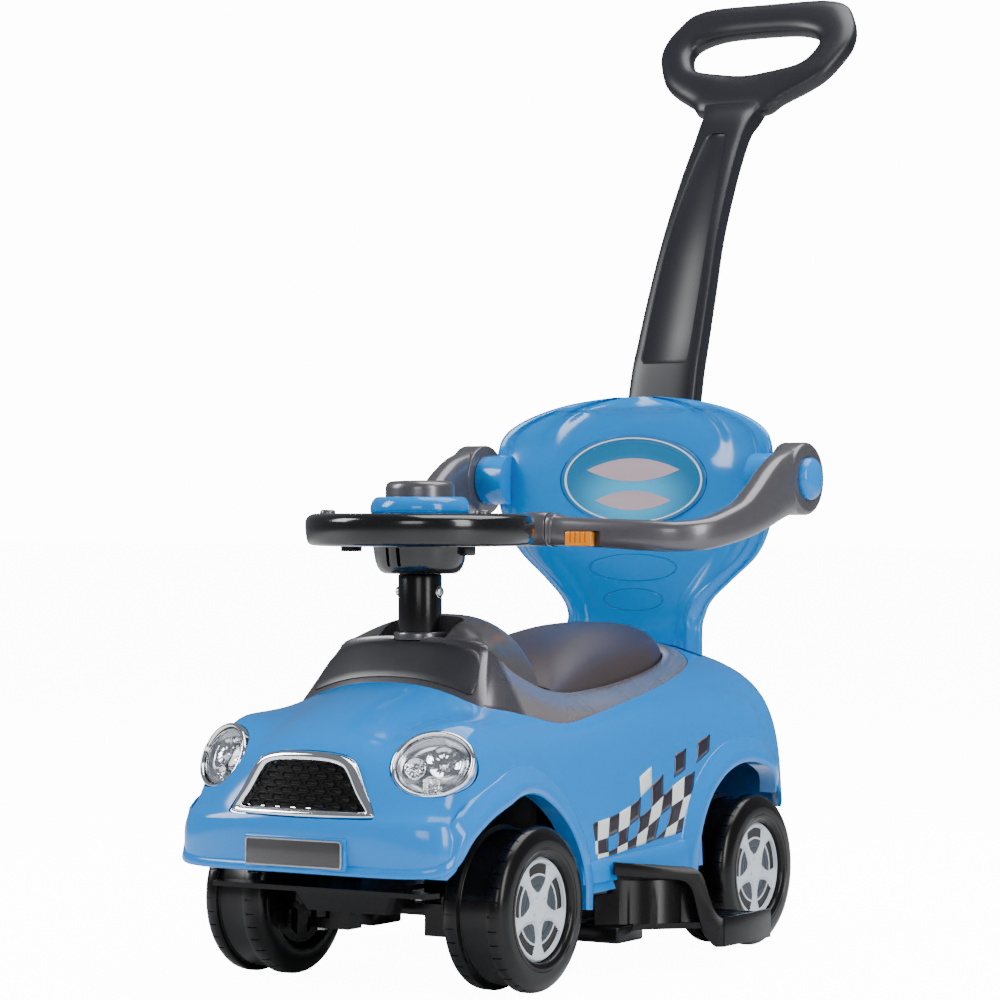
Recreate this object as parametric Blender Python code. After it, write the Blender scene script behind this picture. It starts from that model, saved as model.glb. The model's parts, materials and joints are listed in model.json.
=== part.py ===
"""Kids ride-on push car: body shell, cockpit, seat, steering, wheels, guard rail, backrest and push handle.

Lengths are millimetres in the tables below and are turned into metres when a mesh is made. The car stands
on z = 0 and drives towards -Y; +X is the child's left side. Tables use y = 0 midway between the axles; the
empty "car_frame" moves everything so that the origin is under the middle of the whole car.
"""
import bpy
import bmesh
import math
from mathutils import Matrix, Vector
from mathutils.bvhtree import BVHTree

MM = 0.001
ORIGIN_SHIFT_Y = -83.9      # moves the car so that its bounding box is centred on the origin
CLEAR = 0.4                 # running gap between pieces that touch

# Wheels and axles
WHEEL_R = 68.0
AXLE_Y = 188.6              # front axle at -AXLE_Y, rear axle at +AXLE_Y
WHEEL_OUTER_X = 148.7
WHEEL_W = 61.0
HUBCAP_R = 42.5
AXLE_R = 4.0
KINGPIN_X = 72.0

WHEEL_SIDES = 22            # a flat side rests on the ground
KINGPIN_TIP = 2.4           # how far a kingpin's head stands above its bracket

# Body
WALL = 3.0
FRONT_ARCH_R = 93.0
REAR_ARCH_R = 97.0
FLARE_W = 22.0
ARCH_GAP = 1.5               # the opening cut in the wall is this much wider than its flare
ARCH_SIDES = 30

# Steering
COLUMN_Y = -147.0
COLUMN_R = 18.5
COLLAR_R = 22.5
ROD_R = 5.0
RIM_R = 97.0
CRANK = 30.0                # length of the crank and of both steering arms

# Guard rail, backrest and handle
HUB_X, HUB_Y, HUB_Z = 170.0, 213.5, 421.0
RAIL_SPLIT_X = 19.5         # where the two guard arms meet
SEAT_HINGE = (-66.0, 243.0)  # y and z of the seat lid's hinge

COLOURS = {
    "blue": ((0.010, 0.330, 0.860), 0.22, 0.0),
    "black": ((0.012, 0.012, 0.013), 0.38, 0.0),
    "tyre": ((0.010, 0.010, 0.011), 0.45, 0.0),
    "gunmetal": ((0.105, 0.105, 0.125), 0.32, 0.35),
    "silver_grey": ((0.260, 0.240, 0.255), 0.30, 0.55),
    "seat_grey": ((0.075, 0.065, 0.065), 0.35, 0.1),
    "panel_grey": ((0.040, 0.040, 0.045), 0.60, 0.0),
    "handle_grey": ((0.042, 0.042, 0.056), 0.45, 0.0),
    "chrome": ((0.80, 0.81, 0.83), 0.08, 1.0),
    "wheel_silver": ((0.56, 0.60, 0.65), 0.30, 0.7),
    "steel": ((0.45, 0.45, 0.46), 0.35, 1.0),
    "clear": ((0.90, 0.92, 0.94), 0.05, 0.0),
    "amber": ((0.900, 0.360, 0.010), 0.35, 0.0),
    "badge": ((0.180, 0.560, 0.720), 0.25, 0.0),
}


def clear_scene():
    for obj in list(bpy.data.objects):
        bpy.data.objects.remove(obj, do_unlink=True)


def make_material(name):
    colour, roughness, metallic = COLOURS[name]
    material = bpy.data.materials.get(name)
    if material is None:
        material = bpy.data.materials.new(name)
        material.use_nodes = True
        shader = material.node_tree.nodes["Principled BSDF"]
        shader.inputs["Base Color"].default_value = (*colour, 1.0)
        shader.inputs["Roughness"].default_value = roughness
        shader.inputs["Metallic"].default_value = metallic
        material.diffuse_color = (*colour, 1.0)
    return material


def make_empty(name, location, parent=None):
    """An empty at a place given in car millimetres; moving pieces hang on it."""
    empty = bpy.data.objects.new(name, None)
    bpy.context.scene.collection.objects.link(empty)
    offset = Vector(location) - (Vector(parent["place"]) if parent else Vector((0, 0, 0)))
    empty.location = offset * MM
    empty.parent = parent
    empty["place"] = tuple(location)
    return empty


def finish_object(name, bm, colour, parent, smooth_angle=35.0):
    """Turn a bmesh in car millimetres into an object whose origin is its parent's place."""
    place = Vector(parent["place"])
    bmesh.ops.remove_doubles(bm, verts=bm.verts, dist=0.01)
    bmesh.ops.recalc_face_normals(bm, faces=bm.faces)
    for vert in bm.verts:
        vert.co = (vert.co - place) * MM
    mesh = bpy.data.meshes.new(name)
    bm.to_mesh(mesh)
    bm.free()
    mesh.materials.append(make_material(colour))
    mesh.shade_smooth()
    mesh.set_sharp_from_angle(angle=math.radians(smooth_angle))
    obj = bpy.data.objects.new(name, mesh)
    bpy.context.scene.collection.objects.link(obj)
    obj.parent = parent
    return obj


def add_rings(bm, rings, closed_ring=True, cap_start=False, cap_end=False, closed_path=False):
    """Skin a list of rings of points with quads, which is a loft through them."""
    loops = [[bm.verts.new(point) for point in ring] for ring in rings]
    count = len(loops[0])
    spans = len(loops) if closed_path else len(loops) - 1
    for i in range(spans):
        here, there = loops[i], loops[(i + 1) % len(loops)]
        for j in range(count if closed_ring else count - 1):
            k = (j + 1) % count
            corners = [here[j], here[k], there[k], there[j]]
            corners = [v for n, v in enumerate(corners) if v not in corners[:n]]
            if len(corners) > 2:
                bm.faces.new(corners)
    if cap_start:
        bm.faces.new(loops[0])
    if cap_end:
        bm.faces.new(loops[-1])
    return loops


def loft(rings, **options):
    bm = bmesh.new()
    add_rings(bm, rings, **options)
    return bm


def revolve(profile, centre, axis, segments=24):
    """Turn a closed profile of (along axis, radius) points round an axis through centre."""
    axis = Vector(axis).normalized()
    side = Vector((0, 0, -1)) if abs(axis.z) < 0.5 else Vector((1, 0, 0))
    across = axis.cross(side)
    rings = []
    for i in range(segments):
        angle = 2 * math.pi * (i + 0.5) / segments
        out = side * math.cos(angle) + across * math.sin(angle)
        rings.append([Vector(centre) + axis * along + out * radius for along, radius in profile])
    return loft(rings, closed_ring=True, closed_path=True)


def solid_revolve(profile, centre, axis, segments=24):
    """Turn an open profile whose ends lie on the axis, which gives a solid with its poles filled."""
    axis = Vector(axis).normalized()
    side = axis.orthogonal().normalized()
    across = axis.cross(side)
    bm = bmesh.new()
    rings = []
    for along, radius in profile[1:-1]:
        rings.append([Vector(centre) + axis * along + (side * math.cos(a) + across * math.sin(a)) * radius
                      for a in (2 * math.pi * i / segments for i in range(segments))])
    loops = add_rings(bm, rings)
    for loop, (along, _) in ((loops[0], profile[0]), (loops[-1], profile[-1])):
        pole = bm.verts.new(Vector(centre) + axis * along)
        for j in range(segments):
            bm.faces.new((loop[j], loop[(j + 1) % segments], pole))
    return bm


def cylinder(start, end, radius, segments=16):
    axis = Vector(end) - Vector(start)
    return solid_revolve([(0, 0), (0, radius), (axis.length, radius), (axis.length, 0)], start, axis, segments)


def box(low, high):
    bm = bmesh.new()
    bmesh.ops.create_cube(bm, size=1.0)
    middle = (Vector(low) + Vector(high)) / 2
    size = Vector(high) - Vector(low)
    for vert in bm.verts:
        vert.co = Vector((vert.co.x * size.x, vert.co.y * size.y, vert.co.z * size.z)) + middle
    return bm


def rounded_box(low, high, radius, segments=1):
    bm = box(low, high)
    bmesh.ops.bevel(bm, geom=bm.edges[:], offset=radius, segments=segments, affect="EDGES", profile=0.5)
    return bm


def prism(outline, low_z, high_z):
    """Extrude a plan outline of (x, y) points between two heights."""
    rings = [[Vector((x, y, z)) for x, y in outline] for z in (low_z, high_z)]
    return loft(rings, cap_start=True, cap_end=True)


def span(sign, near, far):
    """The lower and upper x of a range that lies on the left side (sign 1) or is mirrored to the right (-1)."""
    return min(sign * near, sign * far), max(sign * near, sign * far)


def boolean(obj, tools, operation, colour="black"):
    """Apply Booleans to an object one after another; each tool is a bmesh in car millimetres."""
    for index, tool in enumerate(tools):
        parent = obj.parent
        cutter = finish_object(f"{obj.name}_tool_{index}", tool, colour, parent)
        modifier = obj.modifiers.new("boolean", "BOOLEAN")
        modifier.operation = operation
        modifier.solver = "EXACT"
        modifier.object = cutter
        apply_modifiers(obj)
        bpy.data.objects.remove(cutter, do_unlink=True)
    return obj


def apply_modifiers(obj):
    bpy.context.view_layer.update()
    graph = bpy.context.evaluated_depsgraph_get()
    mesh = bpy.data.meshes.new_from_object(obj.evaluated_get(graph), depsgraph=graph)
    mesh.name = obj.name
    obj.modifiers.clear()
    obj.data = mesh


def smooth_by_angle(obj, angle=35.0):
    obj.data.shade_smooth()
    obj.data.set_sharp_from_angle(angle=math.radians(angle))


def smooth_stations(stations, per_span):
    """Catmull-Rom stations between the given ones; a station is a tuple of any numbers."""
    result = []
    last = len(stations) - 1
    for i in range(last):
        before, after = stations[max(i - 1, 0)], stations[min(i + 2, last)]
        for step in range(per_span):
            t = step / per_span
            point = []
            for a, b, c, d in zip(before, stations[i], stations[i + 1], after):
                line = 2 * b + (c - a) * t
                bend = (2 * a - 5 * b + 4 * c - d) * t ** 2 + (3 * b - a - 3 * c + d) * t ** 3
                point.append(0.5 * (line + bend))
            result.append(tuple(point))
    result.append(tuple(stations[last]))
    return result


def mirror_half(half):
    """Full outline from a half outline that starts and ends on x = 0."""
    return half + [(-p[0], *p[1:]) for p in reversed(half[1:-1])]


def oval_section(half_w, half_h, power, count):
    """Points of a superellipse: a power above two gives a rectangle with soft corners."""
    result = []
    for i in range(count):
        angle = 2 * math.pi * (i + 0.5) / count
        c, s = math.cos(angle), math.sin(angle)
        result.append((half_w * math.copysign(abs(c) ** (2 / power), c),
                       half_h * math.copysign(abs(s) ** (2 / power), s)))
    return result


def sweep(stations, up_hint, power=3.0, count=14):
    """Sweep a soft rectangle along stations of (x, y, z, half width, half height)."""
    up_hint = Vector(up_hint)
    centres = [Vector(s[:3]) for s in stations]
    last = len(centres) - 1
    rings = []
    for i, centre in enumerate(centres):
        tangent = (centres[min(i + 1, last)] - centres[max(i - 1, 0)]).normalized()
        side = tangent.cross(up_hint).normalized()
        upward = side.cross(tangent)
        section = oval_section(stations[i][3], stations[i][4], power, count)
        rings.append([centre + side * a + upward * b for a, b in section])
    return loft(rings, cap_start=True, cap_end=True)


def round_rect(low, high, radius, steps=3):
    """Plan outline of a rectangle with round corners."""
    (x0, y0), (x1, y1) = low, high
    outline = []
    for cx, cy, first in ((x1 - radius, y1 - radius, 0), (x0 + radius, y1 - radius, 90),
                          (x0 + radius, y0 + radius, 180), (x1 - radius, y0 + radius, 270)):
        for i in range(steps + 1):
            angle = math.radians(first + 90 * i / steps)
            outline.append((cx + radius * math.cos(angle), cy + radius * math.sin(angle)))
    return outline


# Body shell: a cage of rows from the bumper's lower edge over the hood and the tail to the rear lower edge.
# Each row runs from the centre line to the side's lower edge.
BODY_CAGE = [
    [(0, -328, 104), (40, -327, 104), (80, -324, 103), (104, -320, 103), (121, -313, 102), (131, -302, 101),
     (134, -293, 101), (134, -284, 101)],
    [(0, -331, 121), (40, -330, 121), (82, -327, 121), (106, -323, 121), (124, -314, 120), (133, -300, 118),
     (135, -288, 110), (134, -274, 101)],
    [(0, -331, 145), (40, -330, 145), (82, -327, 145), (106, -321, 145), (124, -310, 145), (133, -295, 142),
     (135, -278, 122), (134, -262, 101)],
    [(0, -327, 150), (40, -326, 150), (78, -320, 150), (100, -313, 151), (118, -302, 152), (129, -286, 152),
     (133, -268, 128), (134, -250, 101)],
    [(0, -324, 172), (38, -322, 172), (70, -315, 172), (90, -308, 170), (114, -296, 172), (129, -276, 172),
     (132, -256, 138), (134, -238, 100)],
    [(0, -314, 203), (34, -312, 203), (60, -303, 198), (80, -295, 201), (106, -283, 206), (127, -264, 198),
     (132, -244, 150), (134, -226, 98)],
    [(0, -288, 218), (34, -286, 217), (60, -279, 211), (80, -272, 218), (104, -263, 226), (126, -248, 212),
     (132, -230, 160), (134, -214, 95)],
    [(0, -252, 233), (36, -250, 231), (62, -245, 222), (82, -241, 222), (105, -236, 227), (125, -226, 212),
     (131, -214, 162), (134, -200, 92)],
    [(0, -216, 245), (38, -215, 243), (66, -212, 235), (87, -208, 229), (109, -204, 225), (123, -199, 209),
     (129, -192, 160), (133, -180, 88)],
    [(0, -178, 256), (38, -178, 254), (68, -177, 246), (91, -175, 235), (109, -173, 223), (121, -170, 205),
     (126, -166, 156), (132, -155, 80)],
    [(0, -130, 262), (38, -130, 258), (68, -130, 246), (93, -130, 230), (110, -130, 216), (118, -130, 197),
     (121, -128, 150), (131, -122, 72)],
    [(0, -85, 258), (38, -85, 254), (68, -85, 240), (92, -85, 224), (109, -85, 210), (116, -85, 191),
     (117, -85, 140), (131, -85, 70)],
    [(0, -35, 262), (38, -35, 258), (68, -35, 245), (90, -35, 230), (108, -35, 215), (115, -35, 194),
     (117, -35, 136), (132, -35, 72)],
    [(0, 25, 266), (38, 25, 262), (68, 25, 251), (90, 25, 238), (107, 25, 222), (117, 25, 200),
     (119, 25, 136), (133, 25, 72)],
    [(0, 85, 270), (36, 85, 267), (66, 85, 257), (88, 85, 245), (106, 85, 228), (119, 85, 204),
     (123, 85, 142), (133, 85, 74)],
    [(0, 140, 274), (34, 140, 271), (62, 140, 262), (84, 140, 250), (104, 140, 234), (121, 140, 208),
     (127, 140, 150), (133, 140, 78)],
    [(0, 190, 276), (32, 190, 273), (58, 190, 264), (80, 190, 251), (103, 190, 234), (122, 190, 207),
     (129, 190, 150), (133, 190, 88)],
    [(0, 238, 268), (30, 238, 266), (56, 237, 259), (79, 235, 247), (102, 231, 230), (121, 226, 203),
     (129, 221, 150), (132, 222, 100)],
    [(0, 276, 250), (30, 275, 248), (58, 273, 242), (82, 269, 232), (104, 262, 216), (121, 252, 190),
     (129, 245, 145), (132, 246, 108)],
    [(0, 292, 208), (32, 292, 207), (62, 289, 203), (88, 285, 196), (109, 277, 183), (124, 266, 163),
     (130, 258, 136), (132, 258, 114)],
    [(0, 294, 160), (34, 294, 160), (66, 292, 158), (92, 289, 154), (112, 283, 148), (126, 273, 140),
     (131, 265, 128), (131, 265, 117)],
    [(0, 290, 118), (34, 290, 118), (66, 288, 118), (92, 286, 118), (110, 282, 118), (122, 276, 118),
     (128, 271, 118), (130, 267, 118)],
]

# Cockpit surround: outer (x, y) and inner (x, y, z) edge from the windscreen to the seat's back
SURROUND = [
    (0, -197, 0, -163, 287),
    (48, -196.5, 40, -162, 285.5),
    (84, -194, 70, -158, 279),
    (93.5, -188, 75, -151, 273),
    (99.5, -172, 77.5, -140, 266),
    (103.5, -145, 79, -126, 257),
    (106, -95, 82, -90, 243),
    (104, -42, 79, -42, 236),
    (102, 12, 75, 12, 237),
    (99, 70, 72, 70, 242),
    (93, 130, 68, 126, 250),
    (82, 172, 59.5, 163, 258),
    (66, 191, 48, 181, 263),
    (40, 202.5, 29, 191.5, 266),
    (0, 206, 0, 195, 267),
]
SURROUND_STEPS = 1

# Seat lid: y and height of the seat's middle line
LID_CROWN = [(-61.5, 245), (-47, 255), (-25, 265), (5, 275), (45, 283.5), (90, 289.5), (132, 291), (158, 289.5),
             (173, 286), (183, 280.5), (189.5, 274), (192.4, 270)]
LID_GAP = 1.3
LID_WALL = 3.0

# Dash hump: y and height of its ridge
HUMP_ROWS = [(-161.6, 286), (-156, 289.5), (-147, 296.5), (-133, 302), (-114, 304.5), (-100, 303.5),
             (-92.5, 298.5), (-89.6, 290)]
SHELF_TOP = 239.0
SHELF_BOTTOM = 232.0
POCKET = (33.5, -124.0, 283.4)   # half width, back wall y and floor z of the pocket round the column


def grid_after_subdivision():
    """Rows of points of the cage after one Subdivision Surface level: its own rows, with twice the columns."""
    rows = [[(-x, y, z) for x, y, z in reversed(row[1:])] + row for row in BODY_CAGE]
    columns = len(rows[0])
    bm = bmesh.new()
    add_rings(bm, rows, closed_ring=False)
    bm.verts.index_update()
    bm.edges.index_update()
    between = {}
    for edge in bm.edges:
        a, b = sorted(v.index for v in edge.verts)
        if b == a + 1:
            between[a] = len(bm.verts) + edge.index
    mesh = bpy.data.meshes.new("cage")
    bm.to_mesh(mesh)
    bm.free()
    cage = bpy.data.objects.new("cage", mesh)
    bpy.context.scene.collection.objects.link(cage)
    subdivide = cage.modifiers.new("subdivide", "SUBSURF")
    subdivide.levels = 1
    subdivide.render_levels = 1
    apply_modifiers(cage)
    points = [v.co.copy() for v in cage.data.vertices]
    bpy.data.objects.remove(cage, do_unlink=True)
    grid = []
    for r in range(len(rows)):
        line = []
        for c in range(columns):
            index = r * columns + c
            line.append(points[index])
            if c < columns - 1:
                line.append(points[between[index]])
        grid.append(line)
    return grid


def body_surface():
    """The outer skin of the body, in car millimetres."""
    skin = bmesh.new()
    add_rings(skin, grid_after_subdivision(), closed_ring=False)
    bmesh.ops.recalc_face_normals(skin, faces=skin.faces)
    return skin


def body_wall():
    """Outer skin, a coarser inner skin WALL behind it, and the rim that closes the edge between them."""
    grid = grid_after_subdivision()
    bm = bmesh.new()
    outer = add_rings(bm, grid, closed_ring=False)
    bm.normal_update()
    middle = Vector((0, 0, 150))
    inner = []
    for row in outer:
        line = []
        for vert in row[::2]:
            away = vert.co - Vector((0, vert.co.y * 0.8, 0)) - middle
            normal = vert.normal if vert.normal.dot(away) > 0 else -vert.normal
            line.append(bm.verts.new(vert.co - normal * WALL))
        inner.append(line)
    for a, b in zip(inner, inner[1:]):
        for j in range(len(a) - 1):
            bm.faces.new((a[j], a[j + 1], b[j + 1], b[j]))
    for end in (0, -1):
        for j in range(len(inner[0]) - 1):
            bm.faces.new((outer[end][2 * j], outer[end][2 * j + 1], inner[end][j]))
            bm.faces.new((outer[end][2 * j + 1], outer[end][2 * j + 2], inner[end][j + 1], inner[end][j]))
        for i in range(len(outer) - 1):
            bm.faces.new((outer[i][end], outer[i + 1][end], inner[i + 1][end], inner[i][end]))
    return bm


def height_on_body(tree, x, y):
    """Height of the body's skin above a plan point."""
    hit = tree.ray_cast(Vector((x, y, 600)), Vector((0, 0, -1)))
    return hit[0].z


def side_on_body(tree, y, z, sign=1):
    """Distance of the body's side from the centre plane."""
    hit = tree.ray_cast(Vector((sign * 400, y, z)), Vector((-sign, 0, 0)))
    return abs(hit[0].x) if hit[0] else 128.0


# Flare round a wheel arch: its closed section as (outward, away from the opening's edge)
FLARE_SECTION = [(-1.9, 22.4), (0.5, 22.0), (4.4, 7.0), (5.0, 2.4), (3.8, 0.0), (-9.0, 0.0), (-9.0, 2.8),
                 (-1.9, 5.2)]

# Where the front flare leaves the arch and runs on as the bumper's lower lip: point, away, outward, width
LIP_CORNER = [
    ((131, -277, 117), (0, -0.55, 0.83), (1.0, -0.05, 0), 21),
    ((130, -292, 107), (0, -0.30, 0.95), (0.97, -0.25, 0), 18),
    ((122, -308, 102), (0, 0, 1), (0.80, -0.60, 0), 15),
    ((103, -318, 101.5), (0, 0, 1), (0.34, -0.94, 0), 13),
    ((62, -324, 102), (0, 0, 1), (0.10, -0.99, 0), 12),
    ((0, -327, 102.5), (0, 0, 1), (0, -1, 0), 12),
]


def swept_band(frames):
    """Sweep the flare's section along frames of (point, away, outward, width)."""
    rings = []
    for point, away, outward, width in frames:
        scale = width / FLARE_W
        rings.append([point + outward * n + away * (u * scale) for n, u in FLARE_SECTION])
    return loft(rings, cap_start=True, cap_end=True)


def arch_frames(tree, axle_y, arch_r, angles, sign):
    """Frames round one wheel arch, whose edge keeps to the body's side."""
    frames = []
    for degrees in angles:
        angle = math.radians(degrees)
        away = Vector((0, math.cos(angle), math.sin(angle)))
        edge = Vector((0, axle_y, WHEEL_R)) + away * arch_r
        outer = edge + away * FLARE_W
        edge.x = sign * side_on_body(tree, outer.y, max(outer.z, 104.0), sign)
        frames.append((edge, away, Vector((sign, 0, 0)), FLARE_W))
    return frames


def front_flare(tree):
    """One band from the left arch's rear leg round the bumper's lip to the right arch's rear leg."""
    angles = [-6, 9, 24, 40, 55, 70, 85, 100, 114, 127]
    half = arch_frames(tree, -AXLE_Y, FRONT_ARCH_R, angles, 1)
    half += [(Vector(p), Vector(u).normalized(), Vector(n).normalized(), w) for p, u, n, w in LIP_CORNER]
    flip = Vector((-1, 1, 1))
    other = [(p * flip, u * flip, n * flip, w) for p, u, n, w in half[:-1]]
    return swept_band(half + other[::-1])


# Front lamps: centre, half axes of the oval, and how it is swept back, leant back and rolled (degrees)
LAMP_CENTRE = (103, -286, 190)
LAMP_HALF = (34.5, 28.5)
LAMP_SWEEP, LAMP_LEAN, LAMP_ROLL = 25.5, 24.0, 14.0


def lamp_axes(sign):
    sweep_back, lean, roll = (math.radians(a) for a in (LAMP_SWEEP, LAMP_LEAN, LAMP_ROLL))
    level = Vector((math.cos(sweep_back), math.sin(sweep_back), 0))
    outward = Vector((math.sin(sweep_back) * math.cos(lean), -math.cos(sweep_back) * math.cos(lean),
                      math.sin(lean)))
    upward = outward.cross(level).normalized()
    if upward.z < 0:
        upward = -upward
    long_axis = level * math.cos(roll) + upward * math.sin(roll)
    short_axis = upward * math.cos(roll) - level * math.sin(roll)
    flip = Vector((sign, 1, 1))
    return Vector(LAMP_CENTRE) * flip, long_axis * flip, short_axis * flip, outward * flip


def lamp_ring(sign, inset, along, count=20):
    """An oval ring of the lamp, inset from its rim and moved along its outward axis."""
    centre, long_axis, short_axis, outward = lamp_axes(sign)
    a, b = LAMP_HALF[0] - inset, LAMP_HALF[1] - inset
    ring = []
    for i in range(count):
        angle = 2 * math.pi * i / count
        ring.append(centre + outward * along + long_axis * (a * math.cos(angle)) + short_axis * (b * math.sin(angle)))
    return ring


# Grille: half outlines of (x, z) for the surround's outer and inner edges, point for point
GRILLE_OUTER = [(0, 199.5), (24, 198.5), (40, 195), (49, 187.5), (60, 169), (69.5, 153), (70.5, 149.5),
                (66, 147.6), (40, 147.2), (0, 147)]
GRILLE_INNER = [(0, 191.5), (22, 190.8), (35, 188), (41.5, 182), (51, 166), (58.5, 156.5), (59.8, 154.6),
                (57, 153.7), (36, 153.6), (0, 153.5)]
GRILLE_MIDDLE = 171.0
GRILLE_DEPTH = 8.0
HEX_PITCH = (14.6, 7.4)
HEXAGON = [(-6.0, 0), (-3.4, 2.6), (3.4, 2.6), (6.0, 0), (3.4, -2.6), (-3.4, -2.6)]


def grille_face(x, z):
    """The grille bows in plan and leans back a little."""
    return -327.5 + 7.5 * (x / 70.0) ** 2 + 0.2 * (z - 150.0)


def grille_ring(half, grow, depth):
    ring = []
    for x, z in mirror_half(half):
        radial = Vector((x, 0, z - GRILLE_MIDDLE))
        point = radial + radial.normalized() * grow
        ring.append(Vector((point.x, grille_face(x, z) + depth, point.z + GRILLE_MIDDLE)))
    return ring


def surround_loop(tree):
    """Stations of the cockpit surround all round: outer point on the body and inner point."""
    half = smooth_stations(SURROUND, SURROUND_STEPS)
    loop = []
    for ox, oy, ix, iy, iz in half:
        loop.append((Vector((ox, oy, height_on_body(tree, ox, oy))), Vector((ix, iy, iz))))
    flip = Vector((-1, 1, 1))
    return loop + [(o * flip, i * flip) for o, i in reversed(loop[1:-1])]


def cockpit_edge(y):
    """Half width and height of the cockpit surround's inner edge at a y."""
    half = smooth_stations(SURROUND, SURROUND_STEPS)
    for (_, _, x0, y0, z0), (_, _, x1, y1, z1) in zip(half, half[1:]):
        if y <= y1 or y1 == half[-1][3]:
            t = min(max((y - y0) / (y1 - y0), 0.0), 1.0)
            return x0 + (x1 - x0) * t, z0 + (z1 - z0) * t
    return 0.0, half[-1][4]


def build_body(parent):
    skin = body_surface()
    tree = BVHTree.FromBMesh(skin)
    skin.free()
    shell = finish_object("body_shell", body_wall(), "blue", parent, 40.0)
    cuts = []
    for sign in (-1, 1):
        for y, radius in ((-AXLE_Y, FRONT_ARCH_R), (AXLE_Y, REAR_ARCH_R)):
            cuts.append(cylinder((sign * 58, y, WHEEL_R), (sign * 170, y, WHEEL_R), radius + ARCH_GAP, ARCH_SIDES))
    boolean(shell, cuts, "DIFFERENCE")
    flares = [front_flare(tree)]
    for sign in (-1, 1):
        angles = [179, 164, 149, 134, 119, 104, 89, 74, 58, 41]
        flares.append(swept_band(arch_frames(tree, AXLE_Y, REAR_ARCH_R, angles, sign)))
    boolean(shell, flares, "UNION")
    outline = [(o.x, o.y) for o, _ in surround_loop(tree)]
    trims = [prism(outline, 190, 330),
             loft([grille_ring(GRILLE_OUTER, 0.4, -12), grille_ring(GRILLE_OUTER, 0.4, 30)],
                  cap_start=True, cap_end=True)]
    for sign in (-1, 1):
        trims.append(loft([lamp_ring(sign, -CLEAR, -28), lamp_ring(sign, -CLEAR, 28)], cap_start=True, cap_end=True))
    trims.append(box((-38, 238.3, 180), (38, 263.7, 320)))
    trims.append(box((-41, 213.5, 230), (41, 232.5, 320)))
    boolean(shell, trims, "DIFFERENCE")
    boolean(shell, [rounded_box((-49, -331.6, 105.5), (49, -325, 132), 1.2, 1)], "UNION")
    smooth_by_angle(shell, 40)
    return tree


def build_grille(parent):
    """Chrome surround, hexagon mesh and bare number plate."""
    layers = [(GRILLE_OUTER, GRILLE_OUTER, 0.0, GRILLE_DEPTH), (GRILLE_OUTER, GRILLE_OUTER, 0.0, 0.4),
              (GRILLE_OUTER, GRILLE_INNER, 0.4, -2.2), (GRILLE_OUTER, GRILLE_INNER, 0.75, -1.4),
              (GRILLE_OUTER, GRILLE_INNER, 1.0, 1.4), (GRILLE_OUTER, GRILLE_INNER, 1.0, GRILLE_DEPTH)]
    rings = []
    for outer, inner, share, depth in layers:
        half = [(a + (c - a) * share, b + (d - b) * share) for (a, b), (c, d) in zip(outer, inner)]
        rings.append(grille_ring(half, 0.0, depth))
    finish_object("grille_surround", loft(rings, closed_path=True), "chrome", parent)
    rings = []
    for x, z in GRILLE_INNER[1:-2]:
        half_w, z = x - 0.7, z - 0.6 if z > GRILLE_MIDDLE else z + 0.6
        shares = (-1.0, -0.5, 0.0, 0.5, 1.0)
        front = [Vector((half_w * s, grille_face(half_w * s, z) + 3.6, z)) for s in shares]
        rings.append(front + [p + Vector((0, 2.6, 0)) for p in reversed(front)])
    mesh = finish_object("grille_mesh", loft(rings, cap_start=True, cap_end=True), "black", parent)
    cells = bmesh.new()
    pitch_x, pitch_z = HEX_PITCH
    for row in range(5):
        z = 158.0 + row * pitch_z
        reach = 56.5 - (z - 154.5) * 0.6
        for n in range(-5, 6):
            x = (n + 0.5 * (row % 2)) * pitch_x
            if abs(x) + 6.0 > reach:
                continue
            rings = []
            for depth in (0.0, 9.0):
                rings.append([Vector((x + dx, grille_face(x, z) + depth, z + dz)) for dx, dz in HEXAGON])
            add_rings(cells, rings, cap_start=True, cap_end=True)
    boolean(mesh, [cells], "DIFFERENCE")
    plate = rounded_box((-47, -334, 107.5), (47, -332, 130), 0.7, 1)
    finish_object("number_plate", plate, "panel_grey", parent)


def build_lamps(parent):
    for side, sign in (("left", 1), ("right", -1)):
        bezel = [lamp_ring(sign, 0.0, -12), lamp_ring(sign, 0.0, 1.2), lamp_ring(sign, 1.6, 3.0),
                 lamp_ring(sign, 3.4, 2.4), lamp_ring(sign, 4.4, -0.6), lamp_ring(sign, 4.4, -12)]
        finish_object(f"headlight_bezel_{side}", loft(bezel, closed_path=True), "chrome", parent)
        bowl = [lamp_ring(sign, 20, -12), lamp_ring(sign, 12, -9), lamp_ring(sign, 6.5, -3.4),
                lamp_ring(sign, 4.8, -3.4), lamp_ring(sign, 4.8, -8), lamp_ring(sign, 18, -16)]
        finish_object(f"headlight_reflector_{side}", loft(bowl, cap_start=True, cap_end=True), "chrome", parent)
        lens = [lamp_ring(sign, 17, 1.8), lamp_ring(sign, 6.6, -2.8), lamp_ring(sign, 4.8, -2.8),
                lamp_ring(sign, 4.8, -0.4), lamp_ring(sign, 9, 1.8), lamp_ring(sign, 17, 3.6)]
        finish_object(f"headlight_lens_{side}", loft(lens, cap_start=True, cap_end=True), "clear", parent, 60)


def surround_section(outer, inner, bulge):
    """Closed section of the cockpit surround between its outer and inner points."""
    inward = Vector((inner.x - outer.x, inner.y - outer.y, 0)).normalized()
    rise = Vector((0, 0, bulge))
    low = Vector((0, 0, -LID_WALL))
    start = outer + inward * 0.5
    first = start.lerp(inner, 0.33) + rise
    second = start.lerp(inner, 0.68) + rise
    return [start, first, second, inner, inner + Vector((0, 0, -7)), inner - inward * 2.2 + Vector((0, 0, -7)),
            second + low, first + low, start + inward * 2.2 + low, start + inward * 2.2 + Vector((0, 0, -11)),
            start + Vector((0, 0, -11))]


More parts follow.
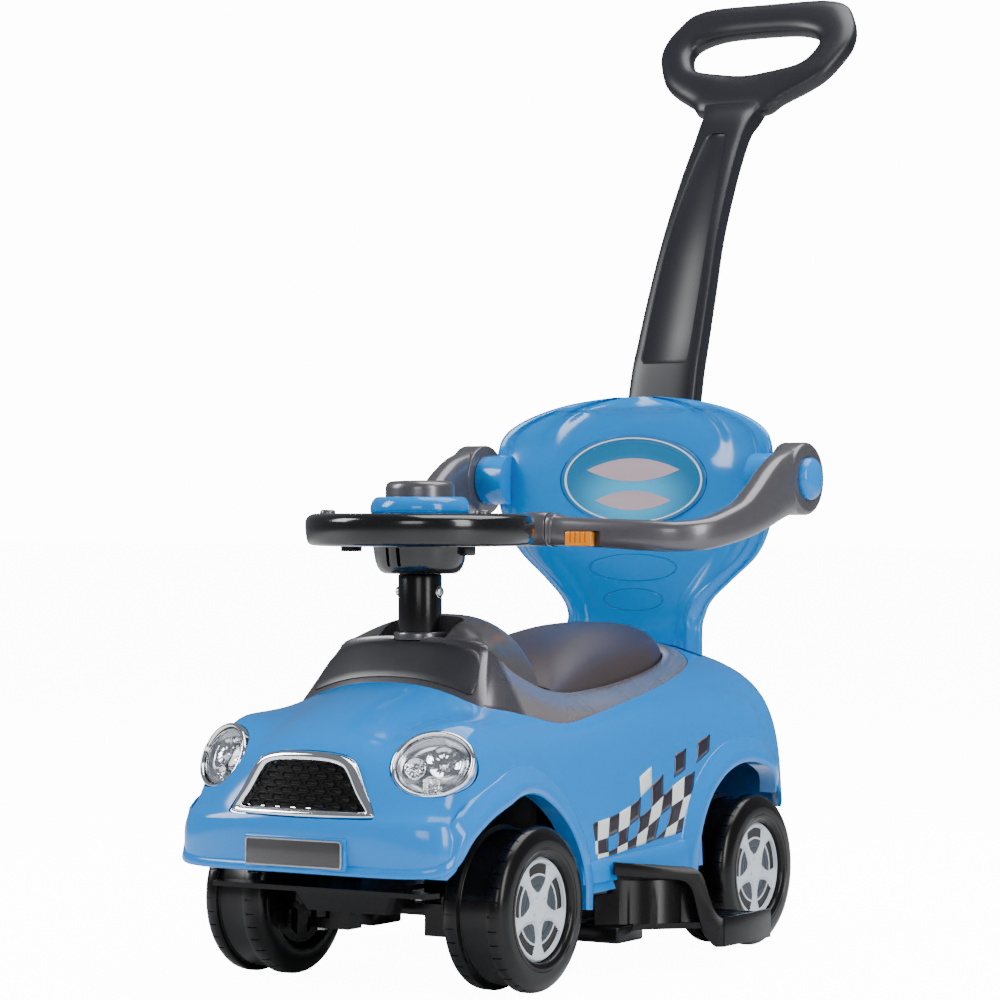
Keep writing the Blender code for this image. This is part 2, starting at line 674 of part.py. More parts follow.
def build_cockpit(parent, tree):
    """Grey surround with the windscreen, the dash hump behind it and the bin under the seat."""
    loop = surround_loop(tree)
    rings = [surround_section(o, i, 1.0 if o.y < -185 else 2.6) for o, i in loop]
    surround = finish_object("cockpit_surround", loft(rings, closed_path=True), "silver_grey", parent)
    boolean(surround, [cylinder((0, COLUMN_Y, 260), (0, COLUMN_Y, 320), COLLAR_R + CLEAR, 24)], "DIFFERENCE")
    smooth_by_angle(surround)
    rings = []
    reach = 2 * SURROUND_STEPS
    for k in range(-reach, reach + 1):
        section = surround_section(*loop[k % len(loop)], 1.0)
        slope = (section[3] - section[0]).normalized()
        across = Vector((-slope.y, slope.x, 0)).normalized()
        outward = slope.cross(across) if slope.cross(across).z > 0 else across.cross(slope)
        tight = 0.10 if abs(k) == reach else 0.0
        low, high = section[0].lerp(section[1], 0.40 + tight), section[2].lerp(section[3], 0.45 - tight)
        line = [low, section[1], section[2], high]
        rings.append([p + outward * 0.4 for p in line] + [p + outward * 1.7 for p in reversed(line)])
    finish_object("windscreen_panel", loft(rings, cap_start=True, cap_end=True), "panel_grey", parent)

    rings = []
    for y, ridge in HUMP_ROWS:
        width, foot = cockpit_edge(y)
        rings.append(hump_ring(y, width - 0.8, foot + 1.0, ridge, 5))
    for y in (-89.5, SEAT_HINGE[0] + 2.8):
        width, _ = cockpit_edge(y)
        rings.append(hump_ring(y, width - 0.8, SHELF_TOP, SHELF_TOP, 5))
    hump = finish_object("dash_hump", loft(rings, cap_start=True, cap_end=True), "gunmetal", parent, 40)
    rings = []
    for y, ridge in HUMP_ROWS[1:-1]:
        width, foot = cockpit_edge(y)
        ring = hump_ring(y, width - 4.0, foot, min(ridge - 3.5, 279.0), 5)
        rings.append([Vector((p.x, p.y, p.z - 10.0)) if p.z == SHELF_BOTTOM else p for p in ring])
    half_w, back, floor = POCKET
    cuts = [loft(rings, cap_start=True, cap_end=True),
            prism(round_rect((-half_w, -190), (half_w, back), 9, 2), floor, 330),
            cylinder((0, COLUMN_Y, 200), (0, COLUMN_Y, 320), COLUMN_R + CLEAR, 20)]
    boolean(hump, cuts, "DIFFERENCE")
    hinge_y, hinge_z = SEAT_HINGE
    knuckles = []
    for sign in (-1, 1):
        low_x, high_x = span(sign, 20, 40)
        knuckles.append(box((low_x, hinge_y - 3.2, SHELF_TOP - 2), (high_x, hinge_y + 2.7, hinge_z)))
        knuckles.append(cylinder((sign * 20, hinge_y, hinge_z), (sign * 40, hinge_y, hinge_z), 3.6, 10))
    boolean(hump, knuckles, "UNION")
    boolean(hump, [cylinder((-60, hinge_y, hinge_z), (60, hinge_y, hinge_z), 1.9, 8)], "DIFFERENCE")
    smooth_by_angle(hump, 40)

    walls = [(0.0, 118.0, 8.0), (0.0, 221.0, 12.0), (6.0, 221.0, 14.0), (6.0, 223.5, 14.0),
             (-2.5, 223.5, 10.0), (-2.5, 120.5, 6.0)]
    rings = []
    for grow, z, radius in walls:
        outline = round_rect((-56 - grow, -44 - grow), (56 + grow, 150 + grow), radius)
        rings.append([Vector((x, y, z)) for x, y in outline])
    finish_object("storage_bin", loft(rings, cap_start=True, cap_end=True), "black", parent)


def hump_ring(y, width, foot, ridge, half_steps):
    """Arch over a flat base: the base lies at the shelf's underside."""
    top = []
    for k in range(-half_steps, half_steps + 1):
        share = math.sin(0.5 * math.pi * k / half_steps)
        fall = (1.0 - abs(share) ** 2.5) ** 0.58
        top.append(Vector((width * share, y, foot + (ridge - foot) * fall)))
    return top + [Vector((width, y, SHELF_BOTTOM)), Vector((-width, y, SHELF_BOTTOM))]


def lid_height(share, edge_z, crown):
    return edge_z + (crown - edge_z) * (1.0 - min(abs(share), 1.0) ** 3) ** 0.6


def lid_ring(y, crown, solid):
    """Closed section of the seat lid at y: padded top, downward lip and hollow underside."""
    edge_x, edge_z = cockpit_edge(y)
    width = edge_x - LID_GAP
    inside = width - LID_WALL
    steps = 5
    shares = [math.sin(0.5 * math.pi * k / steps) for k in range(-steps, steps + 1)]
    top = [Vector((width * s, y, lid_height(s, edge_z, crown))) for s in shares]
    under = []
    for s in reversed(shares):
        x = inside * s
        z = lid_height(x / width, edge_z, crown) - LID_WALL
        under.append(Vector((x, y, edge_z - 8.9 if solid else z)))
    low = edge_z - 9.0
    return top + [Vector((width, y, low)), Vector((inside, y, low))] + under + [Vector((-inside, y, low)),
                                                                             Vector((-width, y, low))]


def build_seat(frame):
    hinge_y, hinge_z = SEAT_HINGE
    parent = make_empty("seat_hinge_axis", (0, hinge_y, hinge_z), frame)
    crown = LID_CROWN
    first, last = crown[0][0], crown[-1][0]
    rows = []
    for y, z in crown:
        rows.append(lid_ring(y, z, y in (first, last)))
        if y == first:
            rows.append(lid_ring(y + 3.0, z + 2.2, True))
            rows.append(lid_ring(y + 3.1, z + 2.3, False))
        if y == crown[-2][0]:
            rows.append(lid_ring(y + 0.1, z, True))
    lid = finish_object("seat_lid", loft(rows, cap_start=True, cap_end=True), "seat_grey", parent, 45)
    knuckles = []
    for sign in (-1, 1):
        knuckles.append(cylinder((sign * 41, hinge_y, hinge_z), (sign * 56, hinge_y, hinge_z), 3.6, 10))
        low_x, high_x = span(sign, 41, 56)
        knuckles.append(box((low_x, hinge_y, hinge_z - 3.2), (high_x, hinge_y + 6, hinge_z + 1)))
    boolean(lid, knuckles, "UNION")
    boolean(lid, [cylinder((-60, hinge_y, hinge_z), (60, hinge_y, hinge_z), 1.9, 8)], "DIFFERENCE")
    smooth_by_angle(lid, 45)
    pin = cylinder((-57, hinge_y, hinge_z), (57, hinge_y, hinge_z), 1.6, 8)
    finish_object("seat_hinge_pin", pin, "steel", frame)


def turned_box(low, high, angle, centre):
    """A box turned about a vertical line through a plan centre."""
    bm = rounded_box(low, high, 3.0)
    turn = Matrix.Translation(Vector(centre)) @ Matrix.Rotation(angle, 4, "Z")
    bmesh.ops.transform(bm, matrix=turn, verts=bm.verts)
    return bm


def build_steering(frame):
    """Rod, sleeve and wheel turn together; the tie plate turns both knuckles the same way."""
    axis = make_empty("steering_axis", (0, COLUMN_Y, 330), frame)
    rod = finish_object("steering_rod", cylinder((0, COLUMN_Y, 60), (0, COLUMN_Y, 334), ROD_R, 12), "steel", axis)
    crank = prism(round_rect((-9, COLUMN_Y - CRANK - 9), (9, COLUMN_Y + 9), 8.9, 2), 72, 78)
    pin = cylinder((0, COLUMN_Y - CRANK, 63), (0, COLUMN_Y - CRANK, 74), 3.0, 10)
    boolean(rod, [crank, pin], "UNION")
    boolean(rod, [cylinder((-10, COLUMN_Y, 324), (10, COLUMN_Y, 324), 2.7, 8)], "DIFFERENCE")
    smooth_by_angle(rod)
    sleeve = solid_revolve([(0, 0), (0, 17.5), (1, COLUMN_R), (76, COLUMN_R), (76.7, 17.8), (76.7, 12), (89.5, 12),
                            (89.5, 0)], (0, COLUMN_Y, 262), (0, 0, 1), 16)
    sleeve = finish_object("column_sleeve", sleeve, "black", axis)
    boolean(sleeve, [cylinder((0, COLUMN_Y, 255), (0, COLUMN_Y, 335), ROD_R + 0.4, 12),
                     cylinder((-30, COLUMN_Y, 324), (30, COLUMN_Y, 324), 2.7, 8)], "DIFFERENCE")
    smooth_by_angle(sleeve)
    bolt = solid_revolve([(-23, 0), (-23, 3.2), (-22.5, 4.2), (-19, 4.2), (-19, 2.4), (19, 2.4), (19, 4.4),
                          (20.8, 4.2), (22.2, 2.6), (22.2, 0)], (0, COLUMN_Y, 324), (1, 0, 0), 8)
    finish_object("column_bolt", bolt, "steel", axis)
    bore = COLUMN_R + CLEAR
    collar = revolve([(0, bore), (0, COLLAR_R), (5.2, COLLAR_R), (6.6, COLLAR_R - 1.1), (6.6, bore)],
                     (0, COLUMN_Y, 283.8), (0, 0, 1), 20)
    finish_object("column_collar", collar, "silver_grey", frame)

    rim_section = [(363, 77), (363, 92), (367.5, 96.5), (383, RIM_R), (388.5, RIM_R - 4), (390, RIM_R - 10),
                   (389.5, 78), (383, 73), (369, 73)]
    wheel = finish_object("steering_wheel", revolve(rim_section, (0, COLUMN_Y, 0), (0, 0, 1), 30), "black", axis)
    hub = solid_revolve([(339.2, 0), (339.2, 30.5), (341.4, 34.4), (350, 38), (363, 39.6), (366, 44), (389.6, 44),
                         (389.6, 0)], (0, COLUMN_Y, 0), (0, 0, 1), 20)
    place = (0, COLUMN_Y, 0)
    arms = [hub]
    for degrees in (-17.7, 197.7, 90):
        arms.append(turned_box((36, -15, 366), (80, 15, 386), math.radians(degrees), place))
    arms.append(cylinder((-70, COLUMN_Y, 357.5), (-70, COLUMN_Y, 368), 9, 12))
    arms.append(rounded_box((37, COLUMN_Y + 4, 354.5), (46, COLUMN_Y + 16, 370), 1.5, 1))
    boolean(wheel, arms, "UNION")
    cuts = [cylinder((0, COLUMN_Y, 330), (0, COLUMN_Y, 352.5), 12.4, 16)]
    for sign in (-1, 1):
        x = sign * 77.6
        cuts.append(cylinder((x, COLUMN_Y - 24.7, 386.0), (x, COLUMN_Y - 24.7, 400), 7.1, 14))
    boolean(wheel, cuts, "DIFFERENCE")
    smooth_by_angle(wheel)
    ring = revolve([(390, 30), (390, 41.6), (394, 42.3), (400, 40.6), (404, 35.5), (404, 30)],
                   (0, COLUMN_Y, 0), (0, 0, 1), 26)
    finish_object("wheel_ring", ring, "blue", axis)
    cap_place = make_empty("horn_cap_axis", (0, COLUMN_Y, 404), axis)
    cap = solid_revolve([(393, 0), (393, 29.3), (413, 29.3), (416.5, 27.6), (418, 23), (418, 0)],
                        (0, COLUMN_Y, 0), (0, 0, 1), 24)
    finish_object("horn_cap", cap, "gunmetal", cap_place)
    for side, sign in (("left", 1), ("right", -1)):
        place = (sign * 77.6, COLUMN_Y - 24.7, 389)
        button_place = make_empty(f"music_button_{side}_axis", place, axis)
        button = solid_revolve([(387.4, 0), (387.4, 6.6), (391.6, 6.6), (392.8, 5.4), (393.2, 3), (393.2, 0)],
                               (place[0], place[1], 0), (0, 0, 1), 14)
        finish_object(f"music_button_{side}", button, "gunmetal", button_place)


def build_knuckles(frame):
    """Kingpins, knuckles with stub axles, and the tie plate between them and the crank."""
    arm_y = -AXLE_Y - CRANK
    for side, sign in (("left", 1), ("right", -1)):
        x = sign * KINGPIN_X
        place = make_empty(f"kingpin_axis_{side}", (x, -AXLE_Y, WHEEL_R), frame)
        pin = solid_revolve([(38.6, 0), (38.6, 5), (40.6, 5.4), (40.6, 3.0), (102.6, 3.0), (102.6, 5.4),
                             (102.6 + KINGPIN_TIP, 4.6), (102.6 + KINGPIN_TIP, 0)],
                            (x, -AXLE_Y, 0), (0, 0, 1), 10)
        finish_object(f"kingpin_{side}", pin, "steel", frame)
        knuckle = finish_object(f"knuckle_{side}", cylinder((x, -AXLE_Y, 50), (x, -AXLE_Y, 92), 9, 14), "black", place)
        stub = cylinder((x, -AXLE_Y, WHEEL_R), (sign * 140.4, -AXLE_Y, WHEEL_R), AXLE_R, 12)
        shoulder = cylinder((x, -AXLE_Y, WHEEL_R), (sign * 90.5, -AXLE_Y, WHEEL_R), 7, 12)
        arm = prism(round_rect((x - 7, arm_y - 7), (x + 7, -AXLE_Y + 7), 6.9, 2), 72, 78)
        drop = cylinder((x, arm_y, 63), (x, arm_y, 74), 3.0, 10)
        boolean(knuckle, [stub, shoulder, arm, drop], "UNION")
        boolean(knuckle, [cylinder((x, -AXLE_Y, 40), (x, -AXLE_Y, 100), 3.4, 10)], "DIFFERENCE")
        smooth_by_angle(knuckle)
    place = make_empty("tie_plate_axis", (0, COLUMN_Y - CRANK, 69), frame)
    plate = finish_object("tie_plate", prism(round_rect((-80, arm_y - 8), (80, arm_y + 8), 7.9, 2), 66, 71.6),
                          "black", place)
    tab = prism(round_rect((-10, arm_y), (10, COLUMN_Y - CRANK + 8), 7.0, 2), 66, 71.6)
    boolean(plate, [tab], "UNION")
    holes = [cylinder((x, y, 60), (x, y, 80), 3.4, 10) for x, y in ((-KINGPIN_X, arm_y), (KINGPIN_X, arm_y),
                                                                   (0, COLUMN_Y - CRANK))]
    boolean(plate, holes, "DIFFERENCE")


def wheel_profile():
    """Closed section of a wheel as (along the axle from its inner face, radius)."""
    tread = WHEEL_R / math.cos(math.pi / WHEEL_SIDES)
    return [(8, 5), (53, 5), (53, 43.2), (59, 43.2), (61, 46.5), (61, 57), (55, tread), (46, tread), (45, 63.5),
            (19, 63.5), (18, tread), (6, tread), (0, 57), (0, 46.5), (2, 43.2), (8, 43.2)]


# Hubcaps: thickness, windows between the spokes as (radius, half angle), and the middle boss
CAP_DEPTH = 3.0
CAP_WINDOWS = 5
CAP_WINDOW = [(15.5, 0.22), (35.2, 0.41)]
CAP_BOSS_R = 9.0
CAP_BOSS_DEPTH = 3.8


def hubcap_mesh(outward, bore):
    """A five-spoke cap on the x axis: face towards outward, and the cutters for its windows and bore."""
    rings = []
    for along, radius in ((0, HUBCAP_R), (CAP_DEPTH, HUBCAP_R - 0.8)):
        angles = [2 * math.pi * (i + 0.5) / 20 for i in range(20)]
        rings.append([Vector((outward * along, radius * math.cos(a), radius * math.sin(a))) for a in angles])
    cap = loft(rings, cap_start=True, cap_end=True)
    tools = []
    for n in range(CAP_WINDOWS):
        middle = 0.5 * math.pi + n * 2 * math.pi / CAP_WINDOWS
        outline = [(r, middle - a) for r, a in CAP_WINDOW] + [(r, middle + a) for r, a in reversed(CAP_WINDOW)]
        rings = [[Vector((x, r * math.cos(a), r * math.sin(a))) for r, a in outline] for x in (-9, 9)]
        tools.append(loft(rings, cap_start=True, cap_end=True))
    if bore:
        tools.append(cylinder((-9, 0, 0), (9, 0, 0), bore, 12))
    return cap, tools


def build_wheels(frame):
    for end, y in (("front", -AXLE_Y), ("rear", AXLE_Y)):
        for side, sign in (("left", 1), ("right", -1)):
            inner_x = sign * (WHEEL_OUTER_X - WHEEL_W)
            place = make_empty(f"wheel_axis_{end}_{side}", (sign * 118, y, WHEEL_R), frame)
            profile = [(sign * a, r) for a, r in wheel_profile()]
            body = revolve(profile, (inner_x, y, WHEEL_R), (1, 0, 0), WHEEL_SIDES)
            finish_object(f"wheel_{end}_{side}", body, "tyre", place, 30)
            for where, along, facing, bore in (("outer", 53.4, 1, 0), ("inner", 7.6, -1, 6.0)):
                cap, tools = hubcap_mesh(sign * facing, bore)
                shift = Vector((inner_x + sign * along, y, WHEEL_R))
                for bm in [cap] + tools:
                    bmesh.ops.translate(bm, verts=bm.verts, vec=shift)
                name = f"hubcap_{end}_{side}" if where == "outer" else f"hubcap_{end}_{side}_inner"
                obj = finish_object(name, cap, "wheel_silver", place)
                if where == "outer":
                    x = inner_x + sign * (along + 1)
                    boss = cylinder((x, y, WHEEL_R), (x + sign * CAP_BOSS_DEPTH, y, WHEEL_R), CAP_BOSS_R, 10)
                    boolean(obj, [boss], "UNION")
                boolean(obj, tools, "DIFFERENCE")
                smooth_by_angle(obj)


def build_chassis(parent):
    """Black underside: floor, tray, front block, kingpin brackets and rear axle brackets."""
    half = [(0, -300), (104, -300), (108, -284), (56, -274), (56, -104), (100, -96), (112, -60), (114, 60), (108, 96),
            (74, 110), (74, 266), (0, 276)]
    chassis = finish_object("chassis", prism(mirror_half(half), 84, 88), "black", parent)
    adds = [rounded_box((-100, -60, 38), (100, 104, 94), 6),
            loft([[Vector((x, y, 64)) for x, y in round_rect((-42, -258), (42, -238), 4, 1)],
                  [Vector((x, y, 86)) for x, y in round_rect((-54, -266), (54, -236), 4, 1)]],
                 cap_start=True, cap_end=True)]
    for sign in (-1, 1):
        web, lower, upper = span(sign, 38, 57), span(sign, 40, 80), span(sign, 40, 80)
        adds.append(box((web[0], -AXLE_Y - 10, 41), (web[1], -AXLE_Y + 10, 102)))
        adds.append(box((lower[0], -AXLE_Y - 9, 41), (lower[1], -AXLE_Y + 9, 49.6)))
        adds.append(box((upper[0], -AXLE_Y - 9, 92.4), (upper[1], -AXLE_Y + 9, 102)))
        axle = span(sign, 70, 82)
        adds.append(prism([(axle[0], AXLE_Y - 14), (axle[1], AXLE_Y - 14), (axle[1], AXLE_Y + 14),
                           (axle[0], AXLE_Y + 14)], 57, 86))
    boolean(chassis, adds, "UNION")
    cuts = [rounded_box((-96, -56, 42), (96, 100, 120), 4, 1),
            cylinder((0, COLUMN_Y, 70), (0, COLUMN_Y, 100), ROD_R + 0.4, 12),
            cylinder((-100, AXLE_Y, WHEEL_R), (100, AXLE_Y, WHEEL_R), AXLE_R + 0.4, 12)]
    for sign in (-1, 1):
        x = sign * KINGPIN_X
        cuts.append(cylinder((x, -AXLE_Y, 35), (x, -AXLE_Y, 110), 3.4, 10))
    boolean(chassis, cuts, "DIFFERENCE")
    smooth_by_angle(chassis)
    axle = cylinder((-140.4, AXLE_Y, WHEEL_R), (140.4, AXLE_Y, WHEEL_R), AXLE_R, 12)
    finish_object("rear_axle", axle, "steel", parent)


# Footrest: its front wall runs in plan from next to the body outwards and back
STEP_START = Vector((122, -70, 0))
STEP_END = Vector((205, 12, 0))
STEP_TOP = [(21, 94.7), (40, 93), (70, 90.5), (86, 89), (93, 87), (98, 82), (101.5, 73), (105, 61), (109, 51.5),
            (113, 46.5), (116.7, 44.5)]
STEP_INNER = [(21, 83.7), (40, 82), (70, 79.5), (80, 78), (86, 74.5), (90, 67), (93, 55), (96, 43), (100, 33),
              (105, 26), (110, 20.5)]


def step_point(along, depth, z, sign):
    """A point on the footrest's front wall: distance along it, depth behind its face, height."""
    run = (STEP_END - STEP_START).normalized()
    back = Vector((-run.y, run.x, 0))
    point = STEP_START + run * along + back * depth
    return Vector((point.x * sign, point.y, z))


def step_plate(outline, front, back, sign):
    rings = [[step_point(s, depth, z, sign) for s, z in outline] for depth in (front, back)]
    return loft(rings, cap_start=True, cap_end=True)


def build_footrests(parent):
    for side, sign in (("left", 1), ("right", -1)):
        strip = STEP_TOP + [(116.7, 20.5)] + STEP_INNER[::-1]
        rest = finish_object(f"footrest_{side}", step_plate(strip, 0, 7, sign), "black", parent)
        panel = [(22, 89), (78, 84), (90, 76), (96, 60), (104, 44), (112, 36.5), (6, 36.5), (6, 66), (22, 68)]
        outer = span(sign, 201.4, 205.4)
        wall = prism([(outer[0], 13), (outer[1], 13), (outer[1], 98), (outer[0], 98)], 20.5, 45)
        tread = prism([(sign * x, y) for x, y in ((100.4, -40), (146, -40), (203, 17), (203, 98), (100.4, 98))],
                      36.5, 41.5)
        block_x = span(sign, 100.4, 146)
        block = rounded_box((block_x[0], -66, 27), (block_x[1], -22, 41), 2.5, 1)
        ribs = []
        for n in range(5):
            y = 30 + 14 * n
            rib_x = span(sign, 140, 196)
            ribs.append(box((rib_x[0], y, 40), (rib_x[1], y + 5, 43)))
        boolean(rest, [step_plate(panel, 3, 6.4, sign), tread, wall, block] + ribs, "UNION")
        smooth_by_angle(rest)


# Backrest: height, half width, then y of the front's middle, the front's bolsters and edge, and the back
BACKREST = [
    (281, 72.2, 214, 209, 213, 238), (295, 73, 215, 210, 217, 238), (310, 80.5, 215, 210, 218, 238),
    (330, 102, 215, 210, 220, 238), (350, 125, 215, 209, 219.5, 238), (372, 139.5, 215, 207, 215.5, 238),
    (400, 147, 215, 206, 212, 238), (430, 148.3, 215, 206, 210, 238), (452, 146, 215, 206.5, 209, 236),
    (465, 139.5, 216, 208, 210.5, 235), (475, 125.5, 217, 210.5, 213, 233.5), (483, 107, 218.5, 213.5, 216, 232),
    (489.5, 85, 220, 216.5, 218, 231), (494.5, 59, 222, 219, 220, 230), (498.2, 24, 224, 222, 222, 229),
]
BADGE_HALF = (78.0, 42.0)
BADGE_Z = 420.6


def block_under_body(tree, low, high, rise):
    """A block whose top follows the body's skin, raised by a gap; it trims what stands on the body."""
    rings = []
    for j in range(6):
        y = low[1] + (high[1] - low[1]) * j / 5
        xs = [low[0] + (high[0] - low[0]) * i / 16 for i in range(17)]
        top = [Vector((x, y, height_on_body(tree, x, y) + rise)) for x in xs]
        rings.append(top + [Vector((high[0], y, 150)), Vector((low[0], y, 150))])
    return loft(rings, cap_start=True, cap_end=True)


def backrest_ring(row):
    """Front and back of the backrest at one height."""
    z, width, middle, bolster, edge, back = row
    front = [(1.0, edge + 5), (0.98, edge + 1), (0.94, edge), (0.84, bolster), (0.72, bolster + 0.5),
             (0.62, bolster + 3.5), (0.45, middle - 1.5), (0.0, middle)]
    rear = [(0.97, min(edge + 9, back - 1)), (0.82, back - 2), (0.4, back), (0.0, back)]
    across = [(-s, y) for s, y in front[:-1]] + front[::-1] + rear + [(-s, y) for s, y in rear[-2::-1]]
    loop = [(s * width, y) for s, y in across]
    return [Vector((x, y, z)) for x, y in loop]


def build_backrest(parent, tree):
    rings = [backrest_ring((238,) + BACKREST[0][1:])]
    rings += [backrest_ring(row) for row in BACKREST]
    rest = finish_object("backrest", loft(rings, cap_start=True, cap_end=True), "blue", parent, 32)
    boolean(rest, [block_under_body(tree, (-84, 200), (84, 246), 1.1)], "DIFFERENCE")
    adds = [box((-40, 217, 244), (40, 231.5, 292))]
    for sign in (-1, 1):
        adds.append(cylinder((sign * 132, HUB_Y, HUB_Z), (sign * 158.6, HUB_Y, HUB_Z), 23.6, 24))
    boolean(rest, adds, "UNION")
    pocket = []
    for grow, y in ((6.0, 206), (0.4, 217.5)):
        ring = []
        for i in range(26):
            angle = 2 * math.pi * i / 26
            ring.append(Vector(((BADGE_HALF[0] + grow) * math.cos(angle), y,
                                BADGE_Z + (BADGE_HALF[1] + grow) * math.sin(angle))))
        pocket.append(ring)
    pocket.insert(0, [Vector((p.x, 190, p.z)) for p in pocket[0]])
    cuts = [loft(pocket, cap_start=True, cap_end=True)]
    for sign in (-1, 1):
        cuts.append(cylinder((sign * 147, HUB_Y, HUB_Z), (sign * 162, HUB_Y, HUB_Z), 6.4, 12))
    boolean(rest, cuts, "DIFFERENCE")
    smooth_by_angle(rest, 32)
    rings = []
    for grow, y in ((-0.2, 217.1), (-0.2, 215.2)):
        ring = []
        for i in range(26):
            angle = 2 * math.pi * i / 26
            ring.append(Vector(((BADGE_HALF[0] + grow) * math.cos(angle), y,
                                BADGE_Z + (BADGE_HALF[1] + grow) * math.sin(angle))))
        rings.append(ring)
    finish_object("badge", loft(rings, cap_start=True, cap_end=True), "badge", parent)


# Guard arm: centre line and half depth and half height of its section, from the split to the hub
GUARD_PATH = [
    (20, 35, 375.5, 11.0, 13.8), (40, 34.5, 374, 11.0, 12.8), (66, 34.5, 373, 11.0, 12.8),
    (92, 36, 371.8, 11.0, 13.2), (118, 39.5, 370.6, 11.2, 13.4), (140, 48, 370, 11.4, 13.4),
    (157, 66, 372.2, 11.6, 14.0), (166, 92, 379, 11.8, 15.6), (170, 115, 386, 12.0, 17.6),
    (171.3, 130, 392.5, 12.2, 20.4), (171.6, 147, 400.3, 12.2, 23.6), (171.7, 163, 408, 12.2, 26.4),
    (171.7, 181, 415, 12.2, 28.8), (171.7, 204, 420, 12.2, 30.0),
]
SOCKET_PATH = [(-20, 34.8, 374, 11.0, 12.8), (-14, 35, 375, 12.0, 14.6), (4, 35, 376, 12.4, 15.2)]
LATCH = (41.0, 68.0, 361.0, 374.0)   # x and z range of the thumb slide


def build_guard(frame):
    """Two arms that meet in front of the child and swing up on hubs beside the backrest."""
    for side, sign in (("left", 1), ("right", -1)):
        place = make_empty(f"guard_axis_{side}", (sign * HUB_X, HUB_Y, HUB_Z), frame)
        path = GUARD_PATH
        bead = [(RAIL_SPLIT_X + 0.3, 35, 375.3, 12.0, 14.8), (RAIL_SPLIT_X + 5.5, 35, 375.3, 12.0, 14.7),
                (RAIL_SPLIT_X + 7.5, 35, 375.0, 11.0, 13.7)]
        if sign > 0:
            stations = bead + [s for s in path if s[0] > RAIL_SPLIT_X + 9]
        else:
            start = [(-(RAIL_SPLIT_X - 0.3), 35, 376, 12.2, 15.0)]
            start += [(-s[0], *s[1:]) for s in reversed(SOCKET_PATH)]
            stations = start + [s for s in path if s[0] > 26]
        stations = [(s[0] * sign, *s[1:]) for s in stations]
        arm = finish_object(f"guard_arm_{side}", sweep(stations, (0, 0, 1), 3.2, 12), "gunmetal", place, 40)
        hub = solid_revolve([(159.2, 0), (159.2, 32), (160.2, 33), (181, 33), (184, 30), (184, 0)],
                            (0, HUB_Y, HUB_Z), (sign, 0, 0), 24)
        boolean(arm, [hub], "UNION")
        start = Vector((sign * 150, HUB_Y, HUB_Z))
        cuts = [cylinder(start, (sign * 190, HUB_Y, HUB_Z), 6.5, 12),
                cylinder((sign * 178.4, HUB_Y, HUB_Z), (sign * 190, HUB_Y, HUB_Z), 19.8, 24)]
        if sign > 0:
            cuts.append(box((LATCH[0] - 1, 15, LATCH[2] - 0.5), (LATCH[1] + 8, 30, LATCH[3] + 0.5)))
        else:
            cuts.append(box((-5, 15, LATCH[2] + 4), (5.5, 30, LATCH[3] - 1)))
        boolean(arm, cuts, "DIFFERENCE")
        smooth_by_angle(arm, 40)
        pin = cylinder((sign * 147.5, HUB_Y, HUB_Z), (sign * 177, HUB_Y, HUB_Z), 6.0, 12)
        finish_object(f"guard_pin_{side}", pin, "steel", frame)
        cap_place = make_empty(f"guard_cap_axis_{side}", (sign * 184, HUB_Y, HUB_Z), place)
        cap = solid_revolve([(181.5, 0), (181.5, 19.4), (186.8, 19.2), (190.8, 16.2), (193.2, 9.5), (193.8, 0)],
                            (0, HUB_Y, HUB_Z), (sign, 0, 0), 24)
        finish_object(f"guard_cap_{side}", cap, "blue", cap_place)
        if sign > 0:
            latch_place = make_empty("guard_latch_axis", ((LATCH[0] + LATCH[1]) / 2, 24, 367), place)
            latch = rounded_box((LATCH[0], 22.2, LATCH[2]), (LATCH[1], 29.6, LATCH[3]), 1.2, 1)
            latch = finish_object("guard_latch", latch, "amber", latch_place)
            grooves = []
            for n in range(3):
                x = LATCH[0] + 6 + n * 7
                grooves.append(box((x, 20, LATCH[2] + 3), (x + 2, 23.2, LATCH[3] + 2)))
            boolean(latch, grooves, "DIFFERENCE")
        else:
            catch = rounded_box((-4.6, 22.8, LATCH[2] + 4.4), (5.1, 29.6, LATCH[3] - 1.4), 0.8, 1)
            finish_object("guard_catch", catch, "amber", place)


# Push handle: y, z, full width and half thickness of the shaft from inside the body to the grip
SHAFT = [
    (251, 205, 74, 12.0), (251, 262, 74, 12.0), (254, 340, 74, 12.0), (263, 430, 74, 12.0), (281, 514, 72.3, 12.2),
    (292.9, 548.4, 70.4, 12.2), (312.6, 600.7, 66.3, 12.2), (334.4, 653.7, 60.0, 12.0), (363.5, 707.8, 54.8, 12.0),
    (387, 744.6, 51.8, 12.0), (400.4, 763.4, 53.2, 12.0), (413, 775.3, 58.0, 12.0), (420, 785, 66, 11.0),
]
GRIP_ORIGIN = Vector((0, 413, 775))
GRIP_UP = Vector((0, 0.576, 0.818))
GRIP_NORMAL = Vector((0, -0.818, 0.576))
GRIP_CENTRE = 80.0
GRIP_OUTER = [(0, 147), (45, 147), (70, 145), (88, 138), (98, 123), (105, 107), (107, 90), (103, 74), (90, 48),
              (74, 33), (62, 25), (49, 16), (36, 4), (0, 3)]
GRIP_HOLE = [(0, 108), (36, 107), (58, 102), (68, 93), (68, 80), (56, 63), (30, 57), (0, 54)]
# Sunk panel on the shaft's front: height and width
PANEL = [(527.5, 43), (531.5, 50), (548.4, 50.5), (586, 49), (644, 44), (694, 35.5), (734, 27), (748, 21), (752, 14)]
PANEL_DEPTH = 1.8


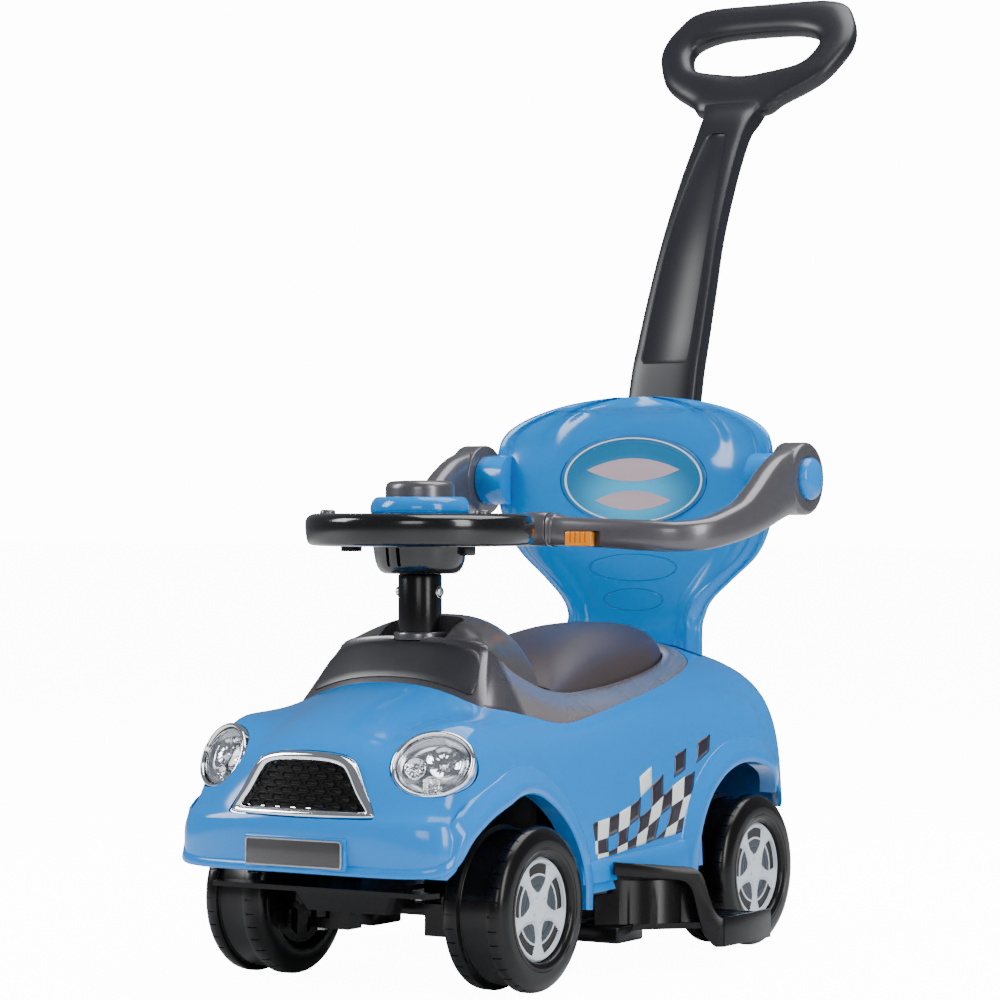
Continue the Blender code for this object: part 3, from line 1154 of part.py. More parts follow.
def outline_radius(outline, angle):
    """Distance from the grip's centre to a closed outline in a direction."""
    direction = Vector((math.cos(angle), math.sin(angle)))
    points = [Vector((x, v - GRIP_CENTRE)) for x, v in mirror_half(outline)]
    best = 0.0
    for a, b in zip(points, points[1:] + points[:1]):
        edge = b - a
        cross = direction.x * edge.y - direction.y * edge.x
        if abs(cross) < 1e-9:
            continue
        reach = (a.x * edge.y - a.y * edge.x) / cross
        share = (a.x * direction.y - a.y * direction.x) / cross
        if reach > 0 and -1e-6 <= share <= 1 + 1e-6:
            best = max(best, reach)
    return best


def shaft_frame(z):
    """Centre point, forward normal and half thickness of the handle's shaft at a height."""
    for (y0, z0, _, half_0), (y1, z1, _, _) in zip(SHAFT, SHAFT[1:]):
        if z0 <= z < z1:
            run = Vector((0, y1 - y0, z1 - z0)).normalized()
            return Vector((0, y0 + (y1 - y0) * (z - z0) / (z1 - z0), z)), Vector((0, -run.z, run.y)), half_0
    raise ValueError(f"no shaft at height {z}")


def build_handle(parent):
    """Shaft with a sunk front panel, and a closed grip at its top."""
    rings = []
    stations = SHAFT
    last = len(stations) - 1
    for i, (y, z, width, half_t) in enumerate(stations):
        (y0, z0, _, _), (y1, z1, _, _) = stations[max(i - 1, 0)], stations[min(i + 1, last)]
        run = Vector((0, y1 - y0, z1 - z0)).normalized()
        normal = Vector((0, -run.z, run.y))
        section = oval_section(width / 2, half_t, 5.0, 12)
        rings.append([Vector((a, y, z)) + normal * b for a, b in section])
    handle = finish_object("push_handle", loft(rings, cap_start=True, cap_end=True), "handle_grey", parent, 35)
    rings = []
    for i in range(34):
        angle = 2 * math.pi * (i + 0.5) / 34
        outer, inner = outline_radius(GRIP_OUTER, angle), outline_radius(GRIP_HOLE, angle)
        middle, half = (outer + inner) / 2, (outer - inner) / 2
        ring = []
        for a, b in oval_section(half, 12.5, 2.6, 8):
            radius = middle + a
            ring.append(GRIP_ORIGIN + Vector((radius * math.cos(angle), 0, 0))
                        + GRIP_UP * (GRIP_CENTRE + radius * math.sin(angle)) + GRIP_NORMAL * b)
        rings.append(ring)
    boolean(handle, [loft(rings, closed_path=True)], "UNION")
    rings = []
    for z, width in PANEL:
        middle, normal, half_t = shaft_frame(z)
        near, far = middle + normal * (half_t - PANEL_DEPTH), middle + normal * (half_t + 6)
        side = Vector((width / 2, 0, 0))
        rings.append([near - side, near + side, far + side, far - side])
    boolean(handle, [loft(rings, cap_start=True, cap_end=True)], "DIFFERENCE")
    smooth_by_angle(handle, 35)


def main():
    clear_scene()
    frame = bpy.data.objects.new("car_frame", None)
    bpy.context.scene.collection.objects.link(frame)
    frame["place"] = (0.0, 0.0, 0.0)
    frame.location = (0, ORIGIN_SHIFT_Y * MM, 0)
    tree = build_body(frame)
    build_grille(frame)
    build_lamps(frame)
    build_cockpit(frame, tree)
    build_seat(frame)
    build_steering(frame)
    build_knuckles(frame)
    build_wheels(frame)
    build_chassis(frame)
    build_footrests(frame)
    build_backrest(frame, tree)
    build_guard(frame)
    build_handle(frame)


main()
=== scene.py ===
"""Looks of a child's push car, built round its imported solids.

The car faces -Y and stands on z = 0. Shapes are laid out in millimetres from the point midway between the two
axles, and moved to the row's frame in metres when a piece is finished. Each sub-assembly is a class that builds its
pieces and dresses them; finishes are small frozen dataclasses that make procedural materials.
"""

import json  # noqa: E402
import logging  # noqa: E402
import math  # noqa: E402
from collections.abc import Callable, Iterable, Mapping, Sequence  # noqa: E402
from dataclasses import dataclass, field  # noqa: E402
from enum import Enum  # noqa: E402

import bmesh  # noqa: E402
import bpy  # noqa: E402
from mathutils import Matrix, Vector  # noqa: E402
from mathutils.bvhtree import BVHTree  # noqa: E402

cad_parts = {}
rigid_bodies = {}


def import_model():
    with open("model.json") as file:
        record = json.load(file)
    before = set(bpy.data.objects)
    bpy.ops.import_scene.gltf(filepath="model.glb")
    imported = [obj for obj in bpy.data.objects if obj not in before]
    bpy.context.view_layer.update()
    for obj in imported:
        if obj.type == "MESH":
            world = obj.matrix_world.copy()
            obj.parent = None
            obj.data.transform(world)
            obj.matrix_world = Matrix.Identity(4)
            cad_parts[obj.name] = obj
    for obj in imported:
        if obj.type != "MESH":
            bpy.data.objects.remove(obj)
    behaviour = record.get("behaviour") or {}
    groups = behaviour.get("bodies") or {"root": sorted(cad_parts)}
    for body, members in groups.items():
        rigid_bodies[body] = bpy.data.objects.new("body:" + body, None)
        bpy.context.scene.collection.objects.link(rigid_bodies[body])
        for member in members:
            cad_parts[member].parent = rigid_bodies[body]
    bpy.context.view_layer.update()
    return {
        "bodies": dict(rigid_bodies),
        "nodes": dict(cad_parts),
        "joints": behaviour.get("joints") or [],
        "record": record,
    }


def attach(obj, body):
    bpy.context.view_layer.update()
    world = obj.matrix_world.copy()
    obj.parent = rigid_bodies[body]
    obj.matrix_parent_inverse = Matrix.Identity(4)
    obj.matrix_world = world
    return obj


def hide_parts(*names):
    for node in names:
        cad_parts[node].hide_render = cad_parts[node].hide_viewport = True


LOG = logging.getLogger("push_car")

MM = 0.001
FRAME_SHIFT_Y = -83.9        # from the middle between the axles to the middle of the whole car
SIDES = (("left", 1), ("right", -1))
MERGE = 0.004                        # points nearer than this many millimetres become one
NUDGES = (0.0, 0.02, -0.03, 0.05)      # in millimetres, where a Boolean leaves open edges

WHEEL_R = 68.0
AXLE_Y = 188.6
WHEEL_OUTER_X = 148.7
WHEEL_W = 61.0
COLUMN_Y = -147.0
COLUMN_R = 18.5
COLLAR_R = 22.5
HUB_X, HUB_Y, HUB_Z = 170.0, 213.5, 421.0

Ring = list[Vector]
Pair = tuple[float, float]
Triple = tuple[float, float, float]
BMesh = bmesh.types.BMesh
Thing = bpy.types.Object
Socket = bpy.types.NodeSocket
NodeTree = bpy.types.NodeTree


class Axis(Enum):
    """Directions that a turned shape's axis may have."""

    X = (1.0, 0.0, 0.0)
    Y = (0.0, 1.0, 0.0)
    Z = (0.0, 0.0, 1.0)


class Cut(Enum):
    """What a tool does to a piece."""

    TAKE = "DIFFERENCE"
    JOIN = "UNION"


class Mesher:
    """Makes bmeshes in car millimetres."""

    @staticmethod
    def skin(bm: BMesh, rings: Sequence[Ring], closed_ring: bool = True, caps: bool = False,
             closed_path: bool = False) -> list[list[bmesh.types.BMVert]]:
        """Skin rings of points with quads.

        Args:
            bm: the mesh that gets the faces.
            rings: rings with the same number of points each.
            closed_ring: whether each ring's last point joins its first.
            caps: whether the first and last ring are filled.
            closed_path: whether the last ring joins the first.

        Returns:
            The new vertices, ring by ring.
        """
        loops = [[bm.verts.new(point) for point in ring] for ring in rings]
        count = len(loops[0])
        for i in range(len(loops) if closed_path else len(loops) - 1):
            here, there = loops[i], loops[(i + 1) % len(loops)]
            for j in range(count if closed_ring else count - 1):
                k = (j + 1) % count
                bm.faces.new((here[j], here[k], there[k], there[j]))
        if caps:
            bm.faces.new(loops[0])
            bm.faces.new(loops[-1])
        return loops

    @staticmethod
    def loft(rings: Sequence[Ring], **options: bool) -> BMesh:
        """A new mesh skinned through rings; the options are those of skin.

        Args:
            rings: rings with the same number of points each.
            options: passed on to skin.

        Returns:
            The lofted mesh.
        """
        bm = bmesh.new()
        Mesher.skin(bm, rings, **options)
        return bm

    @staticmethod
    def revolve(profile: Sequence[Pair], centre: Sequence[float], axis: Axis, segments: int = 96,
                sign: float = 1.0) -> BMesh:
        """Turn a profile of (along, radius) points; ends on the axis are closed with a pole.

        Args:
            profile: points along the axis and away from it. With both ends off the axis it is a closed section.
            centre: a point on the axis.
            axis: the axis's direction.
            segments: steps round the axis.
            sign: -1 mirrors the profile along the axis.

        Returns:
            The turned mesh.
        """
        along = Vector(axis.value) * sign
        side = along.orthogonal().normalized()
        across = along.cross(side)
        solid = profile[0][1] == 0 and profile[-1][1] == 0
        inner = profile[1:-1] if solid else profile
        bm = bmesh.new()
        rings = []
        for c, s in Curve.circle(segments):
            out = side * c + across * s
            rings.append([Vector(centre) + along * a + out * r for a, r in inner])
        loops = Mesher.skin(bm, rings, closed_ring=not solid, closed_path=True)
        if solid:
            for index, (a, _) in ((0, profile[0]), (-1, profile[-1])):
                pole = bm.verts.new(Vector(centre) + along * a)
                for i in range(segments):
                    bm.faces.new((loops[i][index], loops[(i + 1) % segments][index], pole))
        return bm

    @staticmethod
    def rod(start: Sequence[float], end: Sequence[float], radius: float, segments: int = 40) -> BMesh:
        """A plain round rod between two points.

        Args:
            start: centre of the first end.
            end: centre of the other end.
            radius: its radius.
            segments: steps round it.

        Returns:
            The rod's mesh.
        """
        run = Vector(end) - Vector(start)
        side = run.orthogonal().normalized()
        across = run.normalized().cross(side)
        rings = []
        for centre in (Vector(start), Vector(end)):
            rings.append([centre + (side * c + across * s) * radius for c, s in Curve.circle(segments)])
        return Mesher.loft(rings, caps=True)

    @staticmethod
    def block(low: Sequence[float], high: Sequence[float], radius: float = 0.0, segments: int = 3) -> BMesh:
        """A box between two corners, with rounded edges.

        Args:
            low: one corner.
            high: the opposite corner.
            radius: the edges' radius, or 0 for sharp ones.
            segments: steps of the rounding.

        Returns:
            The box's mesh.
        """
        low, high = Vector(map(min, low, high)), Vector(map(max, low, high))
        bm = bmesh.new()
        bmesh.ops.create_cube(bm, size=1.0)
        for vert in bm.verts:
            vert.co = Vector(l + (h - l) * (c + 0.5) for l, h, c in zip(low, high, vert.co))
        if radius:
            bmesh.ops.bevel(bm, geom=bm.edges[:], offset=radius, segments=segments, affect="EDGES", profile=0.5)
        return bm

    @staticmethod
    def prism(outline: Sequence[Pair], low: float, high: float) -> BMesh:
        """A mesh with an (x, y) outline between two heights."""
        return Mesher.loft([[Vector((x, y, z)) for x, y in outline] for z in (low, high)], caps=True)

    @staticmethod
    def join(parts: Iterable[BMesh]) -> BMesh:
        """Put several meshes into one and free them.

        Args:
            parts: the meshes.

        Returns:
            One mesh with all their shells.
        """
        whole = bmesh.new()
        for part in parts:
            mesh = bpy.data.meshes.new("part")
            part.to_mesh(mesh)
            part.free()
            whole.from_mesh(mesh)
            bpy.data.meshes.remove(mesh)
        return whole


class Curve:
    """Plain curve rules shared by the sub-assemblies."""

    @staticmethod
    def smooth(stations: Sequence[Sequence[float]], steps: int) -> list[tuple[float, ...]]:
        """Catmull-Rom stations between given ones.

        Args:
            stations: tuples of numbers, all of one length.
            steps: stations per span.

        Returns:
            The denser list, which keeps the given stations.
        """
        result = []
        last = len(stations) - 1
        for i in range(last):
            before, after = stations[max(i - 1, 0)], stations[min(i + 2, last)]
            for step in range(steps):
                t = step / steps
                result.append(tuple(
                    0.5 * (2 * b + (c - a) * t + (2 * a - 5 * b + 4 * c - d) * t ** 2
                           + (3 * b - a - 3 * c + d) * t ** 3)
                    for a, b, c, d in zip(before, stations[i], stations[i + 1], after)))
        result.append(tuple(stations[last]))
        return result

    @staticmethod
    def mirror(half: Sequence[Sequence[float]]) -> list[tuple[float, ...]]:
        """The closed outline of a half that starts and ends on x = 0."""
        return [tuple(p) for p in half] + [(-p[0], *p[1:]) for p in reversed(half[1:-1])]

    @staticmethod
    def circle(count: int, offset: float = 0.0) -> list[Pair]:
        """Cosine and sine at even steps round a circle."""
        return [(math.cos(t), math.sin(t)) for t in (2 * math.pi * (i + offset) / count for i in range(count))]

    @staticmethod
    def oval(half_w: float, half_h: float, power: float, count: int) -> list[Pair]:
        """Points of a superellipse.

        Args:
            half_w: half width.
            half_h: half height.
            power: 2 for an ellipse; more makes a rectangle with soft corners.
            count: how many points.

        Returns:
            The points in order.
        """
        result = []
        for c, s in Curve.circle(count, 0.5):
            result.append((half_w * math.copysign(abs(c) ** (2 / power), c),
                           half_h * math.copysign(abs(s) ** (2 / power), s)))
        return result

    @staticmethod
    def round_rect(low: Pair, high: Pair, radius: float, steps: int = 6) -> list[Pair]:
        """Outline of a rectangle with round corners.

        Args:
            low: lower corner.
            high: upper corner.
            radius: corner radius.
            steps: points per corner, less one.

        Returns:
            The outline.
        """
        (x0, y0), (x1, y1) = low, high
        outline = []
        for cx, cy, first in ((x1 - radius, y1 - radius, 0), (x0 + radius, y1 - radius, 90),
                              (x0 + radius, y0 + radius, 180), (x1 - radius, y0 + radius, 270)):
            for i in range(steps + 1):
                angle = math.radians(first + 90 * i / steps)
                outline.append((cx + radius * math.cos(angle), cy + radius * math.sin(angle)))
        return outline

    @staticmethod
    def sweep(stations: Sequence[Sequence[float]], power: float = 3.0, count: int = 32) -> BMesh:
        """Sweep a soft rectangle along stations of (x, y, z, half width, half height), upright.

        Args:
            stations: the path.
            power: the section's superellipse power.
            count: points round the section.

        Returns:
            A closed mesh.
        """
        centres = [Vector(s[:3]) for s in stations]
        last = len(centres) - 1
        rings = []
        for i, centre in enumerate(centres):
            tangent = (centres[min(i + 1, last)] - centres[max(i - 1, 0)]).normalized()
            side = tangent.cross(Vector((0, 0, 1))).normalized()
            upward = side.cross(tangent)
            rings.append([centre + side * a + upward * b
                          for a, b in Curve.oval(stations[i][3], stations[i][4], power, count)])
        return Mesher.loft(rings, caps=True)


class Bench:
    """Turns bmeshes into objects and finishes them."""

    @staticmethod
    def piece(name: str, bm: BMesh, material: bpy.types.Material | None = None, angle: float = 35.0,
              recalc: bool = True) -> Thing:
        """Make an object at the origin from a mesh in car millimetres, and free the mesh.

        Args:
            name: the piece's name.
            bm: its mesh.
            material: its finish.
            angle: edges sharper than this stay sharp in the shading.
            recalc: whether faces are turned outwards.

        Returns:
            The object.
        """
        bmesh.ops.remove_doubles(bm, verts=bm.verts, dist=MERGE)
        if recalc:
            bmesh.ops.recalc_face_normals(bm, faces=bm.faces)
        for vert in bm.verts:
            vert.co = (vert.co + Vector((0, FRAME_SHIFT_Y, 0))) * MM
        mesh = bpy.data.meshes.new(name)
        bm.to_mesh(mesh)
        bm.free()
        if material:
            mesh.materials.append(material)
        obj = Bench.place(name, mesh)
        Bench.shade(obj, angle)
        return obj

    @staticmethod
    def place(name: str, data: bpy.types.ID | None = None) -> Thing:
        """Put an object into the scene; without data it gets an empty mesh."""
        obj = bpy.data.objects.new(name, data or bpy.data.meshes.new(name))
        bpy.context.scene.collection.objects.link(obj)
        return obj

    @staticmethod
    def shade(obj: Thing, angle: float = 35.0) -> None:
        """Shade smooth, with edges above an angle sharp."""
        obj.data.shade_smooth()
        obj.data.set_sharp_from_angle(angle=math.radians(angle))

    @staticmethod
    def settle(obj: Thing) -> None:
        """Turn the object's modifiers into its mesh."""
        bpy.context.view_layer.update()
        graph = bpy.context.evaluated_depsgraph_get()
        mesh = bpy.data.meshes.new_from_object(obj.evaluated_get(graph), depsgraph=graph)
        mesh.name = obj.name
        obj.modifiers.clear()
        obj.data = mesh

    @staticmethod
    def modify(obj: Thing, kind: str, **settings: object) -> None:
        """Apply a modifier of a kind, with its settings, to an object's mesh."""
        modifier = obj.modifiers.new(kind.lower(), kind)
        for key, value in settings.items():
            setattr(modifier, key, value)
        Bench.settle(obj)

    @staticmethod
    def carve(obj: Thing, tools: Iterable[BMesh], cut: Cut, angle: float = 35.0) -> None:
        """Apply Booleans to a piece one after another.

        One that leaves open edges is done again with the tool a few hundredths of a millimetre away, and the
        result with the fewest is kept.

        Args:
            obj: the piece.
            tools: closed meshes in car millimetres.
            cut: what the tools do.
            angle: edges sharper than this stay sharp in the shading.
        """
        for tool in tools:
            other = Bench.piece(f"{obj.name}_tool", tool)
            kept, best, fewest = obj.data, obj.data, None
            for nudge in NUDGES:
                obj.data = kept.copy()
                other.location = (nudge * MM, 0.7 * nudge * MM, -0.6 * nudge * MM)
                Bench.modify(obj, "BOOLEAN", operation=cut.value, solver="EXACT", object=other)
                gaps = Bench.gaps(obj.data)
                if len(obj.data.polygons) > 0.5 * len(kept.polygons) and (fewest is None or gaps < fewest):
                    best, fewest = obj.data, gaps
                if fewest == 0:
                    break
            obj.data = best
            if fewest != 0:
                LOG.info("%s: %s open edges after %s", obj.name, fewest, cut.name)
            bpy.data.objects.remove(other, do_unlink=True)
        Bench.shade(obj, angle)

    @staticmethod
    def gaps(mesh: bpy.types.Mesh) -> int:
        """How many edges of a mesh don't lie between two faces."""
        bm = bmesh.new()
        bm.from_mesh(mesh)
        count = sum(len(edge.link_faces) != 2 for edge in bm.edges)
        bm.free()
        return count

    @staticmethod
    def soften(obj: Thing, width: float, segments: int = 2, limit: float = 40.0,
               angle: float = 60.0) -> None:
        """Round the piece's sharp edges.

        Args:
            obj: the piece.
            width: the rounding's width in millimetres.
            segments: its steps.
            limit: edges sharper than this, in degrees, are rounded.
            angle: edges sharper than this stay sharp in the shading afterwards.
        """
        Bench.modify(obj, "BEVEL", width=width * MM, segments=segments, limit_method="ANGLE",
                     angle_limit=math.radians(limit))
        Bench.shade(obj, angle)

    @staticmethod
    def dress(obj: Thing, body: str, slot: str, replaces: Sequence[str] = ()) -> None:
        """Say what carries the piece and which solids it stands for.

        Args:
            obj: the piece.
            body: the body that it rides on.
            slot: not used.
            replaces: solids that it stands for.
        """
        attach(obj, body)
        if replaces:
            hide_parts(*replaces)
        LOG.info("%s: %d faces on %s", obj.name, len(obj.data.polygons), body)


Colour = Triple


class Graph:
    """Short calls for laying out a node tree."""

    def __init__(self, tree: NodeTree) -> None:
        """Start on a tree."""
        self.tree = tree

    def feed(self, node: bpy.types.Node, inputs: dict) -> bpy.types.Node:
        """Give a node's inputs their values or links.

        Args:
            node: the node.
            inputs: values or output sockets for its inputs, by name or number.

        Returns:
            The node.
        """
        for key, value in inputs.items():
            socket = node.inputs[key]
            if isinstance(value, Socket):
                self.tree.links.new(value, socket)
            else:
                socket.default_value = value
        return node

    def add(self, kind: str, inputs: dict | None = None, **settings: object) -> bpy.types.Node:
        """Add a node.

        Args:
            kind: the node's type name.
            inputs: what feed takes.
            settings: the node's own properties.

        Returns:
            The node.
        """
        node = self.tree.nodes.new(kind)
        for key, value in settings.items():
            setattr(node, key, value)
        return self.feed(node, inputs or {})

    def group(self, group: "Group", inputs: dict) -> Sequence[Socket]:
        """Add a shader group's node; its outputs."""
        return self.add("ShaderNodeGroup", inputs, node_tree=group.build()).outputs

    def math(self, operation: str, a: object, b: object = 0.0, clamp: bool = False) -> Socket:
        """A Math node's result, held between 0 and 1 with clamp."""
        return self.add("ShaderNodeMath", {0: a, 1: b}, operation=operation, use_clamp=clamp).outputs[0]

    def mix(self, factor: object, a: object, b: object) -> Socket:
        """A mix of two colours or sockets; the factor is the second one's share."""
        a, b = ((*c, 1.0) if isinstance(c, tuple) and len(c) == 3 else c for c in (a, b))
        return self.add("ShaderNodeMix", {0: factor, 6: a, 7: b}, data_type="RGBA").outputs[2]

    def ramp(self, value: object, low: float, high: float) -> Socket:
        """Map a value to 0 at low and 1 at high, easing in and out, and held at both ends."""
        return self.add("ShaderNodeMapRange", {0: value, 1: low, 2: high, 3: 0.0, 4: 1.0},
                        interpolation_type="SMOOTHSTEP").outputs[0]


@dataclass(frozen=True)
class Group:
    """A node group, built when it is first asked for.

    Its inputs are (name, socket type, default) and its outputs (name, socket type). fill lays it out: it gets the
    graph and the inputs' sockets by name, and returns the sockets for the outputs.
    """

    name: str
    inputs: Sequence[tuple[str, str, object]]
    outputs: Sequence[tuple[str, str]]
    fill: Callable[[Graph, Mapping[str, Socket]], tuple[Socket, ...]]
    kind: str = "Shader"

    def build(self) -> NodeTree:
        """Find the group or make it."""
        tree = bpy.data.node_groups.get(self.name)
        if tree is None:
            tree = bpy.data.node_groups.new(self.name, f"{self.kind}NodeTree")
            for label, kind, default in self.inputs:
                socket = tree.interface.new_socket(label, in_out="INPUT", socket_type=f"NodeSocket{kind}")
                if default is not None:
                    socket.default_value = default
            for label, kind in self.outputs:
                tree.interface.new_socket(label, in_out="OUTPUT", socket_type=f"NodeSocket{kind}")
            g = Graph(tree)
            ends = self.fill(g, g.add("NodeGroupInput").outputs)
            g.add("NodeGroupOutput", dict(enumerate(ends)))
        return tree


class Fill:
    """Layouts of the shader groups that several finishes share."""

    @staticmethod
    def grain(g: Graph, ins: Mapping[str, Socket]) -> tuple[Socket, ...]:
        """Fine mould grain: a roughness that varies and a height for a Bump node."""
        place = g.add("ShaderNodeTexCoord").outputs["Object"]
        fine = g.add("ShaderNodeTexNoise", {"Vector": place, "Scale": ins["Scale"], "Detail": 3.0})
        cloud = g.add("ShaderNodeTexNoise", {"Vector": place, "Scale": ins["Cloud Scale"], "Detail": 4.0})
        centred = g.math("SUBTRACT", cloud.outputs[0], 0.5)
        swing = g.math("MULTIPLY", centred, g.math("MULTIPLY", ins["Spread"], 2.0))
        return g.math("ADD", swing, ins["Roughness"], clamp=True), fine.outputs[0]

    @staticmethod
    def drift(g: Graph, ins: Mapping[str, Socket]) -> tuple[Socket, ...]:
        """A colour that drifts a little darker and lighter over the piece, as moulded plastic does."""
        place = g.add("ShaderNodeTexCoord").outputs["Object"]
        cloud = g.add("ShaderNodeTexNoise", {"Vector": place, "Scale": ins["Scale"], "Detail": 3.0})
        share = g.math("SUBTRACT", cloud.outputs[0], 0.5)
        value = g.math("ADD", 1.0, g.math("MULTIPLY", share, g.math("MULTIPLY", ins["Amount"], 2.0)))
        return (g.add("ShaderNodeHueSaturation", {"Value": value, "Color": ins["Color"]}).outputs[0],)

    @staticmethod
    def oval(g: Graph, ins: Mapping[str, Socket]) -> tuple[Socket, ...]:
        """Distance from the edge of an upright oval, seen along Y: 0 at its centre and 1 on the edge."""
        split = g.add("ShaderNodeSeparateXYZ", {0: g.add("ShaderNodeTexCoord").outputs["Object"]}).outputs
        across = g.math("DIVIDE", g.math("SUBTRACT", split["X"], ins["Centre X"]), ins["Half Width"])
        upward = g.math("DIVIDE", g.math("SUBTRACT", split["Z"], ins["Centre Z"]), ins["Half Height"])
        total = g.math("ADD", g.math("POWER", g.math("ABSOLUTE", across), 2.0),
                       g.math("POWER", g.math("ABSOLUTE", upward), ins["Point Power"]))
        return (g.math("SQRT", total),)

    @staticmethod
    def plane_line(g: Graph, ins: Mapping[str, Socket]) -> tuple[Socket, ...]:
        """A thin line where a plane crosses the surface, and a mask of what lies before the plane."""
        place = g.add("ShaderNodeTexCoord").outputs["Object"]
        mirrored = g.add("ShaderNodeVectorMath", {0: place}, operation="ABSOLUTE").outputs[0]
        x = g.add("ShaderNodeSeparateXYZ", {0: mirrored}).outputs["X"]
        split = g.add("ShaderNodeSeparateXYZ", {0: place}).outputs
        folded = g.add("ShaderNodeCombineXYZ", {"X": x, "Y": split["Y"], "Z": split["Z"]}).outputs[0]
        offset = g.add("ShaderNodeVectorMath", {0: folded, 1: ins["Point"]}, operation="SUBTRACT").outputs[0]
        dot = g.add("ShaderNodeVectorMath", {0: offset, 1: ins["Normal"]}, operation="DOT_PRODUCT").outputs["Value"]
        share = g.math("DIVIDE", g.math("ABSOLUTE", dot), ins["Half Width"])
        return g.ramp(share, 1.6, 0.6), g.ramp(dot, 0.002, -0.006)


GRAIN = Group("mould_grain", [("Scale", "Float", 700.0), ("Roughness", "Float", 0.3), ("Spread", "Float", 0.05),
                              ("Cloud Scale", "Float", 14.0)], [("Roughness", "Float"), ("Height", "Float")],
              Fill.grain)
DRIFT = Group("colour_drift", [("Color", "Color", (0.5, 0.5, 0.5, 1.0)), ("Amount", "Float", 0.05),
                               ("Scale", "Float", 9.0)], [("Color", "Color")], Fill.drift)
OVAL = Group("oval_reach", [("Centre X", "Float", 0.0), ("Centre Z", "Float", 0.0), ("Half Width", "Float", 0.1),
                            ("Half Height", "Float", 0.05), ("Point Power", "Float", 2.0)], [("Reach", "Float")],
             Fill.oval)
PLANE_LINE = Group("plane_line", [("Point", "Vector", (0.0, 0.0, 0.0)), ("Normal", "Vector", (0.0, 1.0, 0.0)),
                                  ("Half Width", "Float", 0.0004)], [("Line", "Float"), ("Before", "Float")],
                   Fill.plane_line)


@dataclass(frozen=True)
class Plastic:
    """A moulded plastic or bright-plated finish."""

    name: str
    colour: Colour
    roughness: float = 0.25
    metallic: float = 0.0
    coat: float = 0.0
    coat_roughness: float = 0.05
    specular: float = 0.5
    drift: float = 0.04
    spread: float = 0.04
    grain: float = 0.03
    grain_scale: float = 700.0
    grain_depth: float = 0.0002

    def build(self, paint: Callable[[Graph, Socket], tuple] | None = None) -> bpy.types.Material:
        """Make the material.

        Args:
            paint: adds marks: it gets the graph and the colour, and returns a colour and a height (or None).

        Returns:
            The material, made once for each name.
        """
        found = bpy.data.materials.get(self.name)
        if found:
            return found
        material = bpy.data.materials.new(self.name)
        material.use_nodes = True
        g = Graph(material.node_tree)
        shader = material.node_tree.nodes["Principled BSDF"]
        colour, height = g.group(DRIFT, {"Color": (*self.colour, 1.0), "Amount": self.drift})["Color"], None
        grain = g.group(GRAIN, {"Scale": self.grain_scale, "Roughness": self.roughness, "Spread": self.spread})
        if paint:
            colour, height = paint(g, colour)
        normal = g.add("ShaderNodeBump", {"Height": grain["Height"], "Strength": self.grain,
                                          "Distance": self.grain_depth}).outputs[0]
        if height is not None:
            normal = g.add("ShaderNodeBump", {"Height": height, "Strength": 0.8, "Distance": 0.0006,
                                              "Normal": normal}).outputs[0]
        g.feed(shader, {"Base Color": colour, "Roughness": grain["Roughness"], "Normal": normal,
                        "Metallic": self.metallic, "Specular IOR Level": self.specular,
                        "Coat Weight": self.coat, "Coat Roughness": self.coat_roughness})
        material.diffuse_color = (*self.colour, 1.0)
        return material


@dataclass(frozen=True)
class Clear:
    """Clear moulded lens plastic."""

    name: str = "clear_lens"
    tint: Colour = (0.97, 0.98, 1.0)
    roughness: float = 0.02
    ior: float = 1.45

    def build(self) -> bpy.types.Material:
        """Make the material, once."""
        found = bpy.data.materials.get(self.name)
        if found:
            return found
        material = bpy.data.materials.new(self.name)
        material.use_nodes = True
        shader = material.node_tree.nodes["Principled BSDF"]
        Graph(material.node_tree).feed(shader, {"Base Color": (*self.tint, 1.0), "Roughness": self.roughness,
                                                "Transmission Weight": 1.0, "IOR": self.ior})
        return material


BLUE = Plastic("moulded_blue", (0.0001, 0.200, 0.62), roughness=0.13, specular=0.42, drift=0.03, spread=0.02,
               grain=0.02, grain_scale=420.0)
BLUE_BACK = Plastic("moulded_blue_backrest", (0.0001, 0.212, 0.62), roughness=0.15, specular=0.42, drift=0.03,
                    spread=0.02, grain=0.02, grain_scale=420.0)
BADGE = Plastic("badge_blank", (0.10, 0.42, 0.60), roughness=0.22, coat=0.4, coat_roughness=0.05)
GUNMETAL = Plastic("gunmetal_lacquer", (0.105, 0.101, 0.111), roughness=0.30, metallic=0.5, coat=0.3,
                   coat_roughness=0.08, spread=0.05, grain=0.03, grain_scale=1500.0)
SILVER_BROWN = Plastic("silver_brown_lacquer", (0.34, 0.305, 0.312), roughness=0.27, metallic=0.7, coat=0.3,
                       coat_roughness=0.08, spread=0.05, grain=0.03, grain_scale=1500.0)
PANEL_DARK = Plastic("windscreen_panel_dark", (0.020, 0.020, 0.024), roughness=0.34, grain=0.06, grain_scale=1600.0)
SEAT = Plastic("seat_brown_grey", (0.046, 0.034, 0.037), roughness=0.40, coat=0.05, coat_roughness=0.2, drift=0.06,
               spread=0.06, grain=0.10, grain_scale=900.0)
BLACK = Plastic("satin_black", (0.0045, 0.0040, 0.0042), roughness=0.24, specular=0.24, spread=0.06, grain=0.05,
                grain_scale=800.0)
BLACK_GLOSS = Plastic("gloss_black", (0.004, 0.004, 0.0045), roughness=0.16, coat=0.15, coat_roughness=0.05,
                      grain=0.03)
TYRE = Plastic("wheel_black", (0.0036, 0.0034, 0.0036), roughness=0.24, specular=0.27, spread=0.06, grain=0.07,
               grain_scale=600.0)
HANDLE = Plastic("handle_slate", (0.010, 0.0102, 0.0140), roughness=0.36, specular=0.4, spread=0.05,
                 grain=0.06, grain_scale=1300.0)
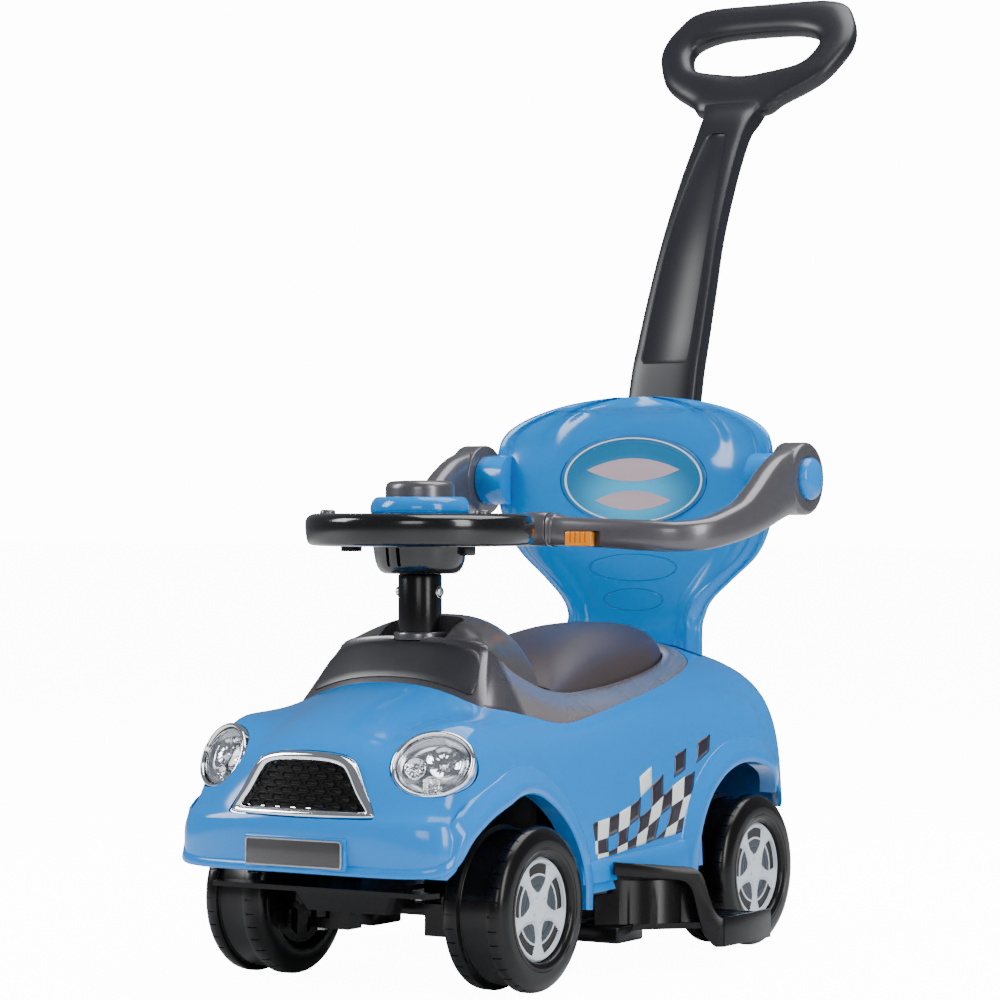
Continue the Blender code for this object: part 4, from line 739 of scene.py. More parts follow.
CHROME = Plastic("bright_chrome", (0.86, 0.86, 0.88), roughness=0.06, metallic=1.0, drift=0.01, spread=0.02,
                 grain=0.01)
HUBCAP = Plastic("hubcap_silver", (0.56, 0.60, 0.645), roughness=0.13, metallic=1.0, spread=0.06,
                 grain=0.03)
HUBCAP_GREY = Plastic("hubcap_grey_detail", (0.036, 0.048, 0.060), roughness=0.36, metallic=0.3, spread=0.05)
AMBER = Plastic("amber_orange", (0.80, 0.235, 0.0005), roughness=0.28, coat=0.2, grain=0.03)
STEEL = Plastic("plain_steel", (0.62, 0.62, 0.63), roughness=0.28, metallic=1.0, spread=0.08, grain=0.04)
PLATE = Plastic("plate_charcoal", (0.040, 0.038, 0.040), roughness=0.30, coat=0.2)
LAMP_BOWL = Plastic("lamp_bowl_satin", (0.50, 0.52, 0.55), roughness=0.22, metallic=0.9)
FILM_DARK = Plastic("film_charcoal", (0.017, 0.012, 0.021), roughness=0.30, coat=0.3, grain=0.02)
FILM_PALE = Plastic("film_off_white", (0.76, 0.79, 0.77), roughness=0.30, coat=0.3, grain=0.02)
PLATE_RIM = Plastic("plate_silver_rim", (0.42, 0.42, 0.44), roughness=0.25, metallic=0.8)


class Marks:
    """Marks that finishes add to a colour: engraved ovals with painted shade in their grooves, seams and badge
    artwork.
    """

    @staticmethod
    def reach(g: Graph, half_w: float, half_h: float, centre_z: float, power: float = 2.0) -> Socket:
        """Reach of an oval in millimetres; with a power of 1 it ends in points."""
        return g.group(OVAL, {"Centre Z": centre_z * MM, "Half Width": half_w * MM, "Half Height": half_h * MM,
                              "Point Power": power})[0]

    @staticmethod
    def badge(g: Graph, _: Socket) -> tuple[Socket, Socket]:
        """Badge: a pale ring, a cyan-grey field that is brighter in its middle, and two pointed lens shapes."""
        outline = Marks.reach(g, 77.8, 41.8, 420.6)
        glow = Marks.reach(g, 60.0, 34.0, 405.0)
        field_colour = g.mix(g.ramp(glow, 0.25, 1.25), (0.06, 0.48, 0.80), (0.012, 0.165, 0.37))
        ring = g.math("MULTIPLY", g.ramp(outline, 0.915, 0.925), g.ramp(outline, 0.952, 0.942))
        rim = g.ramp(outline, 0.955, 0.97)
        top = g.ramp(Marks.reach(g, 50.0, 11.0, 430.0, 1.0), 1.0, 0.985)
        low = g.ramp(Marks.reach(g, 41.0, 9.4, 401.5, 1.0), 1.0, 0.985)
        lens = g.math("MAXIMUM", top, low)
        painted = g.mix(rim, g.mix(ring, field_colour, (0.80, 0.84, 0.86)), (0.02, 0.15, 0.40))
        return g.mix(lens, painted, (0.50, 0.40, 0.44)), g.math("MAXIMUM", ring, lens)

    @staticmethod
    def engraved(g: Graph, colour: Socket) -> tuple[Socket, Socket]:
        """Two ovals engraved in the lower backrest as thin grooves, their colour darkened as painted shade."""
        lines = []
        for place in ((46.4, 12.4, 339.0), (31.2, 10.2, 309.0)):
            edge = g.math("ABSOLUTE", g.math("SUBTRACT", Marks.reach(g, *place), 1.0))
            lines.append(g.ramp(edge, 0.045, 0.015))
        groove = g.math("MAXIMUM", *lines)
        # painted shade: the grooves' colour is darkened towards deep blue, besides being sunk by the height
        return g.mix(g.math("MULTIPLY", groove, 0.45), colour, (0.0, 0.10, 0.30)), g.math("SUBTRACT", 1.0, groove)

    @staticmethod
    def seams(g: Graph, colour: Socket) -> tuple[Socket, Socket]:
        """Mould seams across the cockpit surround, which is gunmetal before the first one."""
        planes = [g.group(PLANE_LINE, {"Point": tuple(c * MM for c in point), "Normal": Vector(normal).normalized()})
                  for point, normal in SEAM_PLANES]
        lines = planes[0]["Line"]
        for plane in planes[1:]:
            lines = g.math("MAXIMUM", lines, plane["Line"])
        colour = g.mix(planes[0]["Before"], colour, (0.105, 0.100, 0.112))
        return g.mix(g.math("MULTIPLY", lines, 0.7), colour, (0.03, 0.028, 0.03)), g.math("SUBTRACT", 1.0, lines)


# Seams across the cockpit surround: a point on each and the seam plane's normal
SEAM_PLANES = [
    ((80, -225, 250), (0.25, 1.0, 0.10)),
    ((80, -128, 240), (0.1, 1.0, 0.28)),
    ((80, -118, 240), (0.1, 1.0, 0.34)),
    ((80, -52, 240), (0, 1.0, 0.1)),
    ((80, 18, 240), (0, 1.0, 0.1)),
    ((80, 72, 240), (0, 1.0, 0.0)),
]


class Repeats:
    """Geometry Nodes layouts for what repeats, and the running of them."""

    @staticmethod
    def stamped(g: Graph, ins: Mapping[str, Socket], points: Socket, turn: dict | None = None) -> tuple[Socket]:
        """End of a layout: stamps on the points, made real, in the given material.

        Args:
            g: the tree's graph.
            ins: its inputs.
            points: the points' socket.
            turn: rotation input of the stamps, if any.

        Returns:
            The result's socket.
        """
        stamp = g.add("GeometryNodeObjectInfo", {"Object": ins["Stamp"]}, transform_space="ORIGINAL")
        copies = g.add("GeometryNodeInstanceOnPoints", {"Points": points, "Instance": stamp.outputs["Geometry"],
                                                        **(turn or {})})
        real = g.add("GeometryNodeRealizeInstances", {0: copies.outputs[0]})
        painted = g.add("GeometryNodeSetMaterial", {"Geometry": real.outputs[0], "Material": ins["Material"]})
        return (painted.outputs[0],)

    @staticmethod
    def ring(g: Graph, ins: Mapping[str, Socket]) -> tuple[Socket, ...]:
        """Stamps round an axis along X, each turned to face outwards."""
        points = g.add("GeometryNodePoints", {"Count": ins["Count"]})
        index = g.add("GeometryNodeInputIndex").outputs[0]
        step = g.math("DIVIDE", 2 * math.pi, ins["Count"])
        angle = g.math("ADD", ins["First Angle"], g.math("MULTIPLY", index, step))
        across = g.math("MULTIPLY", g.math("COSINE", angle), ins["Radius"])
        upward = g.math("MULTIPLY", g.math("SINE", angle), ins["Radius"])
        around = g.add("ShaderNodeCombineXYZ", {"Y": across, "Z": upward}).outputs[0]
        place = g.add("ShaderNodeVectorMath", {0: around, 1: ins["Centre"]}, operation="ADD").outputs[0]
        moved = g.add("GeometryNodeSetPosition", {"Geometry": points.outputs[0], "Position": place})
        turn = g.add("ShaderNodeCombineXYZ", {"X": angle}).outputs[0]
        return Repeats.stamped(g, ins, moved.outputs[0], {"Rotation": turn})

    @staticmethod
    def row(g: Graph, ins: Mapping[str, Socket]) -> tuple[Socket, ...]:
        """Stamps in a straight row."""
        line = g.add("GeometryNodeMeshLine", {"Count": ins["Count"], "Start Location": ins["Start"],
                                              "Offset": ins["Step"]})
        return Repeats.stamped(g, ins, line.outputs[0])

    @staticmethod
    def lattice(g: Graph, o: Mapping[str, Socket]) -> tuple[Socket, ...]:
        """A staggered lattice of stamps on an upright face that bows in plan and leans back, cut to a taper."""
        width = g.math("MULTIPLY", g.math("SUBTRACT", o["Columns"], 1), o["Pitch X"])
        height = g.math("MULTIPLY", g.math("SUBTRACT", o["Rows"], 1), o["Pitch Z"])
        grid = g.add("GeometryNodeMeshGrid", {"Size X": width, "Size Y": height, "Vertices X": o["Columns"],
                                              "Vertices Y": o["Rows"]})
        place = g.add("ShaderNodeSeparateXYZ", {0: g.add("GeometryNodeInputPosition").outputs[0]})
        above = g.math("ADD", place.outputs["Y"], g.math("MULTIPLY", height, 0.5))
        row = g.math("ROUND", g.math("DIVIDE", above, o["Pitch Z"]))
        stagger = g.math("MULTIPLY", g.math("MODULO", row, 2.0), g.math("MULTIPLY", o["Pitch X"], 0.5))
        x = g.math("ADD", place.outputs["X"], stagger)
        z = g.math("ADD", above, o["Lowest Z"])
        bowed = g.math("MULTIPLY", g.math("MULTIPLY", x, x), o["Bow"])
        leaning = g.math("MULTIPLY", g.math("SUBTRACT", z, o["Lean From"]), o["Lean"])
        y = g.math("ADD", g.math("ADD", o["Face Y"], bowed), leaning)
        target = g.add("ShaderNodeCombineXYZ", {"X": x, "Y": y, "Z": z}).outputs[0]
        moved = g.add("GeometryNodeSetPosition", {"Geometry": grid.outputs[0], "Position": target})
        after = g.add("ShaderNodeSeparateXYZ", {0: g.add("GeometryNodeInputPosition").outputs[0]})
        rise = g.math("SUBTRACT", after.outputs["Z"], o["Lowest Z"])
        reach = g.math("SUBTRACT", o["Reach"], g.math("MULTIPLY", rise, o["Taper"]))
        outside = g.math("GREATER_THAN", g.math("ABSOLUTE", after.outputs["X"]), reach)
        kept = g.add("GeometryNodeDeleteGeometry", {"Geometry": moved.outputs[0], "Selection": outside})
        return Repeats.stamped(g, o, kept.outputs[0])

    @staticmethod
    def make(name: str, group: Group, stamp: BMesh, material: bpy.types.Material,
             values: dict[str, object], angle: float = 35.0) -> Thing:
        """Run a tree and keep its result as a plain mesh.

        Args:
            name: the piece's name.
            group: the tree's group.
            stamp: what is repeated, in metres round the origin; it is freed.
            material: its finish.
            values: the tree's other inputs by name, in metres.
            angle: edges sharper than this stay sharp in the shading.

        Returns:
            The piece.
        """
        bmesh.ops.recalc_face_normals(stamp, faces=stamp.faces)
        mesh = bpy.data.meshes.new(f"{name}_stamp")
        stamp.to_mesh(mesh)
        stamp.free()
        mesh.materials.append(material)
        pattern, obj = Bench.place(f"{name}_stamp", mesh), Bench.place(name)
        modifier = obj.modifiers.new("repeat", "NODES")
        modifier.node_group = tree = group.build()
        keys = {item.name: item.identifier for item in tree.interface.items_tree if item.in_out == "INPUT"}
        for label, value in {**values, "Stamp": pattern, "Material": material}.items():
            modifier[keys[label]] = value
        Bench.settle(obj)
        bpy.data.objects.remove(pattern, do_unlink=True)
        Bench.shade(obj, angle)
        return obj


def stamping(name: str, fill: Callable, *inputs: tuple[str, str, object]) -> Group:
    """A Geometry Nodes group of stamps, with the sockets that each of them has."""
    return Group(name, [("Geometry", "Geometry", None), *inputs, ("Stamp", "Object", None),
                        ("Material", "Material", None)], [("Geometry", "Geometry")], fill, "Geometry")


RING = stamping("ring_of_stamps", Repeats.ring, ("Count", "Int", 12), ("Radius", "Float", 0.05),
                ("Centre", "Vector", (0.0, 0.0, 0.0)), ("First Angle", "Float", 0.0))
ROW = stamping("row_of_stamps", Repeats.row, ("Count", "Int", 5), ("Start", "Vector", (0.0, 0.0, 0.0)),
               ("Step", "Vector", (0.0, 0.01, 0.0)))
LATTICE = stamping("staggered_lattice", Repeats.lattice, ("Columns", "Int", 13), ("Rows", "Int", 7),
                   ("Pitch X", "Float", 0.0146), ("Pitch Z", "Float", 0.0074), ("Lowest Z", "Float", 0.155),
                   ("Face Y", "Float", -0.4), ("Bow", "Float", 1.5), ("Lean", "Float", 0.2),
                   ("Lean From", "Float", 0.15), ("Reach", "Float", 0.056), ("Taper", "Float", 0.6))


# Body: rows of the cage from the bumper's lower edge over hood and tail, each from the centre line outwards
BODY_CAGE = [
    [(0, -328, 104), (40, -327, 104), (80, -324, 103), (104, -320, 103), (121, -313, 102), (131, -302, 101),
     (134, -293, 101), (134, -284, 101)],
    [(0, -331, 121), (40, -330, 121), (82, -327, 121), (106, -323, 121), (124, -314, 120), (133, -300, 118),
     (135, -288, 110), (134, -274, 101)],
    [(0, -331, 145), (40, -330, 145), (82, -327, 145), (106, -321, 145), (124, -310, 145), (133, -295, 142),
     (135, -278, 122), (134, -262, 101)],
    [(0, -327, 150), (40, -326, 150), (78, -320, 150), (100, -313, 151), (118, -302, 152), (129, -286, 152),
     (133, -268, 128), (134, -250, 101)],
    [(0, -324, 172), (38, -322, 172), (70, -315, 172), (90, -308, 170), (114, -296, 172), (129, -276, 172),
     (132, -256, 138), (134, -238, 100)],
    [(0, -314, 203), (34, -312, 203), (60, -303, 198), (80, -295, 201), (106, -283, 206), (127, -264, 198),
     (132, -244, 150), (134, -226, 98)],
    [(0, -288, 218), (34, -286, 217), (60, -279, 211), (80, -272, 218), (104, -263, 226), (126, -248, 212),
     (132, -230, 160), (134, -214, 95)],
    [(0, -252, 233), (36, -250, 231), (62, -245, 222), (82, -241, 222), (105, -236, 227), (125, -226, 212),
     (131, -214, 162), (134, -200, 92)],
    [(0, -216, 245), (38, -215, 243), (66, -212, 235), (87, -208, 229), (109, -204, 225), (123, -199, 209),
     (129, -192, 160), (133, -180, 88)],
    [(0, -178, 256), (38, -178, 254), (68, -177, 246), (91, -175, 235), (109, -173, 223), (121, -170, 205),
     (126, -166, 156), (132, -155, 80)],
    [(0, -130, 262), (38, -130, 258), (68, -130, 246), (93, -130, 230), (110, -130, 216), (118, -130, 197),
     (121, -128, 150), (131, -122, 72)],
    [(0, -85, 258), (38, -85, 254), (68, -85, 240), (92, -85, 224), (109, -85, 210), (116, -85, 191),
     (117, -85, 140), (131, -85, 70)],
    [(0, -35, 262), (38, -35, 258), (68, -35, 245), (90, -35, 230), (108, -35, 215), (115, -35, 194),
     (117, -35, 136), (132, -35, 72)],
    [(0, 25, 266), (38, 25, 262), (68, 25, 251), (90, 25, 238), (107, 25, 222), (117, 25, 200),
     (119, 25, 136), (133, 25, 72)],
    [(0, 85, 270), (36, 85, 267), (66, 85, 257), (88, 85, 245), (106, 85, 228), (119, 85, 204),
     (123, 85, 142), (133, 85, 74)],
    [(0, 140, 274), (34, 140, 271), (62, 140, 262), (84, 140, 252), (105, 140, 237), (122, 140, 210),
     (127, 140, 150), (133, 140, 78)],
    [(0, 190, 276), (32, 190, 273), (59, 191, 266), (83, 191, 255), (107, 191, 240), (124, 191, 212),
     (129, 190, 150), (133, 190, 88)],
    [(0, 238, 268), (30, 238, 266), (59, 239, 262), (85, 240, 253), (108, 237, 238), (124, 231, 211),
     (129, 221, 150), (132, 222, 100)],
    [(0, 276, 250), (30, 275, 248), (62, 276, 247), (88, 276, 239), (112, 270, 225), (126, 260, 197),
     (129, 245, 145), (132, 246, 108)],
    [(0, 292, 208), (32, 292, 207), (64, 291, 206), (92, 290, 203), (115, 283, 190), (127, 271, 168),
     (130, 258, 136), (132, 258, 114)],
    [(0, 294, 160), (34, 294, 160), (66, 292, 158), (92, 289, 154), (112, 283, 148), (126, 273, 140),
     (131, 265, 128), (131, 265, 117)],
    [(0, 290, 118), (34, 290, 118), (66, 288, 118), (92, 286, 118), (110, 282, 118), (122, 276, 118),
     (128, 271, 118), (130, 267, 118)],
]
HOOD_CREASE = (2, range(4, 9), 0.40)     # column, rows and strength of the hood's moulded edge
BUMPER_CREASE = (range(1, 3), 0.18)

# Where the front flare runs on as the bumper's lower lip: point, away from the edge, outward, width
LIP_CORNER = [
    ((129.5, -250, 145.2), (0, -0.36, 0.93), (1.0, 0, 0), 22.0),
    ((131.0, -281, 130), (0, -0.62, 0.78), (1.0, -0.08, 0), 21.5),
    ((128.0, -293, 112), (-0.35, -0.62, 0.70), (0.88, -0.47, 0), 19),
    ((121.0, -305, 104), (-0.25, -0.20, 0.95), (0.66, -0.75, 0), 16),
    ((102.0, -314.5, 102), (0, 0, 1), (0.36, -0.93, 0), 14),
    ((62, -321, 102), (0, 0, 1), (0.10, -0.99, 0), 13),
    ((0, -324.6, 102.5), (0, 0, 1), (0, -1, 0), 13),
]
# The opening's edge before the front wheel runs wider than the circle: (y, z) of what the shell loses there
ARCH_FRONT = [(-225, 60), (-225, 152), (-250, 146.4), (-268, 139.6), (-282.5, 131), (-292, 118), (-298, 108),
              (-304, 102), (-307, 92), (-307, 60)]
# Shoulder line of the side panel, and the sill's upper edge between the wheels: (y, z)
BELT = [(-143, 202), (-119, 207), (-71, 207), (-32, 211), (18, 219.5), (65, 226), (113, 229), (168, 232), (201, 228),
        (221, 218), (229, 204), (241, 185), (258, 169)]
SILL = [(-100, 94.5), (-66, 96), (-28, 97.3), (16, 99), (54, 101), (76, 103), (88, 110), (97, 124), (103, 140)]
# A flare's closed section as (outward, away from the opening's edge), with its corners rounded
FLARE_SECTION = [(-2.5, 24.0), (-0.7, 23.3), (0.3, 22.6), (1.4, 21.2), (6.5, 12.4), (7.2, 11.2), (7.6, 9.8),
                 (8.4, 2.2), (8.1, 0.9), (7.0, 0.0), (-9.0, 0.0), (-9.0, 2.8), (-2.5, 5.2)]


@dataclass
class Body:
    """Blue shell with its wheel-arch flares, bumper lip, plate pad and the chequered sheets on its sides."""

    wall: float = 3.0
    front_arch_r: float = 93.0
    rear_arch_r: float = 97.0
    flare_w: float = 22.0
    arch_gap: float = 1.5
    levels: int = 3
    belt_rise: float = 3.4
    film: float = 0.3
    side_x: float = 128.0                # where no skin is met beside a point
    tree: BVHTree | None = None

    def skin(self) -> BMesh:
        """The outer skin: the cage after subdivision, in car millimetres, with its faces outwards."""
        rows = [[Vector((-x, y, z)) for x, y, z in reversed(row[1:])] + [Vector(p) for p in row] for row in BODY_CAGE]
        middle = len(BODY_CAGE[0]) - 1
        bm = bmesh.new()
        crease = bm.edges.layers.float.new("crease_edge")
        loops = Mesher.skin(bm, rows, closed_ring=False)
        column, span, strength = HOOD_CREASE
        for i in span:
            for sign in (-1, 1):
                edge = bm.edges.get((loops[i][middle + sign * column], loops[i + 1][middle + sign * column]))
                edge[crease] = strength
        span, strength = BUMPER_CREASE
        for i in span:
            for a, b in zip(loops[i], loops[i][1:]):
                bm.edges.get((a, b))[crease] = strength
        mesh = bpy.data.meshes.new("cage")
        bm.to_mesh(mesh)
        bm.free()
        cage = Bench.place("cage", mesh)
        Bench.modify(cage, "SUBSURF", levels=self.levels, render_levels=self.levels)
        bm = bmesh.new()
        bm.from_mesh(cage.data)
        bpy.data.objects.remove(cage, do_unlink=True)
        bmesh.ops.recalc_face_normals(bm, faces=bm.faces)
        highest = max(bm.faces, key=lambda face: face.calc_center_median().z)
        if highest.normal.z < 0:
            bmesh.ops.reverse_faces(bm, faces=bm.faces)
        for vert in bm.verts:
            vert.co.x += self.belt(vert.co)
        bm.normal_update()
        return bm

    def belt(self, point: Vector) -> float:
        """How far the side panel under the shoulder line stands out at a point of the skin."""
        first, last = BELT[0][0], BELT[-1][0]
        if abs(point.x) < 80 or not first < point.y < last:
            return 0.0
        (y0, z0), (y1, z1) = next((a, b) for a, b in zip(BELT, BELT[1:]) if point.y <= b[0])
        slope = (z1 - z0) / (y1 - y0)
        below = (z0 + slope * (point.y - y0) - point.z) / math.hypot(1.0, slope)
        share = min(max(below / 7.5 + 0.5, 0.0), 1.0)
        fade = min((point.y - first) / 50, (last - point.y) / 25, (point.z - 95) / 40, 1.0)
        rise = self.belt_rise * share * share * (3 - 2 * share) * max(fade, 0.0)
        return math.copysign(rise, point.x)

    def top(self, x: float, y: float) -> float:
        """Height of the skin above a plan point."""
        return self.tree.ray_cast(Vector((x, y, 600)), Vector((0, 0, -1)))[0].z

    def side(self, y: float, z: float, sign: int = 1) -> float:
        """Distance of the body's side from the centre plane."""
        hit = self.tree.ray_cast(Vector((sign * 400, y, z)), Vector((-sign, 0, 0)))
        return abs(hit[0].x) if hit[0] else self.side_x

    def frames(self, axle_y: float, arch_r: float, angles: Iterable[float], sign: int) -> list[tuple[float, ...]]:
        """Frames round a wheel arch whose edge keeps to the body's side.

        Args:
            axle_y: the wheel's y.
            arch_r: the opening's radius.
            angles: angles round the wheel in degrees.
            sign: 1 for the left side, -1 for the right.

        Returns:
            Point, away, outward and width, as ten numbers each.
        """
        frames = []
        for degrees in angles:
            away = Vector((0, math.cos(math.radians(degrees)), math.sin(math.radians(degrees))))
            edge = Vector((0, axle_y, WHEEL_R)) + away * arch_r
            outer = edge + away * self.flare_w
            edge.x = sign * self.side(outer.y, max(outer.z, 104.0), sign)
            frames.append((*edge, *away, sign, 0.0, 0.0, self.flare_w))
        return frames

    def band(self, frames: Sequence[Sequence[float]]) -> BMesh:
        """Sweep the flare's section along smoothed frames."""
        rings = []
        for frame in Curve.smooth(frames, 4):
            point, away, outward = Vector(frame[:3]), Vector(frame[3:6]).normalized(), Vector(frame[6:9]).normalized()
            scale = frame[9] / self.flare_w
            rings.append([point + outward * n + away * (u * scale) for n, u in FLARE_SECTION])
        return Mesher.loft(rings, caps=True)

    def flares(self) -> list[BMesh]:
        """Front band with the bumper's lip, and both rear bands."""
        half = self.frames(-AXLE_Y, self.front_arch_r, (-6, 9, 24, 40, 55, 70, 85, 99, 111), 1)
        half += [(*p, *Vector(u).normalized(), *Vector(n).normalized(), w) for p, u, n, w in LIP_CORNER]
        other = [(-f[0], *f[1:3], -f[3], *f[4:6], -f[6], *f[7:]) for f in half[:-1]]
        bands = [self.band(half + other[::-1])]
        angles = (179, 164, 149, 134, 119, 104, 89, 74, 58, 41)
        return bands + [self.band(self.frames(AXLE_Y, self.rear_arch_r, angles, sign)) for _, sign in SIDES]

    def sill(self, sign: int) -> BMesh:
        """The sill that stands out below the side panel, from the front flare to the rear one."""
        rings = []
        for y, top in Curve.smooth(SILL, 5):
            rings.append([Vector((sign * (self.side(y, z, sign) + out), y, z))
                          for z, out in ((top + 1.5, -3), (top + 0.9, 0.3), (top - 0.6, 2.2), (top - 2.6, 3.3),
                                         (top - 8, 3.6), (84, 3.0), (79, 2.6), (79, -3))])
        return Mesher.loft(rings, caps=True)

    def build(self) -> None:
        """Build the shell and keep its skin for the pieces that sit on it."""
        bm = self.skin()
        self.tree = BVHTree.FromBMesh(bm)
        shell = Bench.piece("shell_skin", bm, BLUE.build(), recalc=False)
        Bench.modify(shell, "SOLIDIFY", thickness=self.wall * MM, offset=-1.0, use_rim=True)
        arches = []
        for _, sign in SIDES:
            for y, radius in ((-AXLE_Y, self.front_arch_r), (AXLE_Y, self.rear_arch_r)):
                inner, outer = (sign * 58, y, WHEEL_R), (sign * 170, y, WHEEL_R)
                arches.append(Mesher.rod(inner, outer, radius + self.arch_gap, 72))
            rings = [[Vector((sign * x, y, z)) for y, z in ARCH_FRONT] for x in (58, 170)]
            arches.append(Mesher.loft(rings, caps=True))
        Bench.carve(shell, arches, Cut.TAKE)
        outline = [(o.x, o.y) for o, _ in Cockpit.loop(self)]
        Bench.carve(shell, [Mesher.prism(outline, 190, 330), Front.opening()], Cut.TAKE)
        lamps = [Mesher.loft([Lamp(sign).ring(-0.4, -28), Lamp(sign).ring(-0.4, 28)], caps=True) for _, sign in SIDES]
        slots = [Mesher.block((-38, 238.3, 180), (38, 263.7, 320), 2.0),
                 Mesher.block((-41, 213.5, 230), (41, 232.5, 320))]
        Bench.carve(shell, [*lamps, *slots], Cut.TAKE)
        Bench.carve(shell, self.flares(), Cut.JOIN)
        Bench.carve(shell, [self.sill(sign) for _, sign in SIDES], Cut.JOIN)
        Bench.carve(shell, [Mesher.block((-49, -331.6, 105.5), (49, -325, 132), 1.6, 4)], Cut.JOIN, 38)
        Bench.dress(shell, "car", "blue", ["body_shell"])

    def sheets(self) -> None:
        """Chequered film on both sides between the wheels: charcoal and off-white squares with bare ones between."""
        cells = list(CHEQUER_LOOSE)
        for tones, left, right in zip(CHEQUER_TONES, CHEQUER_LINES, CHEQUER_LINES[1:]):
            for row, tone in enumerate(tones):
                if tone != " ":
                    cells.append((tone, (left[row], right[row], right[row + 1], left[row + 1])))
        for side, sign in SIDES:
            bm = bmesh.new()
            for tone, corners in cells:
                grid = [[self.on_side(corners, i / 4, j / 4, sign) for i in range(5)] for j in range(5)]
                before = set(bm.faces)
                Mesher.skin(bm, grid, closed_ring=False)
                for face in bm.faces:
                    if face not in before:
                        face.material_index = "DW".index(tone)
            bmesh.ops.dissolve_degenerate(bm, dist=0.01, edges=bm.edges)
            bm.normal_update()
            if sum(face.calc_area() * face.normal.x for face in bm.faces) * sign < 0:
                bmesh.ops.reverse_faces(bm, faces=bm.faces)
            sheet = Bench.piece(f"side_chequers_{side}", bm, FILM_DARK.build(), recalc=False)
            sheet.data.materials.append(FILM_PALE.build())
            Bench.modify(sheet, "SOLIDIFY", thickness=self.film * MM, offset=-1.0)
            Bench.dress(sheet, "car", "badge")

    def on_side(self, corners: Sequence[Pair], across: float, down: float, sign: int) -> Vector:
        """A point of a film square on the body's side.

        Args:
            corners: the square's (y, z) corners: front top, rear top, rear bottom, front bottom.
            across: share of the way to the rear.
            down: share of the way down.
            sign: 1 for the left side, -1 for the right.

        Returns:
            The point, in car millimetres.
        """
        a, b, c, d = (Vector(corner) for corner in corners)
        y, z = a.lerp(b, across).lerp(d.lerp(c, across), down)
        return Vector((sign * (self.side(y, z, sign) + 0.18), y, z))


# Chequered film: (y, z) down each line between two columns, the squares' tones in each column, and loose squares
CHEQUER_LINES = [
    [(-69.2, 128), (-67.2, 113.1), (-68, 101.9), (-67.1, 97.7)],
    [(-59.8, 129), (-63, 113), (-64.6, 101.6), (-65.3, 97.8)],
    [(-40.4, 131), (-44.9, 114.5), (-46.9, 102.3), (-47.6, 98.9)],
    [(-23.3, 134), (-27.1, 117.8), (-30.9, 105.1), (-32.9, 99.9)],
    [(-4.6, 138.5), (-9.2, 121.6), (-14, 108.1), (-15.8, 101.7)],
    [(13.4, 144.5), (9.4, 127.5), (3.3, 113), (-0.9, 103)],
    [(32.7, 153.6), (29.5, 134.8), (22.1, 119), (15.1, 104.4)],
    [(52.6, 162.1), (49.6, 143.4), (42.4, 126.5), (31.6, 106.6), (31.4, 106.4)],
    [(69.6, 168.6), (66.1, 150.7), (61.9, 133.5), (52.1, 115.2), (46.7, 107.6)],
    [(90.1, 175.3), (86.3, 157.8), (81.7, 139), (71.5, 120.5), (65, 108.7)],
    [(108.9, 179.9), (103.9, 161.5), (98.2, 143.2), (87.6, 124.8), (77.8, 110.5)],
]
CHEQUER_TONES = ["DW", "WDW", "D D", "WDW", "D D", " DW", "DWD", " D D", " WDW", " DWD"]
CHEQUER_LOOSE = [("W", ((14.1, 162.1), (34.5, 170.1), (32.9, 153.4), (13.4, 144.7))),
                 ("D", ((73.8, 178), (93.2, 182.2), (88.3, 163.6), (69.6, 157.8))),
                 ("D", ((114, 187.5), (135, 192.5), (130, 177.5), (107.3, 168.1)))]

# Grille: half outlines of (x, z) for the frame's outer and inner edges, point for point
GRILLE_OUTER = [(0, 199.5), (24, 198.5), (40, 195), (49, 187.5), (60, 169), (69.5, 153), (70.5, 149.5),
                (66, 147.6), (40, 147.2), (0, 147)]
GRILLE_INNER = [(0, 191.5), (22, 190.8), (35, 188), (41.5, 182), (51, 166), (58.5, 156.5), (59.8, 154.6),
                (57, 153.7), (36, 153.6), (0, 153.5)]


